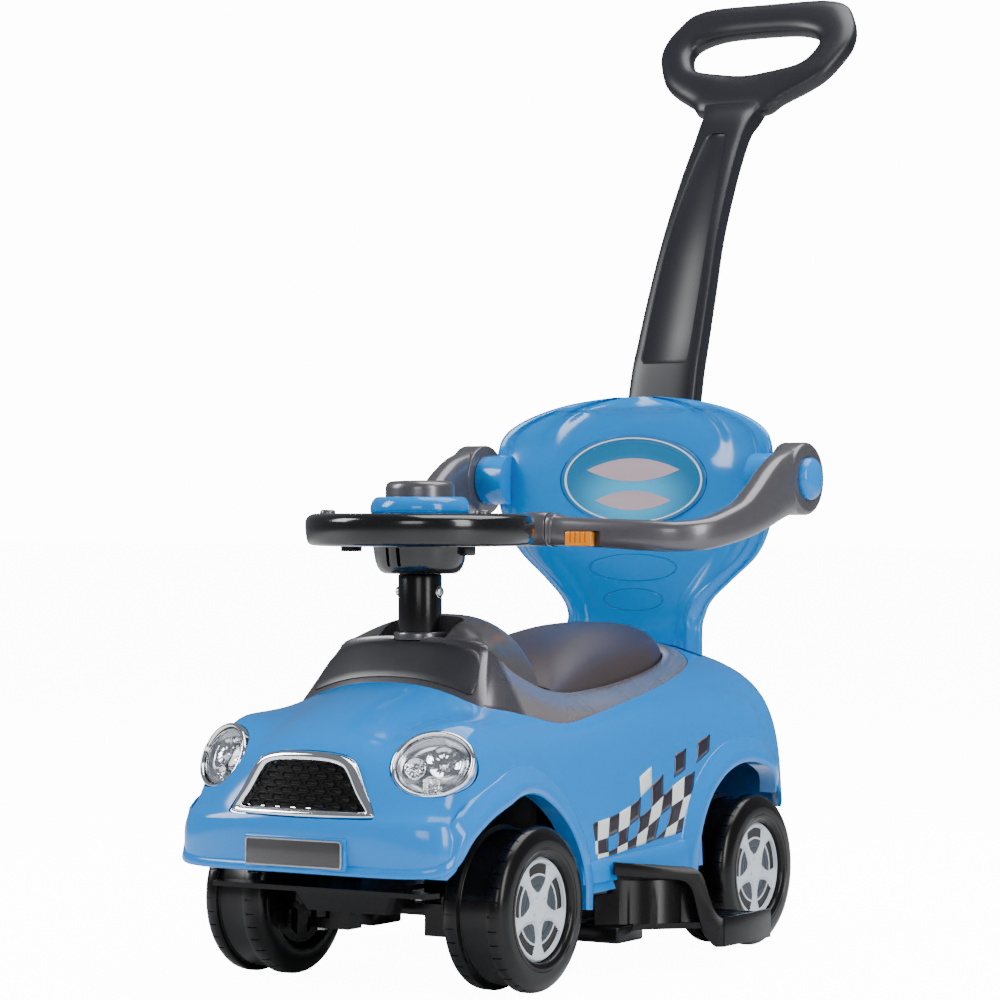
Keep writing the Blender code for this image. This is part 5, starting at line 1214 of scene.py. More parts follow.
@dataclass
class Front:
    """Grille frame with its hexagon cells, and the bare number plate."""

    middle_z: float = 171.0
    depth: float = 8.0
    pitch: Pair = (15.6, 5.9)

    @staticmethod
    def face(x: float, z: float) -> float:
        """The grille bows in plan and leans back a little: its y at a place."""
        return -327.5 + 7.5 * (x / 70.0) ** 2 + 0.2 * (z - 150.0)

    @staticmethod
    def ring(half: Sequence[Pair], grow: float, depth: float) -> Ring:
        """A ring of the frame.

        Args:
            half: half outline of (x, z).
            grow: how far it is pushed out from the middle.
            depth: how far behind the face it lies.

        Returns:
            The ring's points.
        """
        middle = Front.middle_z
        ring = []
        for x, z in Curve.mirror(Curve.smooth(half, 4)):
            radial = Vector((x, 0, z - middle))
            point = radial + radial.normalized() * grow
            ring.append(Vector((point.x, Front.face(x, z) + depth, point.z + middle)))
        return ring

    @staticmethod
    def opening() -> BMesh:
        """The body's opening for the frame."""
        return Mesher.loft([Front.ring(GRILLE_OUTER, 0.4, -12), Front.ring(GRILLE_OUTER, 0.4, 30)], caps=True)

    def build(self) -> None:
        """Build the frame, the plate behind it with its cells, and the number plate."""
        layers = [(0.0, self.depth), (0.0, 0.9), (0.05, -0.3), (0.15, -1.3), (0.3, -2.0), (0.48, -2.2), (0.66, -1.8),
                  (0.82, -0.9), (0.93, 0.3), (1.0, 1.7), (1.0, self.depth)]
        rings = []
        for share, depth in layers:
            half = [(a + (c - a) * share, b + (d - b) * share)
                    for (a, b), (c, d) in zip(GRILLE_OUTER, GRILLE_INNER)]
            rings.append(Front.ring(half, 0.0, depth))
        frame = Bench.piece("grille_frame", Mesher.loft(rings, closed_path=True), CHROME.build(), 50)
        Bench.dress(frame, "car", "chrome", ["grille_surround"])
        rings = []
        for x, z in Curve.smooth(GRILLE_INNER[1:-2], 4):
            half_w, z = x - 0.7, z - 0.6 if z > self.middle_z else z + 0.6
            front = [Vector((half_w * s, Front.face(half_w * s, z) + 4.0, z)) for s in (k / 8 for k in range(-8, 9))]
            rings.append(front + [p + Vector((0, 2.4, 0)) for p in reversed(front)])
        backing = Bench.piece("grille_backing", Mesher.loft(rings, caps=True), BLACK.build())
        Bench.dress(backing, "car", "black", ["grille_mesh"])
        cells = Repeats.make("grille_cells", LATTICE, self.cell(), BLACK.build(), {
            "Columns": 9, "Rows": 7, "Pitch X": self.pitch[0] * MM, "Pitch Z": self.pitch[1] * MM,
            "Lowest Z": 156.6 * MM, "Face Y": (-327.5 + 4.0 + FRAME_SHIFT_Y) * MM, "Bow": 7.5 / 70 ** 2 / MM,
            "Lean": 0.2, "Lean From": 150.0 * MM, "Reach": 59.0 * MM, "Taper": 0.50}, 30)
        Bench.dress(cells, "car", "black")
        plate = Bench.piece("plate_blank", Mesher.block((-45.8, -333.4, 108.7), (45.8, -332, 128.8), 0.5, 2),
                            PLATE.build())
        Bench.dress(plate, "car", "plate", ["number_plate"])
        rings = []
        for grow, y in ((0, -332.0), (0, -333.6), (-0.4, -334.0), (-1.0, -334.0), (-1.4, -333.6), (-1.4, -332.0)):
            rings.append([Vector((x, y, z)) for x, z in
                          Curve.round_rect((-47 - grow, 107.5 - grow), (47 + grow, 130 + grow), 3.0 + grow)])
        rim = Bench.piece("plate_rim", Mesher.loft(rings, closed_path=True), PLATE_RIM.build())
        Bench.dress(rim, "car", "silver_grey")

    @staticmethod
    def cell() -> BMesh:
        """The raised outline of a wide hexagon with a dished middle; in metres round the origin."""
        outline = [(-6.9, -0.4), (-4.4, 2.5), (4.4, 2.5), (6.9, -0.4), (4.9, -2.7), (-4.9, -2.7)]
        rings = [[Vector((x * s * MM, y * MM, z * (s + lean) * MM)) for x, z in outline]
                 for s, lean, y in ((1.0, 0, 0.6), (1.0, 0, -0.5), (0.97, -0.02, -0.9), (0.88, -0.10, -0.9),
                                    (0.84, -0.14, 0.1), (0.4, -0.1, -0.15))]
        return Mesher.loft(rings, caps=True)


@dataclass
class Lamp:
    """A front lamp: bright bezel, bowl with three round reflectors, and a clear lens."""

    sign: int = 1
    centre: Triple = (103.0, -286.0, 190.0)
    half: Pair = (34.5, 28.5)
    sweep: float = 25.5
    lean: float = 24.0
    roll: float = 14.0
    flutes: int = 48

    def axes(self) -> tuple[Vector, Vector, Vector, Vector]:
        """Centre, long axis, short axis and outward direction of the lamp's oval."""
        back, lean, roll = (math.radians(a) for a in (self.sweep, self.lean, self.roll))
        level = Vector((math.cos(back), math.sin(back), 0))
        outward = Vector((math.sin(back) * math.cos(lean), -math.cos(back) * math.cos(lean), math.sin(lean)))
        upward = outward.cross(level).normalized()
        if upward.z < 0:
            upward = -upward
        long_axis = level * math.cos(roll) + upward * math.sin(roll)
        short_axis = upward * math.cos(roll) - level * math.sin(roll)
        flip = Vector((self.sign, 1, 1))
        return Vector(self.centre) * flip, long_axis * flip, short_axis * flip, outward * flip

    def ring(self, inset: float, along: float, count: int = 72) -> Ring:
        """An oval ring of the lamp.

        Args:
            inset: distance inside its rim.
            along: distance along its outward direction.
            count: points round it.

        Returns:
            The ring's points.
        """
        centre, long_axis, short_axis, outward = self.axes()
        a, b = self.half[0] - inset, self.half[1] - inset
        return [centre + outward * along + long_axis * (a * c) + short_axis * (b * s)
                for c, s in Curve.circle(count)]

    def dish(self, across: float, upward: float, radius: float, base: float, bulb: float) -> BMesh:
        """A round fluted reflector with a small dome in its middle, closed at its back.

        Args:
            across: its place along the oval's long axis.
            upward: its place along the short axis.
            radius: its radius.
            base: how far out its rim stands.
            bulb: radius of the dome.

        Returns:
            Its mesh.
        """
        centre, long_axis, short_axis, outward = self.axes()
        middle = centre + long_axis * across + short_axis * upward
        profile = [(1.06, -3.5), (1.06, -0.4), (1.0, 0.0), (0.94, -0.3), (0.84, -1.3), (0.62, -2.6), (0.42, -3.2)]
        rings = []
        for share, depth in profile:
            ring = []
            for i, (c, s) in enumerate(Curve.circle(self.flutes)):
                flute = 0.25 if i % 4 < 2 and 0.4 < share < 0.9 else 0.0
                ring.append(middle + outward * (base + depth + flute)
                            + (long_axis * c + short_axis * s) * radius * share)
            rings.append(ring)
        for share, depth in ((1.0, -3.2), (0.96, -1.6), (0.7, -0.5), (0.3, -0.1)):
            rings.append([middle + outward * (base + depth) + (long_axis * c + short_axis * s) * bulb * share
                          for c, s in Curve.circle(self.flutes)])
        return Mesher.loft(rings, caps=True)

    def build(self, side: str) -> None:
        """Build the lamp's pieces.

        Args:
            side: "left" or "right", for the pieces' names.
        """
        rings = [self.ring(*place) for place in ((0.0, -12), (0.0, 0.4), (0.25, 1.4), (0.9, 2.3), (1.9, 2.8),
                                                 (2.9, 2.6), (3.7, 1.6), (4.2, 0.4), (4.4, -1.0), (4.4, -12))]
        bezel = Bench.piece(f"lamp_bezel_{side}", Mesher.loft(rings, closed_path=True), CHROME.build(), 60)
        Bench.dress(bezel, "car", "chrome", [f"headlight_bezel_{side}"])
        rings = [self.ring(*place) for place in ((22, -7.4), (14, -7.2), (9, -6.2), (6.5, -3.8), (5.6, -3.2),
                                                 (4.8, -3.4), (4.8, -9), (18, -12))]
        bowl = Bench.piece(f"lamp_bowl_{side}", Mesher.loft(rings, caps=True), LAMP_BOWL.build(), 40)
        Bench.dress(bowl, "car", "chrome", [f"headlight_reflector_{side}"])
        dishes = [self.dish(8.5, 1.5, 13.2, -3.6, 4.6), self.dish(-14.6, 2.0, 8.4, -3.4, 3.0),
                  self.dish(-5.0, -14.4, 6.8, -3.4, 2.4)]
        cups = Bench.piece(f"lamp_reflectors_{side}", Mesher.join(dishes), CHROME.build(), 14)
        Bench.dress(cups, "car", "chrome")
        rings = [self.ring(*place) for place in ((26, 2.9), (17, 2.5), (9, 0.9), (6.2, -0.9), (4.8, -1.4),
                                                 (4.8, -0.3), (6.0, 0.5), (9, 2.0), (17, 3.6), (26, 4.0))]
        lens = Bench.piece(f"lamp_lens_{side}", Mesher.loft(rings, caps=True), Clear().build(), 60)
        Bench.dress(lens, "car", "lens", [f"headlight_lens_{side}"])


# Cockpit surround: outer (x, y) and inner (x, y, z) edge from the windscreen to the seat's back
SURROUND = [
    (0, -197, 0, -163, 287), (48, -196.5, 40, -162, 285.5), (84, -194, 70, -158, 279), (93.5, -188, 75, -151, 273),
    (99.5, -172, 77.5, -140, 266), (103.5, -145, 79, -126, 257), (106, -95, 82, -90, 243), (104, -42, 79, -42, 236),
    (102, 12, 75, 12, 237), (99, 70, 72, 70, 242), (93, 130, 68, 126, 250), (82, 172, 59.5, 163, 258),
    (66, 191, 48, 181, 263), (40, 202.5, 29, 191.5, 266), (0, 206, 0, 195, 267),
]
# Seat lid: y and height of the seat's middle line
LID_CROWN = [(-61.5, 245), (-47, 255), (-25, 265), (5, 275), (45, 283.5), (90, 289.5), (132, 291), (158, 289.5),
             (173, 286), (183, 280.5), (189.5, 274), (192.4, 270)]
# Dash hump: y and height of its ridge
HUMP_ROWS = [(-161.6, 286), (-156, 289.5), (-147, 296.5), (-133, 302), (-114, 304.5), (-100, 303.5),
             (-92.5, 298.5), (-89.6, 290)]


@dataclass
class Cockpit:
    """Silver-brown surround, dark windscreen panel, and the hump behind the column."""

    body: Body
    steps: int = 5
    lip: float = 3.0
    shelf_top: float = 239.0
    shelf_bottom: float = 232.0
    hinge: Pair = (-66.0, 243.0)

    @staticmethod
    def half() -> list[tuple[float, ...]]:
        """The surround's stations on one side, smoothed."""
        return Curve.smooth(SURROUND, 5)

    @staticmethod
    def loop(body: Body) -> list[tuple[Vector, Vector]]:
        """Outer and inner edge all round.

        Args:
            body: the body whose skin carries the outer edge.

        Returns:
            (outer, inner) points in order.
        """
        loop = [(Vector((ox, oy, body.top(ox, oy))), Vector((ix, iy, iz))) for ox, oy, ix, iy, iz in Cockpit.half()]
        flip = Vector((-1, 1, 1))
        return loop + [(o * flip, i * flip) for o, i in reversed(loop[1:-1])]

    @staticmethod
    def edge(y: float) -> Pair:
        """Half width and height of the inner edge at a y."""
        half = Cockpit.half()
        for (_, _, x0, y0, z0), (_, _, x1, y1, z1) in zip(half, half[1:]):
            if y <= y1:
                t = min(max((y - y0) / max(y1 - y0, 1e-6), 0.0), 1.0)
                return x0 + (x1 - x0) * t, z0 + (z1 - z0) * t
        return 0.0, half[-1][4]

    def section(self, outer: Vector, inner: Vector, bulge: float) -> Ring:
        """Closed section of the surround.

        Args:
            outer: its outer edge, on the body.
            inner: its inner edge, at the seat.
            bulge: how far it swells between them.

        Returns:
            The section's points: 12 along the top, then the return below.
        """
        inward = Vector((inner.x - outer.x, inner.y - outer.y, 0)).normalized()
        start = outer + inward * 0.5
        rise, low, drop = Vector((0, 0, bulge)), Vector((0, 0, -self.lip)), Vector((0, 0, -7))
        first, second = start.lerp(inner, 0.33) + rise, start.lerp(inner, 0.68) + rise
        top = [Vector(p) for p in Curve.smooth([tuple(p) for p in (start, first, second, inner)], 4)]
        top[-1] = inner - inward * 0.9 + Vector((0, 0, 0.15))
        top[0] = start + Vector((0, 0, -0.2))
        return top + [inner + Vector((0, 0, -0.9)), inner + drop, inner - inward * 2.2 + drop, second + low,
                      first + low, start + inward * 2.2 + low, start + inward * 2.2 + Vector((0, 0, -11)),
                      start + Vector((0, 0, -11))]

    def build(self) -> None:
        """Build the surround, the windscreen panel and the hump."""
        loop = Cockpit.loop(self.body)
        rings = []
        for o, i in loop:
            bulge = 1.0 + 1.6 * min(max((o.y + 192) / 30, 0.0), 1.0)
            rings.append(self.section(o, i, bulge))
        surround = Bench.piece("cockpit_rim", Mesher.loft(rings, closed_path=True), SILVER_BROWN.build(Marks.seams))
        hole = Mesher.rod((0, COLUMN_Y, 260), (0, COLUMN_Y, 320), COLLAR_R + 0.4, 72)
        Bench.carve(surround, [hole], Cut.TAKE)
        Bench.dress(surround, "car", "silver_grey", ["cockpit_surround"])
        self.windscreen(loop)
        self.hump()

    def windscreen(self, loop: list[tuple[Vector, Vector]]) -> None:
        """The dark panel that lies on the surround in front of the column, with round corners.

        Args:
            loop: the surround's edges.
        """
        rings = []
        reach = 2 * self.steps
        for k in range(-2 * reach, 2 * reach + 1):
            share = k / (2 * reach)
            place = share * reach
            i = math.floor(place)
            t = place - i
            a, b = loop[i % len(loop)], loop[(i + 1) % len(loop)]
            outer, inner = a[0].lerp(b[0], t), a[1].lerp(b[1], t)
            section = self.section(outer, inner, 1.0)[:13]
            slope = (section[11] - section[1]).normalized()
            across = Vector((-slope.y, slope.x, 0)).normalized()
            outward = slope.cross(across)
            if outward.z < 0:
                outward = -outward
            corner = max(0.0, (abs(share) - 0.86) / 0.14)
            pinch = 0.19 * (1 - math.sqrt(max(1 - corner ** 2, 0.0)))
            low, high = 0.13 + pinch, 0.84 - pinch
            line = []
            for n in range(13):
                along = (low + (high - low) * n / 12) * 12
                j = min(int(along), 11)
                line.append(section[j].lerp(section[j + 1], along - j))
            lift = [0.9] + [1.7] * 11 + [0.9]
            rings.append([p + outward * 0.35 for p in line] + [p + outward * h for p, h in zip(reversed(line), lift)])
        panel = Bench.piece("windscreen_dark", Mesher.loft(rings, caps=True), PANEL_DARK.build(), 50)
        Bench.dress(panel, "car", "panel_grey", ["windscreen_panel"])

    def arch(self, y: float, width: float, foot: float, ridge: float, steps: int = 18) -> Ring:
        """A ring of the hump: an arch over a flat base."""
        top = []
        for k in range(-steps, steps + 1):
            share = math.sin(0.5 * math.pi * k / steps)
            top.append(Vector((width * share, y, foot + (ridge - foot) * (1.0 - abs(share) ** 2.5) ** 0.58)))
        return top + [Vector((width, y, self.shelf_bottom)), Vector((-width, y, self.shelf_bottom))]

    def hump(self) -> None:
        """Gunmetal hump with its pocket round the column, and the seat's hinge ears."""
        rings = []
        for y, ridge in Curve.smooth(HUMP_ROWS, 5):
            width, foot = Cockpit.edge(y)
            rings.append(self.arch(y, width - 0.8, foot + 1.0, ridge))
        hinge_y, hinge_z = self.hinge
        for y in (-89.5, -80.0, hinge_y + 2.8):
            width, _ = Cockpit.edge(y)
            rings.append(self.arch(y, width - 0.8, self.shelf_top, self.shelf_top))
        hump = Bench.piece("dash_cowl", Mesher.loft(rings, caps=True), GUNMETAL.build(), 38)
        rings = []
        for y, ridge in HUMP_ROWS[1:-1]:
            width, foot = Cockpit.edge(y)
            ring = self.arch(y, width - 4.0, foot, min(ridge - 3.5, 279.0))
            rings.append([Vector((p.x, p.y, p.z - 10.0)) if p.z == self.shelf_bottom else p for p in ring])
        pocket = Mesher.prism(Curve.round_rect((-33.5, -190), (33.5, -124.0), 9, 8), 283.4, 330)
        Bench.carve(hump, [Mesher.loft(rings, caps=True), pocket,
                           Mesher.rod((0, COLUMN_Y, 200), (0, COLUMN_Y, 320), COLUMN_R + 0.4, 64)], Cut.TAKE, 38)
        Bench.soften(hump, 0.9, 3, 55.0, 38.0)
        ears = []
        for _, sign in SIDES:
            low, high = (sign * 20, hinge_y - 3.2, self.shelf_top - 2), (sign * 40, hinge_y + 2.7, hinge_z)
            ears += [Mesher.block(low, high),
                     Mesher.rod((sign * 20, hinge_y, hinge_z), (sign * 40, hinge_y, hinge_z), 3.6, 32)]
        Bench.carve(hump, ears, Cut.JOIN, 38)
        Bench.carve(hump, [Mesher.rod((-60, hinge_y, hinge_z), (60, hinge_y, hinge_z), 1.9, 24)], Cut.TAKE, 38)
        Bench.dress(hump, "car", "gunmetal", ["dash_hump"])


@dataclass
class Seat:
    """Padded seat lid over the storage bin, on its hinge at the front."""

    gap: float = 1.3
    wall: float = 3.0
    steps: int = 16
    hinge: Pair = (-66.0, 243.0)

    def ring(self, y: float, crown: float, solid: bool) -> Ring:
        """Closed section of the lid: padded top, lip and hollow underside.

        Args:
            y: where the section is.
            crown: height of its middle.
            solid: whether the underside is closed there.

        Returns:
            The section's points.
        """
        edge_x, edge_z = Cockpit.edge(y)
        width = edge_x - self.gap
        inside = width - self.wall

        def height(share: float) -> float:
            """Height of the padded top at a share of the half width."""
            return edge_z + (crown - edge_z) * (1.0 - min(abs(share), 1.0) ** 3) ** 0.6

        shares = [math.sin(0.5 * math.pi * k / self.steps) for k in range(-self.steps, self.steps + 1)]
        top = [Vector((width * s, y, height(s))) for s in shares]
        low = edge_z - 9.0
        under = [Vector((inside * s, y, edge_z - 8.9 if solid else height(inside * s / width) - self.wall))
                 for s in reversed(shares)]
        return top + [Vector((width, y, low)), Vector((inside, y, low))] + under + [Vector((-inside, y, low)),
                                                                                 Vector((-width, y, low))]

    def build(self) -> None:
        """Build the lid with its hinge ears."""
        crown = Curve.smooth(LID_CROWN, 5)
        first, last = crown[0][0], crown[-1][0]
        rows = []
        for y, z in crown:
            if first + 0.01 < y < first + 3.4:
                continue
            rows.append(self.ring(y, z, y in (first, last)))
            if y == first:
                rows += [self.ring(y + 3.0, z + 2.2, True), self.ring(y + 3.1, z + 2.3, False)]
            if y == crown[-3][0]:
                rows.append(self.ring(y + 0.05, z, True))
        lid = Bench.piece("seat_pad", Mesher.loft(rows, caps=True), SEAT.build(), 42)
        hinge_y, hinge_z = self.hinge
        for _, sign in SIDES:
            ear = Mesher.rod((sign * 41, hinge_y, hinge_z), (sign * 56, hinge_y, hinge_z), 3.6, 32)
            web = Mesher.block((sign * 41, hinge_y, hinge_z - 3.2), (sign * 56, hinge_y + 6, hinge_z + 1))
            Bench.carve(lid, [ear, web], Cut.JOIN, 42)
        Bench.carve(lid, [Mesher.rod((-60, hinge_y, hinge_z), (60, hinge_y, hinge_z), 1.9, 24)], Cut.TAKE, 42)
        Bench.dress(lid, "seat_lid", "seat_brown", ["seat_lid"])


@dataclass
class Steering:
    """Column sleeve with its bolt and collar, and the steering wheel with ring, cap and two buttons."""

    segments: int = 96
    button_x: float = 77.6
    button_y: float = -24.7
    rim: list[Pair] = field(default_factory=lambda: [
        (362.8, 80), (363, 90), (365.2, 94.6), (372, 96.4), (380, 97), (385.5, 96.2), (388.8, 92.6), (390, 87),
        (389.6, 80), (386, 75), (380, 73), (372, 72.6), (366, 75)])

    def build(self) -> None:
        """Build all of it."""
        base = (0, COLUMN_Y, 0)
        sleeve = Bench.piece("column_tube", Mesher.revolve(
            [(262, 0), (262, 17.5), (262.4, 18.2), (263.2, COLUMN_R), (337.4, COLUMN_R), (338.2, 18.2), (338.7, 17.6),
             (338.7, 12.2), (339, 12), (351.5, 12), (351.5, 0)], base, Axis.Z, 72), BLACK.build())
        Bench.carve(sleeve, [Mesher.rod((0, COLUMN_Y, 255), (0, COLUMN_Y, 360), 5.4, 40),
                             Mesher.rod((-30, COLUMN_Y, 324), (30, COLUMN_Y, 324), 2.7, 32)], Cut.TAKE)
        Bench.dress(sleeve, "steering", "black", ["column_sleeve"])
        collar = Bench.piece("column_bezel", Mesher.revolve(
            [(283.8, 18.9), (283.8, 22.2), (284.1, COLLAR_R), (288.6, COLLAR_R), (289.6, 22.2), (290.2, 21.6),
             (290.4, 20.8), (290.3, 19.4), (290, 18.9)], base, Axis.Z, 72), SILVER_BROWN.build(Marks.seams))
        Bench.dress(collar, "car", "silver_grey", ["column_collar"])
        self.bolt()
        self.wheel(base)
        cap = Bench.piece("horn_button", Mesher.revolve(
            [(393, 0), (393, 29.3), (410.5, 29.3), (412.4, 29.1), (414.6, 28.4), (416.2, 27.0), (417.1, 24.8),
             (417.5, 21.5), (417.8, 14), (418, 6), (418, 0)], base, Axis.Z, self.segments), GUNMETAL.build(), 50)
        Bench.dress(cap, "horn_cap", "gunmetal", ["horn_cap"])
        ring = Bench.piece("wheel_collar", Mesher.revolve(
            [(390, 30), (390, 41.0), (390.6, 41.8), (393, 42.2), (396.5, 41.9), (400.5, 40.4), (403, 38.2), (404, 36),
             (404, 31), (403.6, 30.2), (402, 30)], base, Axis.Z, self.segments), BLUE.build(), 50)
        Bench.dress(ring, "steering", "blue", ["wheel_ring"])
        for side, sign in SIDES:
            place = (sign * self.button_x, COLUMN_Y + self.button_y, 0)
            button = Bench.piece(f"tune_button_{side}", Mesher.revolve(
                [(387.4, 0), (387.4, 6.4), (387.8, 6.6), (391.4, 6.6), (392.4, 6.1), (393, 5), (393.2, 3.4),
                 (392.9, 2.4), (392.9, 0)], place, Axis.Z, 48), GUNMETAL.build(), 50)
            Bench.dress(button, f"music_button_{side}", "gunmetal", [f"music_button_{side}"])

    def bolt(self) -> None:
        """Cross bolt: a hexagon nut on one side and a domed head with a cross slot on the other."""
        head = Mesher.revolve([(-23, 0), (-23, 3.0), (-22.6, 3.8), (-21.4, 4.4), (-19, 4.4), (-19, 2.4), (18.9, 2.4),
                               (18.9, 5.0), (19.6, 5.0), (19.8, 4.5), (21, 4.3), (22, 3.2), (22.2, 0)],
                              (0, COLUMN_Y, 324), Axis.X, 48)
        bolt = Bench.piece("cross_bolt", head, STEEL.build())
        slots = [Mesher.block((21, COLUMN_Y - 2.6, 323.6), (24, COLUMN_Y + 2.6, 324.4)),
                 Mesher.block((21, COLUMN_Y - 0.4, 321.4), (24, COLUMN_Y + 0.4, 326.6))]
        Bench.carve(bolt, slots, Cut.TAKE)
        Bench.dress(bolt, "steering", "steel", ["column_bolt"])

    def wheel(self, base: Triple) -> None:
        """The wheel: round rim, three spokes and a bell-shaped hub housing with two slots in its front.

        Args:
            base: a point on the column's axis.
        """
        closed = self.rim + self.rim[:1]
        section = Curve.smooth([self.rim[-1]] + closed + [self.rim[1]], 4)[4:-5]
        rim = Mesher.revolve(section, base, Axis.Z, self.segments)
        wheel = Bench.piece("wheel_rim", rim, BLACK_GLOSS.build(), 45)
        housing = Mesher.revolve([(339.2, 0), (339.2, 29.4), (339.8, 31.2), (341.4, 33.8), (345, 36.2), (350, 37.9),
                                  (357, 39.1), (361, 39.6), (364.4, 40.6), (366.2, 42.6), (367.4, 43.6), (369, 44),
                                  (388.4, 44), (389.6, 42.8), (389.6, 0)], base, Axis.Z, self.segments)
        joined = [housing]
        for degrees in (-17.7, 197.7, 90.0):
            spoke = Mesher.block((36, -15, 366), (80, 15, 386.4), 3.6, 4)
            turn = Matrix.Translation(Vector(base)) @ Matrix.Rotation(math.radians(degrees), 4, "Z")
            bmesh.ops.transform(spoke, matrix=turn, verts=spoke.verts)
            joined.append(spoke)
        joined += [Mesher.rod((-70, COLUMN_Y, 357.5), (-70, COLUMN_Y, 368), 9, 40),
                   Mesher.block((37, COLUMN_Y + 4, 354.5), (46, COLUMN_Y + 16, 370), 1.5, 3)]
        Bench.carve(wheel, joined, Cut.JOIN, 45)
        cuts = [Mesher.rod((0, COLUMN_Y, 330), (0, COLUMN_Y, 352.5), 12.4, 48)]
        for _, sign in SIDES:
            place = (sign * self.button_x, COLUMN_Y + self.button_y)
            cuts.append(Mesher.rod((*place, 386.0), (*place, 400), 7.1, 48))
        for x in (-9.5, 1.5):
            cuts.append(Mesher.block((x, COLUMN_Y - 46, 345.5), (x + 3.4, COLUMN_Y - 33.2, 361.5), 1.2, 2))
        Bench.carve(wheel, cuts, Cut.TAKE, 45)
        Bench.dress(wheel, "steering", "black", ["steering_wheel"])


# Backrest: height, half width, then y of the front's middle, the front's bolsters and edge, and the back
BACKREST = [
    (281, 72.2, 214, 209, 213, 238), (295, 73, 215, 210, 217, 238), (310, 80.5, 215, 210, 218, 238),
    (330, 102, 215, 210, 220, 238), (350, 125, 215, 209, 219.5, 238), (372, 139.5, 215, 207, 215.5, 238),
    (400, 147, 215, 206, 212, 238), (430, 148.3, 215, 206, 210, 238), (452, 146, 215, 210.5, 210.5, 236),
    (465, 139.5, 216, 212.5, 212.5, 235), (475, 125.5, 217, 214.8, 215, 233.5), (483, 107, 218.5, 217, 217.4, 232),
    (489.5, 85, 220, 219, 219.3, 231), (494.5, 59, 222, 221, 221, 230), (498.2, 24, 224, 222, 222, 229),
]


@dataclass
class Backrest:
    """Blue backrest with side bolsters, hub pads, engraved ovals and the blank oval badge."""

    body: Body
    badge_half: Pair = (78.0, 42.0)
    badge_z: float = 420.6
    panel_depth: float = 3.0
    steps: int = 4

    def ring(self, row: Sequence[float]) -> Ring:
        """Front and back of the backrest at one height.

        Args:
            row: height, half width, and the y of middle, bolster, edge and back.

        Returns:
            A closed ring of points.
        """
        z, width, middle, bolster, edge, back = row
        front = [(1.0, edge + 5), (0.985, edge + 1.4), (0.94, edge), (0.84, bolster), (0.72, bolster + 0.5),
                 (0.62, bolster + 3.5), (0.45, middle - 1.5), (0.0, middle)]
        rear = [(0.975, min(edge + 9, back - 1)), (0.82, back - 2), (0.4, back), (0.0, back)]
        front = self.panelled(Curve.smooth(front, self.steps), z, width)
        rear = Curve.smooth(rear, self.steps)
        across = [(-s, y) for s, y in front[:-1]] + front[::-1] + rear + [(-s, y) for s, y in rear[-2::-1]]
        return [Vector((s * width, y, z)) for s, y in across]

    def panelled(self, front: list[Pair], z: float, width: float) -> list[Pair]:
        """Sink the middle of a row's front a little, inside a rim that follows the outline."""
        for inset in (11.0, 12.4, 13.8, 15.2, 16.6):
            share = 1.0 - inset / width
            (s0, y0), (s1, y1) = next((a, b) for a, b in zip(front, front[1:]) if b[0] <= share)
            front.append((share, y0 + (y1 - y0) * (share - s0) / (s1 - s0)))
            front.sort(key=lambda p: -p[0])
        sunk = []
        for share, y in front:
            inset = min((1.0 - share) * width, (BACKREST[-1][0] - z) * 1.1)
            t = min(max((inset - 11.2) / 5.2, 0.0), 1.0)
            sunk.append((share, y + self.panel_depth * t * t * (3 - 2 * t)))
        return sunk

    def ellipse(self, grow: float, y: float, count: int = 96) -> Ring:
        """An upright oval ring round the badge's middle."""
        a, b = self.badge_half[0] + grow, self.badge_half[1] + grow
        return [Vector((a * c, y, self.badge_z + b * s)) for c, s in Curve.circle(count)]

    def under_body(self) -> BMesh:
        """A block whose top follows the body's skin, to trim what stands on it."""
        rings = []
        for j in range(12):
            y = 200 + 46 * j / 11
            xs = [-84 + 168 * i / 40 for i in range(41)]
            rings.append([Vector((x, y, self.body.top(x, y) + 1.0)) for x in xs]
                         + [Vector((84, y, 150)), Vector((-84, y, 150))])
        return Mesher.loft(rings, caps=True)

    def build(self) -> None:
        """Build the backrest and the badge."""
        rows = Curve.smooth([(238,) + BACKREST[0][1:]] + BACKREST, 5)
        rest = Bench.piece("seat_back", Mesher.loft([self.ring(row) for row in rows], caps=True),
                           BLUE_BACK.build(Marks.engraved), 40)
        Bench.carve(rest, [self.under_body()], Cut.TAKE, 40)
        Bench.carve(rest, [Mesher.block((-40, 217, 244), (40, 231.5, 292))], Cut.JOIN, 40)
        for _, sign in SIDES:
            hub = Mesher.revolve([(130, 0), (130, 23.6), (157.2, 23.6), (158.2, 23.2), (158.6, 22.2), (158.6, 0)],
                                 (0, HUB_Y, HUB_Z), Axis.X, 96, sign)
            Bench.carve(rest, [hub], Cut.JOIN, 40)
        rings = [self.ellipse(7.5, 190), self.ellipse(7.0, 205.5), self.ellipse(4.6, 209.4), self.ellipse(2.4, 212.6),
                 self.ellipse(0.8, 215.3), self.ellipse(0.4, 217.5)]
        Bench.carve(rest, [Mesher.loft(rings, caps=True)], Cut.TAKE, 40)
        holes = [Mesher.rod((sign * 147, HUB_Y, HUB_Z), (sign * 162, HUB_Y, HUB_Z), 6.4, 40) for _, sign in SIDES]
        Bench.carve(rest, holes, Cut.TAKE, 40)
        Bench.dress(rest, "car", "blue", ["backrest"])
        rings = [self.ellipse(*place) for place in ((-0.2, 217.1), (-0.2, 215.7), (-0.6, 215.3), (-1.4, 215.2),
                                                    (-6.0, 215.2), (-6.4, 215.5), (-30.0, 215.4))]
        badge = Bench.piece("badge_blank", Mesher.loft(rings, caps=True), BADGE.build(Marks.badge))
        Bench.dress(badge, "car", "badge", ["badge"])


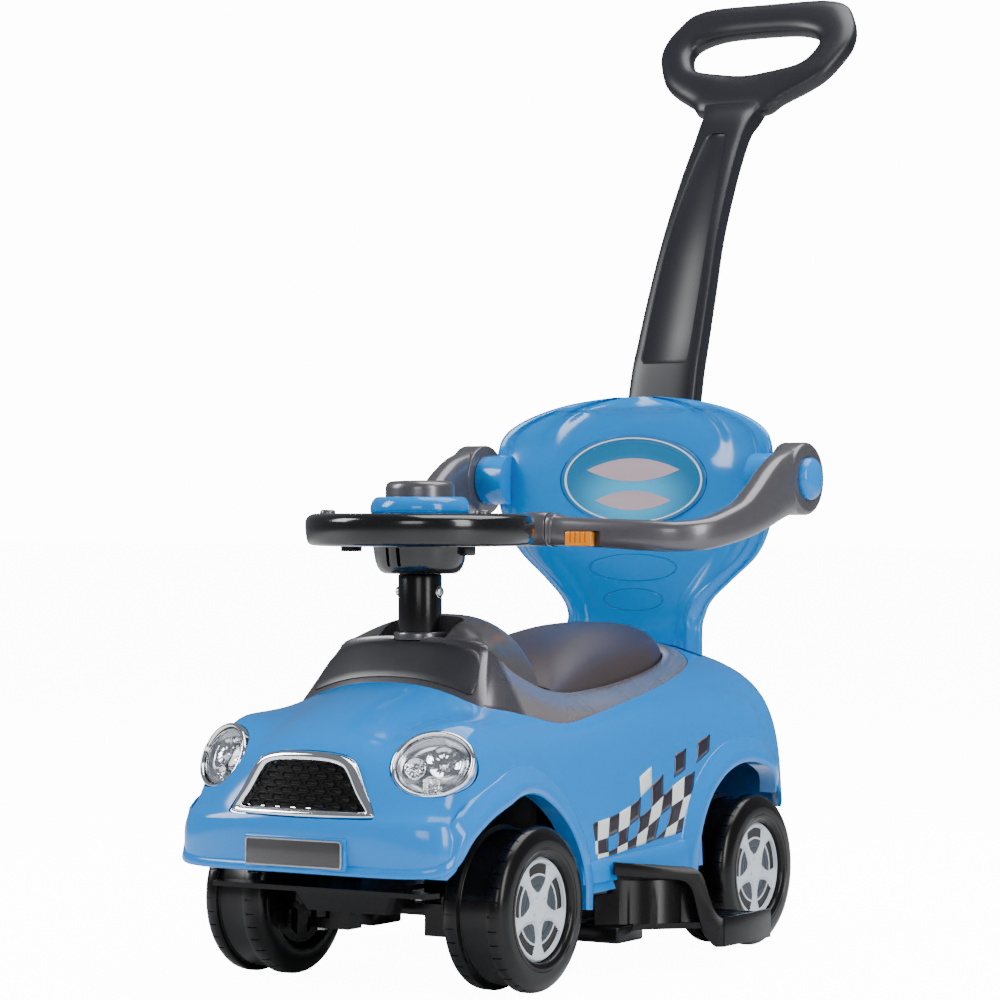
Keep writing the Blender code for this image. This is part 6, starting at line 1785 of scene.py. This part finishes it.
# Guard arm: centre line and half depth and half height of its section, from the split to the hub
GUARD_PATH = [
    (20, 35, 375.5, 11.0, 13.8), (40, 34.5, 374, 11.0, 12.8), (66, 34.5, 373, 11.0, 12.8),
    (92, 36, 371.8, 11.0, 13.2), (118, 39.5, 370.6, 11.2, 13.4), (140, 48, 370, 11.4, 13.4),
    (157, 66, 372.2, 11.6, 14.0), (166, 92, 379, 11.8, 15.6), (170, 115, 386, 12.0, 17.6),
    (171.3, 130, 392.5, 12.2, 20.4), (171.6, 147, 400.3, 12.2, 23.6), (171.7, 163, 408, 12.2, 26.4),
    (171.7, 181, 415, 12.2, 28.8), (171.7, 204, 420, 12.2, 30.0),
]
SOCKET_PATH = [(-20, 34.8, 374, 11.0, 12.8), (-14, 35, 375, 12.0, 14.6), (4, 35, 376, 12.4, 15.2)]


@dataclass
class Guard:
    """Two guard arms that meet in front of the child, their hubs and caps, and the thumb slide."""

    split_x: float = 19.5
    latch: tuple[float, float, float, float] = (41.0, 68.0, 361.0, 374.0)
    segments: int = 96

    def stations(self, sign: int) -> list[tuple[float, ...]]:
        """The arm's path.

        Args:
            sign: 1 for the left arm, -1 for the right.

        Returns:
            Smoothed stations of point, half depth and half height.
        """
        path = [s for s in GUARD_PATH if s[0] > (self.split_x + 9 if sign > 0 else 26)]
        smooth = Curve.smooth(path, 6)
        split = self.split_x
        if sign > 0:
            start = [(split + 0.3, 35, 375.3, 11.2, 14.0), (split + 0.9, 35, 375.3, 11.8, 14.6),
                     (split + 2.0, 35, 375.3, 12.0, 14.8), (split + 4.6, 35, 375.3, 12.0, 14.8),
                     (split + 5.6, 35, 375.2, 11.8, 14.6), (split + 6.3, 35, 375.1, 11.2, 13.9),
                     (split + 7.5, 35, 375.0, 11.0, 13.6)]
            return [(s[0], *s[1:]) for s in start + smooth]
        start = [(-(split - 0.3), 35, 376, 11.6, 14.4), (-(split - 1.2), 35, 376, 12.2, 15.0)]
        start += Curve.smooth([(-s[0], *s[1:]) for s in reversed(SOCKET_PATH)], 5)
        return [(-s[0], *s[1:]) for s in start + smooth]

    def build(self) -> None:
        """Build both arms with what they carry."""
        for side, sign in SIDES:
            name = f"guard_arm_{side}"
            arm = Bench.piece(f"guard_rail_{side}", Curve.sweep(self.stations(sign), 3.2, 32), GUNMETAL.build(), 42)
            hub = Mesher.revolve([(159.2, 0), (159.2, 32), (159.6, 32.7), (160.4, 33), (180.4, 33), (181.8, 32.6),
                                  (183.0, 31.6), (183.8, 30.2), (184, 28.8), (184, 0)],
                                 (0, HUB_Y, HUB_Z), Axis.X, self.segments, sign)
            Bench.carve(arm, [hub], Cut.JOIN, 42)
            cuts = [Mesher.rod((sign * 150, HUB_Y, HUB_Z), (sign * 190, HUB_Y, HUB_Z), 6.5, 40),
                    Mesher.rod((sign * 178.4, HUB_Y, HUB_Z), (sign * 190, HUB_Y, HUB_Z), 19.8, 96)]
            x0, x1, z0, z1 = self.latch
            if sign > 0:
                cuts.append(Mesher.block((x0 - 1, 15, z0 - 0.5), (x1 + 8, 30, z1 + 0.5), 1.2, 3))
            else:
                cuts.append(Mesher.block((-5, 15, z0 + 4), (5.5, 30, z1 - 1), 1.0, 3))
            Bench.carve(arm, cuts, Cut.TAKE, 42)
            Bench.dress(arm, name, "gunmetal", [name])
            cap = Bench.piece(f"hub_cap_{side}", Mesher.revolve(
                [(181.5, 0), (181.5, 19.0), (182, 19.4), (185.8, 19.4), (187.6, 18.9), (189.6, 17.4), (191.4, 14.8),
                 (192.7, 11), (193.5, 6), (193.8, 0)], (0, HUB_Y, HUB_Z), Axis.X, self.segments, sign),
                BLUE.build(), 50)
            Bench.dress(cap, f"guard_cap_{side}", "blue", [f"guard_cap_{side}"])
        self.slide()

    def slide(self) -> None:
        """Amber thumb slide with grip ribs, and the catch that shows in the other arm's window."""
        x0, x1, z0, z1 = self.latch
        slide = Bench.piece("thumb_slide", Mesher.block((x0, 22.2, z0), (x1, 29.6, z1), 1.4, 4), AMBER.build())
        grooves = [Mesher.block((x0 + 5 + n * 5, 20, z0 + 3), (x0 + 6.6 + n * 5, 23.2, z1 + 2)) for n in range(4)]
        Bench.carve(slide, [Mesher.join(grooves)], Cut.TAKE)
        Bench.dress(slide, "guard_latch", "amber", ["guard_latch"])
        catch = Bench.piece("catch_window", Mesher.block((-4.6, 22.8, z0 + 4.4), (5.1, 29.6, z1 - 1.4), 0.9, 3),
                            AMBER.build())
        Bench.dress(catch, "guard_arm_right", "amber", ["guard_catch"])


# Push handle: y, z, full width and half thickness of the shaft from inside the body to the grip
SHAFT = [
    (251, 205, 74, 12.0), (251, 262, 74, 12.0), (254, 340, 74, 12.0), (263, 430, 74, 12.0), (281, 514, 72.3, 12.2),
    (292.9, 548.4, 70.4, 12.2), (312.6, 600.7, 66.3, 12.2), (334.4, 653.7, 60.0, 12.0), (363.5, 707.8, 54.8, 12.0),
    (387, 744.6, 51.8, 12.0), (400.4, 763.4, 53.2, 12.0), (413, 775.3, 58.0, 12.0), (420, 785, 66, 11.0),
]
GRIP_OUTER = [(0, 147), (45, 147), (70, 145), (88, 138), (98, 123), (105, 107), (107, 90), (103, 74), (90, 48),
              (74, 33), (62, 25), (49, 16), (36, 4), (0, 3)]
GRIP_HOLE = [(0, 108), (36, 107), (58, 102), (68, 93), (68, 80), (56, 63), (30, 57), (0, 54)]
# Sunk panel on the shaft's front: height and width
PANEL = [(527.5, 43), (531.5, 50), (548.4, 50.5), (586, 49), (644, 44), (694, 35.5), (734, 27), (748, 21), (752, 14)]


@dataclass
class Handle:
    """Push handle: flat shaft with a sunk front panel, and a closed grip."""

    origin: Triple = (0.0, 413.0, 775.0)
    up: Triple = (0.0, 0.576, 0.818)
    normal: Triple = (0.0, -0.818, 0.576)
    centre: float = 80.0
    panel_depth: float = 1.8

    def reach(self, outline: Sequence[Pair], angle: float) -> float:
        """Distance from the grip's centre to a closed outline in a direction."""
        direction = Vector((math.cos(angle), math.sin(angle)))
        points = [Vector((x, v - self.centre)) for x, v in Curve.mirror(outline)]
        best = 0.0
        for a, b in zip(points, points[1:] + points[:1]):
            edge = b - a
            cross = direction.x * edge.y - direction.y * edge.x
            if abs(cross) < 1e-9:
                continue
            reach = (a.x * edge.y - a.y * edge.x) / cross
            share = (a.x * direction.y - a.y * direction.x) / cross
            if reach > 0 and -1e-6 <= share <= 1 + 1e-6:
                best = max(best, reach)
        return best

    def grip(self) -> BMesh:
        """The closed grip, a ring round its hole."""
        outer, hole = Curve.smooth(GRIP_OUTER, 5), Curve.smooth(GRIP_HOLE, 5)
        rings = []
        for i in range(128):
            angle = 2 * math.pi * (i + 0.5) / 128
            far, near = self.reach(outer, angle), self.reach(hole, angle)
            middle, half = (far + near) / 2, (far - near) / 2
            rings.append([Vector(self.origin) + Vector(((middle + a) * math.cos(angle), 0, 0))
                          + Vector(self.up) * (self.centre + (middle + a) * math.sin(angle)) + Vector(self.normal) * b
                          for a, b in Curve.oval(half - 0.8, 11.3, 2.6, 28)])
        return Mesher.loft(rings, closed_path=True)

    def build(self) -> None:
        """Build the handle."""
        stations = Curve.smooth(SHAFT, 5)
        last = len(stations) - 1
        rings, frames = [], []
        for i, (y, z, width, half_t) in enumerate(stations):
            (y0, z0, _, _), (y1, z1, _, _) = stations[max(i - 1, 0)], stations[min(i + 1, last)]
            run = Vector((0, y1 - y0, z1 - z0)).normalized()
            normal = Vector((0, -run.z, run.y))
            rings.append([Vector((a, y, z)) + normal * b for a, b in Curve.oval(width / 2, half_t, 5.0, 48)])
            frames.append((z, y, normal, half_t))
        handle = Bench.piece("push_bar", Mesher.loft(rings, caps=True), HANDLE.build(), 42)
        Bench.carve(handle, [self.grip()], Cut.JOIN, 42)
        rings = []
        for z, width in Curve.smooth(PANEL, 4):
            index = max(k for k in range(len(frames)) if frames[k][0] <= z)
            (za, ya, normal, half_t), (zb, yb, _, _) = frames[index], frames[index + 1]
            middle = Vector((0, ya + (yb - ya) * (z - za) / (zb - za), z))
            ring = []
            for grow, out in ((-1.4, half_t - self.panel_depth), (-0.5, half_t - self.panel_depth + 0.5),
                              (0.0, half_t - 0.4), (0.9, half_t + 0.4), (0.9, half_t + 6)):
                ring.append(middle + normal * out + Vector(((width / 2 + grow), 0, 0)))
            rings.append(ring + [Vector((-p.x, p.y, p.z)) for p in reversed(ring)])
        Bench.carve(handle, [Mesher.loft(rings, caps=True)], Cut.TAKE, 42)
        Bench.dress(handle, "car", "handle_grey", ["push_handle"])


class Metal(Enum):
    """Which finish a face of the hubcap has."""

    BRIGHT = 0
    GREY = 1
    DARK = 2


@dataclass
class Wheels:
    """Four blow-moulded wheels with tread slits and sculpted five-spoke hubcaps."""

    segments: int = 108
    slits: int = 36
    cap_along: float = 53.4
    spokes: int = 5
    bolt_circle: float = 11.0
    profile: list[Pair] = field(default_factory=lambda: [
        (8, 5), (53, 5), (53, 43.2), (57.4, 43.2), (58.5, 43.5), (59.3, 44.2), (60.5, 46.0), (61, 47.6), (61, 49.2),
        (60.5, 49.6), (60.5, 50.3), (61, 50.8), (61, 56.0), (60.7, 58.2), (59.8, 61.0), (58.4, 63.8), (56.8, 65.9),
        (55.0, 67.2), (53.0, 67.8), (51.0, 68), (46.6, 68), (45.9, 67.6), (45.2, 66.4), (45, 64.1), (44.6, 63.6),
        (44.0, 63.5), (20, 63.5), (19.4, 63.6), (19, 64.1), (18.6, 66.6), (18.1, 67.7), (17.4, 68), (11, 68),
        (8.6, 67.8), (6.4, 67.2), (4.6, 65.9), (3.0, 63.8), (1.4, 61.0), (0.4, 58.2), (0, 56), (0, 47.4), (0.5, 46),
        (1.6, 44.3), (2.4, 43.5), (3.4, 43.2), (8, 43.2)])

    def height(self, r: float, angle: float) -> tuple[float, Metal]:
        """How far the hubcap's face stands out at a place.

        Args:
            r: distance from its middle.
            angle: angle round it.

        Returns:
            The height in millimetres and the finish there.
        """
        def ease(value: float) -> float:
            """Hold a value between 0 and 1, easing in and out."""
            value = min(max(value, 0.0), 1.0)
            return value * value * (3 - 2 * value)

        turn = 2 * math.pi / self.spokes
        off = (angle + 0.5 * math.pi + 0.5 * turn) % turn - 0.5 * turn
        half = 4.2 + (0.024 if r > 23.0 else 0.030) * (r - 23.0) ** 2
        inside = min(abs(off) * r - half, 38.4 - r, (r - 13.6) * 1.2)
        hollow = min(abs(off) * r / max(half, 1.0), 1.0) ** 2
        crown = 2.7 - 1.5 * hollow * ease((40 - r) / 4) + 0.5 * ease((22 - r) / 12)
        face = crown - 0.55 * ease((inside + 1.9) / 0.35)
        floor = 0.2
        metal = Metal.BRIGHT
        if inside > 0.3:
            metal = Metal.DARK if r > 29.4 else Metal.GREY
            if 27.6 < r <= 29.4:
                floor, metal = 0.9, Metal.BRIGHT
            elif r < 27.6:
                floor = 0.75 - 0.35 * ease((0.6 - abs(r - 20.5)) / 0.3)
                stud = math.cos(off * 30 + r) * math.cos(r * 2.4)
                floor += 0.22 * ease((stud - 0.2) / 0.5) if r > 21.5 else 0.0
        value = face + (floor - face) * ease((inside + 0.35) / 0.75)
        if r > 38.4:
            value = 2.8 - 2.1 * ease((r - 40.6) / 1.9)
        bolt = math.hypot(r * math.cos(off) - self.bolt_circle, r * math.sin(off))
        value -= 1.4 * ease((1.75 - bolt) / 0.5)
        if r < 7.6:
            value = 2.9 + 0.75 * ease((7.6 - r) / 0.8) - 0.35 * ease((3.6 - r) / 0.6)
        return value, metal

    def cap(self) -> BMesh:
        """The hubcap's face and back as one closed mesh on the x axis, facing +X, its back at x = 0."""
        bm = bmesh.new()
        radii = [2.0, 3.0, 3.4, 3.9, 5.0, 6.4, 7.0, 7.7, 8.4, 9.0, 9.5, 10.0, 10.5, 11.0, 11.5, 12.0, 12.5, 13.1]
        radii += [13.7 + 0.6 * i for i in range(23)] + [27.3, 27.6, 27.8, 28.5, 29.3, 29.5, 30.3, 31.5, 33.0, 34.4,
                                                        35.1, 35.3, 36.2, 37.0, 37.8, 38.2, 38.6, 39.4, 40.4, 40.9,
                                                        41.6, 42.1, 42.5]
        count = 270
        rings, kinds = [], []
        for r in radii:
            ring, kind = [], []
            for i in range(count):
                angle = 2 * math.pi * i / count
                value, metal = self.height(r, angle)
                ring.append(Vector((value, r * math.cos(angle), r * math.sin(angle))))
                kind.append(metal.value)
            rings.append(ring)
            kinds.append(kind)
        rings.append([Vector((0.0, p.y, p.z)) for p in rings[-1]])
        loops = Mesher.skin(bm, rings)
        bm.faces.ensure_lookup_table()
        for index, face in enumerate(bm.faces):
            row, column = divmod(index, count)
            if row < len(kinds) - 1:
                near = (kinds[row][column], kinds[row + 1][column])
                face.material_index = max(near) if min(near) else 0
        middle = bm.verts.new((self.height(0.5, 0.0)[0], 0, 0))
        back = bm.verts.new((0, 0, 0))
        for i in range(count):
            bm.faces.new((loops[0][i], loops[0][(i + 1) % count], middle))
            bm.faces.new((loops[-1][i], loops[-1][(i + 1) % count], back))
        return bm

    def slit_cutter(self, along: float, length: float) -> Thing:
        """A ring of narrow blocks that cut the tread's slits.

        Args:
            along: middle of the slits, from the wheel's inner face.
            length: their length.

        Returns:
            The cutter, turning about an axis through the world's origin.
        """
        stamp = bmesh.new()
        bmesh.ops.create_cube(stamp, size=1.0)
        for vert in stamp.verts:
            vert.co = Vector((vert.co.x * length, vert.co.y * 5.0 + 1.2, vert.co.z * 1.15)) * MM
        return Repeats.make("slits", RING, stamp, TYRE.build(), {
            "Count": self.slits, "Radius": WHEEL_R * MM, "Centre": (along * MM, 0.0, 0.0)})

    def build(self) -> None:
        """Build one wheel and one hubcap, and place them four times."""
        wheel = Bench.place("wheel")
        bm = Mesher.revolve(self.profile, (0, 0, 0), Axis.X, self.segments)
        bmesh.ops.scale(bm, vec=Vector((MM, MM, MM)), verts=bm.verts)
        bmesh.ops.recalc_face_normals(bm, faces=bm.faces)
        bm.to_mesh(wheel.data)
        bm.free()
        for along, length in ((54.6, 14.0), (8.4, 13.0)):
            cutter = self.slit_cutter(along, length)
            Bench.modify(wheel, "BOOLEAN", operation=Cut.TAKE.value, solver="EXACT", object=cutter)
            bpy.data.objects.remove(cutter, do_unlink=True)
        cap = self.cap()
        for end, y in (("front", -AXLE_Y), ("rear", AXLE_Y)):
            for side, sign in SIDES:
                body = f"wheel_{end}_{side}"
                inner_x = sign * (WHEEL_OUTER_X - WHEEL_W)
                copy = bmesh.new()
                copy.from_mesh(wheel.data)
                bmesh.ops.transform(copy, matrix=Matrix.Translation((inner_x, y, WHEEL_R))
                                    @ Matrix.Diagonal((sign / MM, 1 / MM, 1 / MM, 1)), verts=copy.verts)
                tyre = Bench.piece(f"tyre_{end}_{side}", copy, TYRE.build(), 32)
                Bench.dress(tyre, body, "tyre_black", [body])
                copy = cap.copy()
                bmesh.ops.transform(copy, matrix=Matrix.Translation((inner_x + sign * self.cap_along, y, WHEEL_R))
                                    @ Matrix.Diagonal((sign, 1, 1, 1)), verts=copy.verts)
                face = Bench.piece(f"wheel_cap_{end}_{side}", copy, HUBCAP.build(), 40)
                face.data.materials.append(HUBCAP_GREY.build())
                face.data.materials.append(BLACK.build())
                Bench.dress(face, body, "hubcap_silver", [f"hubcap_{end}_{side}"])
        cap.free()
        bpy.data.objects.remove(wheel, do_unlink=True)


# Footrest outlines on its front wall: distance along the wall and height
STEP_TOP = [(21, 94.7), (40, 93), (70, 90.5), (86, 89), (93, 87), (98, 82), (101.5, 73), (105, 61), (109, 51.5),
            (113, 46.5), (116.7, 44.5)]
STEP_INNER = [(21, 83.7), (40, 82), (70, 79.5), (80, 78), (86, 74.5), (90, 67), (93, 55), (96, 43), (100, 33),
              (105, 26), (110, 20.5)]


@dataclass
class Footrest:
    """Gloss black footrest: a rim strip, a sunk front wall, and a ribbed tread."""

    sign: int = 1
    start: Triple = (122.0, -70.0, 0.0)
    end: Triple = (205.0, 12.0, 0.0)
    ribs: int = 5
    rib_pitch: float = 14.0

    def point(self, along: float, depth: float, z: float) -> Vector:
        """A point on the front wall.

        Args:
            along: distance along it.
            depth: distance behind its face.
            z: height.

        Returns:
            The point.
        """
        run = (Vector(self.end) - Vector(self.start)).normalized()
        point = Vector(self.start) + run * along + Vector((-run.y, run.x, 0)) * depth
        return Vector((point.x * self.sign, point.y, z))

    def plate(self, outline: Sequence[Pair], front: float, back: float) -> BMesh:
        """A plate parallel to the front wall."""
        return Mesher.loft([[self.point(s, depth, z) for s, z in outline] for depth in (front, back)], caps=True)

    def build(self, side: str) -> None:
        """Build the footrest with its ribs.

        Args:
            side: "left" or "right".
        """
        sign = self.sign
        strip = Curve.smooth(STEP_TOP, 4) + [(116.7, 20.5)] + Curve.smooth(STEP_INNER, 4)[::-1]
        rest = Bench.piece(f"step_{side}", self.plate(strip, 0, 7), BLACK.build(), 40)
        panel = [(22, 89), (78, 84), (90, 76), (96, 60), (104, 44), (112, 38.5), (6, 38.5), (6, 66), (22, 68)]
        plan = [self.point(22 + 3 * i, 14 - 9.5 * math.sin(math.pi * (i + 0.5) / 23), 0) for i in range(23)]
        plan += [self.point(88, 20, 0), self.point(22, 20, 0)]
        drum = Mesher.prism([(p.x, p.y) for p in plan], 39.2, 78.3)
        wall = Mesher.block((sign * 201.4, 13, 20.5), (sign * 205.4, 98, 45))
        corners = ((100.4, -40), (146, -40), (203, 17), (203, 98), (100.4, 98))
        tread = Mesher.prism([(sign * x, y) for x, y in corners], 36.5, 41.5)
        block = Mesher.block((sign * 100.4, -66, 27), (sign * 146, -22, 41), 2.5, 3)
        Bench.carve(rest, [tread, wall, block, self.plate(panel, 11, 15), drum], Cut.JOIN, 40)
        Bench.soften(rest, 0.7, 2, 50.0, 40.0)
        Bench.dress(rest, "car", "black", [f"footrest_{side}"])
        stamp = Mesher.block((-28, -2.5, 0), (28, 2.5, 2.6), 1.0, 2)
        bmesh.ops.scale(stamp, vec=Vector((MM, MM, MM)), verts=stamp.verts)
        ribs = Repeats.make(f"step_ribs_{side}", ROW, stamp, BLACK_GLOSS.build(), {
            "Count": self.ribs, "Start": (sign * 168 * MM, (32.5 + FRAME_SHIFT_Y) * MM, 40.6 * MM),
            "Step": (0.0, self.rib_pitch * MM, 0.0)})
        Bench.dress(ribs, "car", "black")


def finish_solids(nodes: dict[str, Thing]) -> None:
    """Give the solids that stay their finishes.

    Args:
        nodes: the frame's nodes by name.
    """
    finishes = {"storage_bin": BLACK, "chassis": BLACK, "seat_hinge_pin": STEEL, "steering_rod": STEEL,
                "tie_plate": BLACK, "rear_axle": STEEL}
    for side, _ in SIDES:
        finishes.update({f"kingpin_{side}": STEEL, f"knuckle_{side}": BLACK, f"guard_pin_{side}": STEEL})
        for end in ("front", "rear"):
            finishes[f"hubcap_{end}_{side}_inner"] = BLACK
    for name, finish in finishes.items():
        obj = nodes[name]
        material = finish.build()
        if not obj.material_slots:
            obj.data.materials.append(material)
        for entry in obj.material_slots:
            entry.material = material
        LOG.info("%s: kept solid, %s", name, finish.name)


@dataclass
class Studio:
    """Pale floor, soft lights and the camera."""

    azimuth: float = 31.81
    pitch: float = 0.13
    lens: float = 127.7
    distance: float = 3.120
    height: float = 0.3945
    sideways: float = -0.010
    floor_size: float = 60.0
    floor_lift: float = 13.2
    target: Triple = (0.0, 0.0, 0.35)
    ambient: Colour = (0.20, 0.215, 0.235)
    backdrop: Colour = (14.0, 14.0, 14.0)

    def camera(self) -> None:
        """Make the camera and set it as the scene's."""
        turn, tilt = math.radians(self.azimuth), math.radians(self.pitch)
        back = Vector((math.sin(turn), -math.cos(turn), 0))
        right = Vector((math.cos(turn), math.sin(turn), 0))
        data = bpy.data.cameras.new("camera")
        data.lens = self.lens
        data.sensor_width = 36.0
        data.clip_end = 60.0
        camera = Bench.place("camera", data)
        camera.location = back * self.distance + right * self.sideways + Vector((0, FRAME_SHIFT_Y * MM, self.height))
        camera.rotation_euler = (math.pi / 2 + tilt, 0, turn)
        bpy.context.scene.camera = camera

    def light(self, name: str, place: Triple, size: Pair, power: float) -> None:
        """Add a soft rectangular light that faces the car.

        Args:
            name: the light's name.
            place: where it hangs.
            size: its width and height.
            power: its power in watts.
        """
        data = bpy.data.lights.new(name, "AREA")
        data.shape = "RECTANGLE"
        data.size, data.size_y = size
        data.energy = power
        lamp = Bench.place(name, data)
        lamp.location = place
        lamp.rotation_euler = (Vector(self.target) - Vector(place)).to_track_quat("-Z", "Y").to_euler()

    def build(self) -> None:
        """Build floor, world, lights and camera."""
        mesh = bpy.data.meshes.new("floor")
        half = self.floor_size / 2
        mesh.from_pydata([(-half, -half, 0), (half, -half, 0), (half, half, 0), (-half, half, 0)], [], [(0, 1, 2, 3)])
        pale = FLOOR.build()
        mesh.materials.append(pale)
        g = Graph(pale.node_tree)
        lifted = g.math("MULTIPLY", g.add("ShaderNodeLightPath").outputs["Is Camera Ray"], self.floor_lift)
        g.feed(g.tree.nodes["Principled BSDF"], {"Emission Color": (1.0, 1.0, 1.0, 1.0), "Emission Strength": lifted})
        Bench.place("floor", mesh)
        world = bpy.data.worlds.new("studio")
        world.use_nodes = True
        g = Graph(world.node_tree)
        seen = g.add("ShaderNodeLightPath").outputs["Is Camera Ray"]
        g.feed(g.tree.nodes["Background"], {"Color": g.mix(seen, self.ambient, self.backdrop)})
        bpy.context.scene.world = world
        self.light("overhead", (0.7, 0.6, 2.8), (2.4, 2.4), 118.0)
        self.light("left_key", (-2.4, -1.8, 1.9), (1.1, 1.7), 96.0)
        self.light("right_fill", (2.8, -0.9, 1.3), (0.8, 1.9), 56.0)
        self.light("front_fill", (1.4, -3.2, 1.2), (1.2, 0.9), 20.0)
        self.camera()


FLOOR = Plastic("studio_floor", (0.86, 0.87, 0.88), roughness=0.55, drift=0.01, spread=0.02, grain=0.0)


def main() -> None:
    """Build every sub-assembly in order."""
    logging.basicConfig(level=logging.INFO, format="%(message)s")
    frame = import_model()
    Studio().build()
    body = Body()
    body.build()
    body.sheets()
    Front().build()
    for side, sign in SIDES:
        Lamp(sign).build(side)
    Cockpit(body).build()
    Seat().build()
    Steering().build()
    Backrest(body).build()
    Guard().build()
    Handle().build()
    Wheels().build()
    for side, sign in SIDES:
        Footrest(sign).build(side)
    finish_solids(frame["nodes"])


if __name__ == "__main__":
    main()
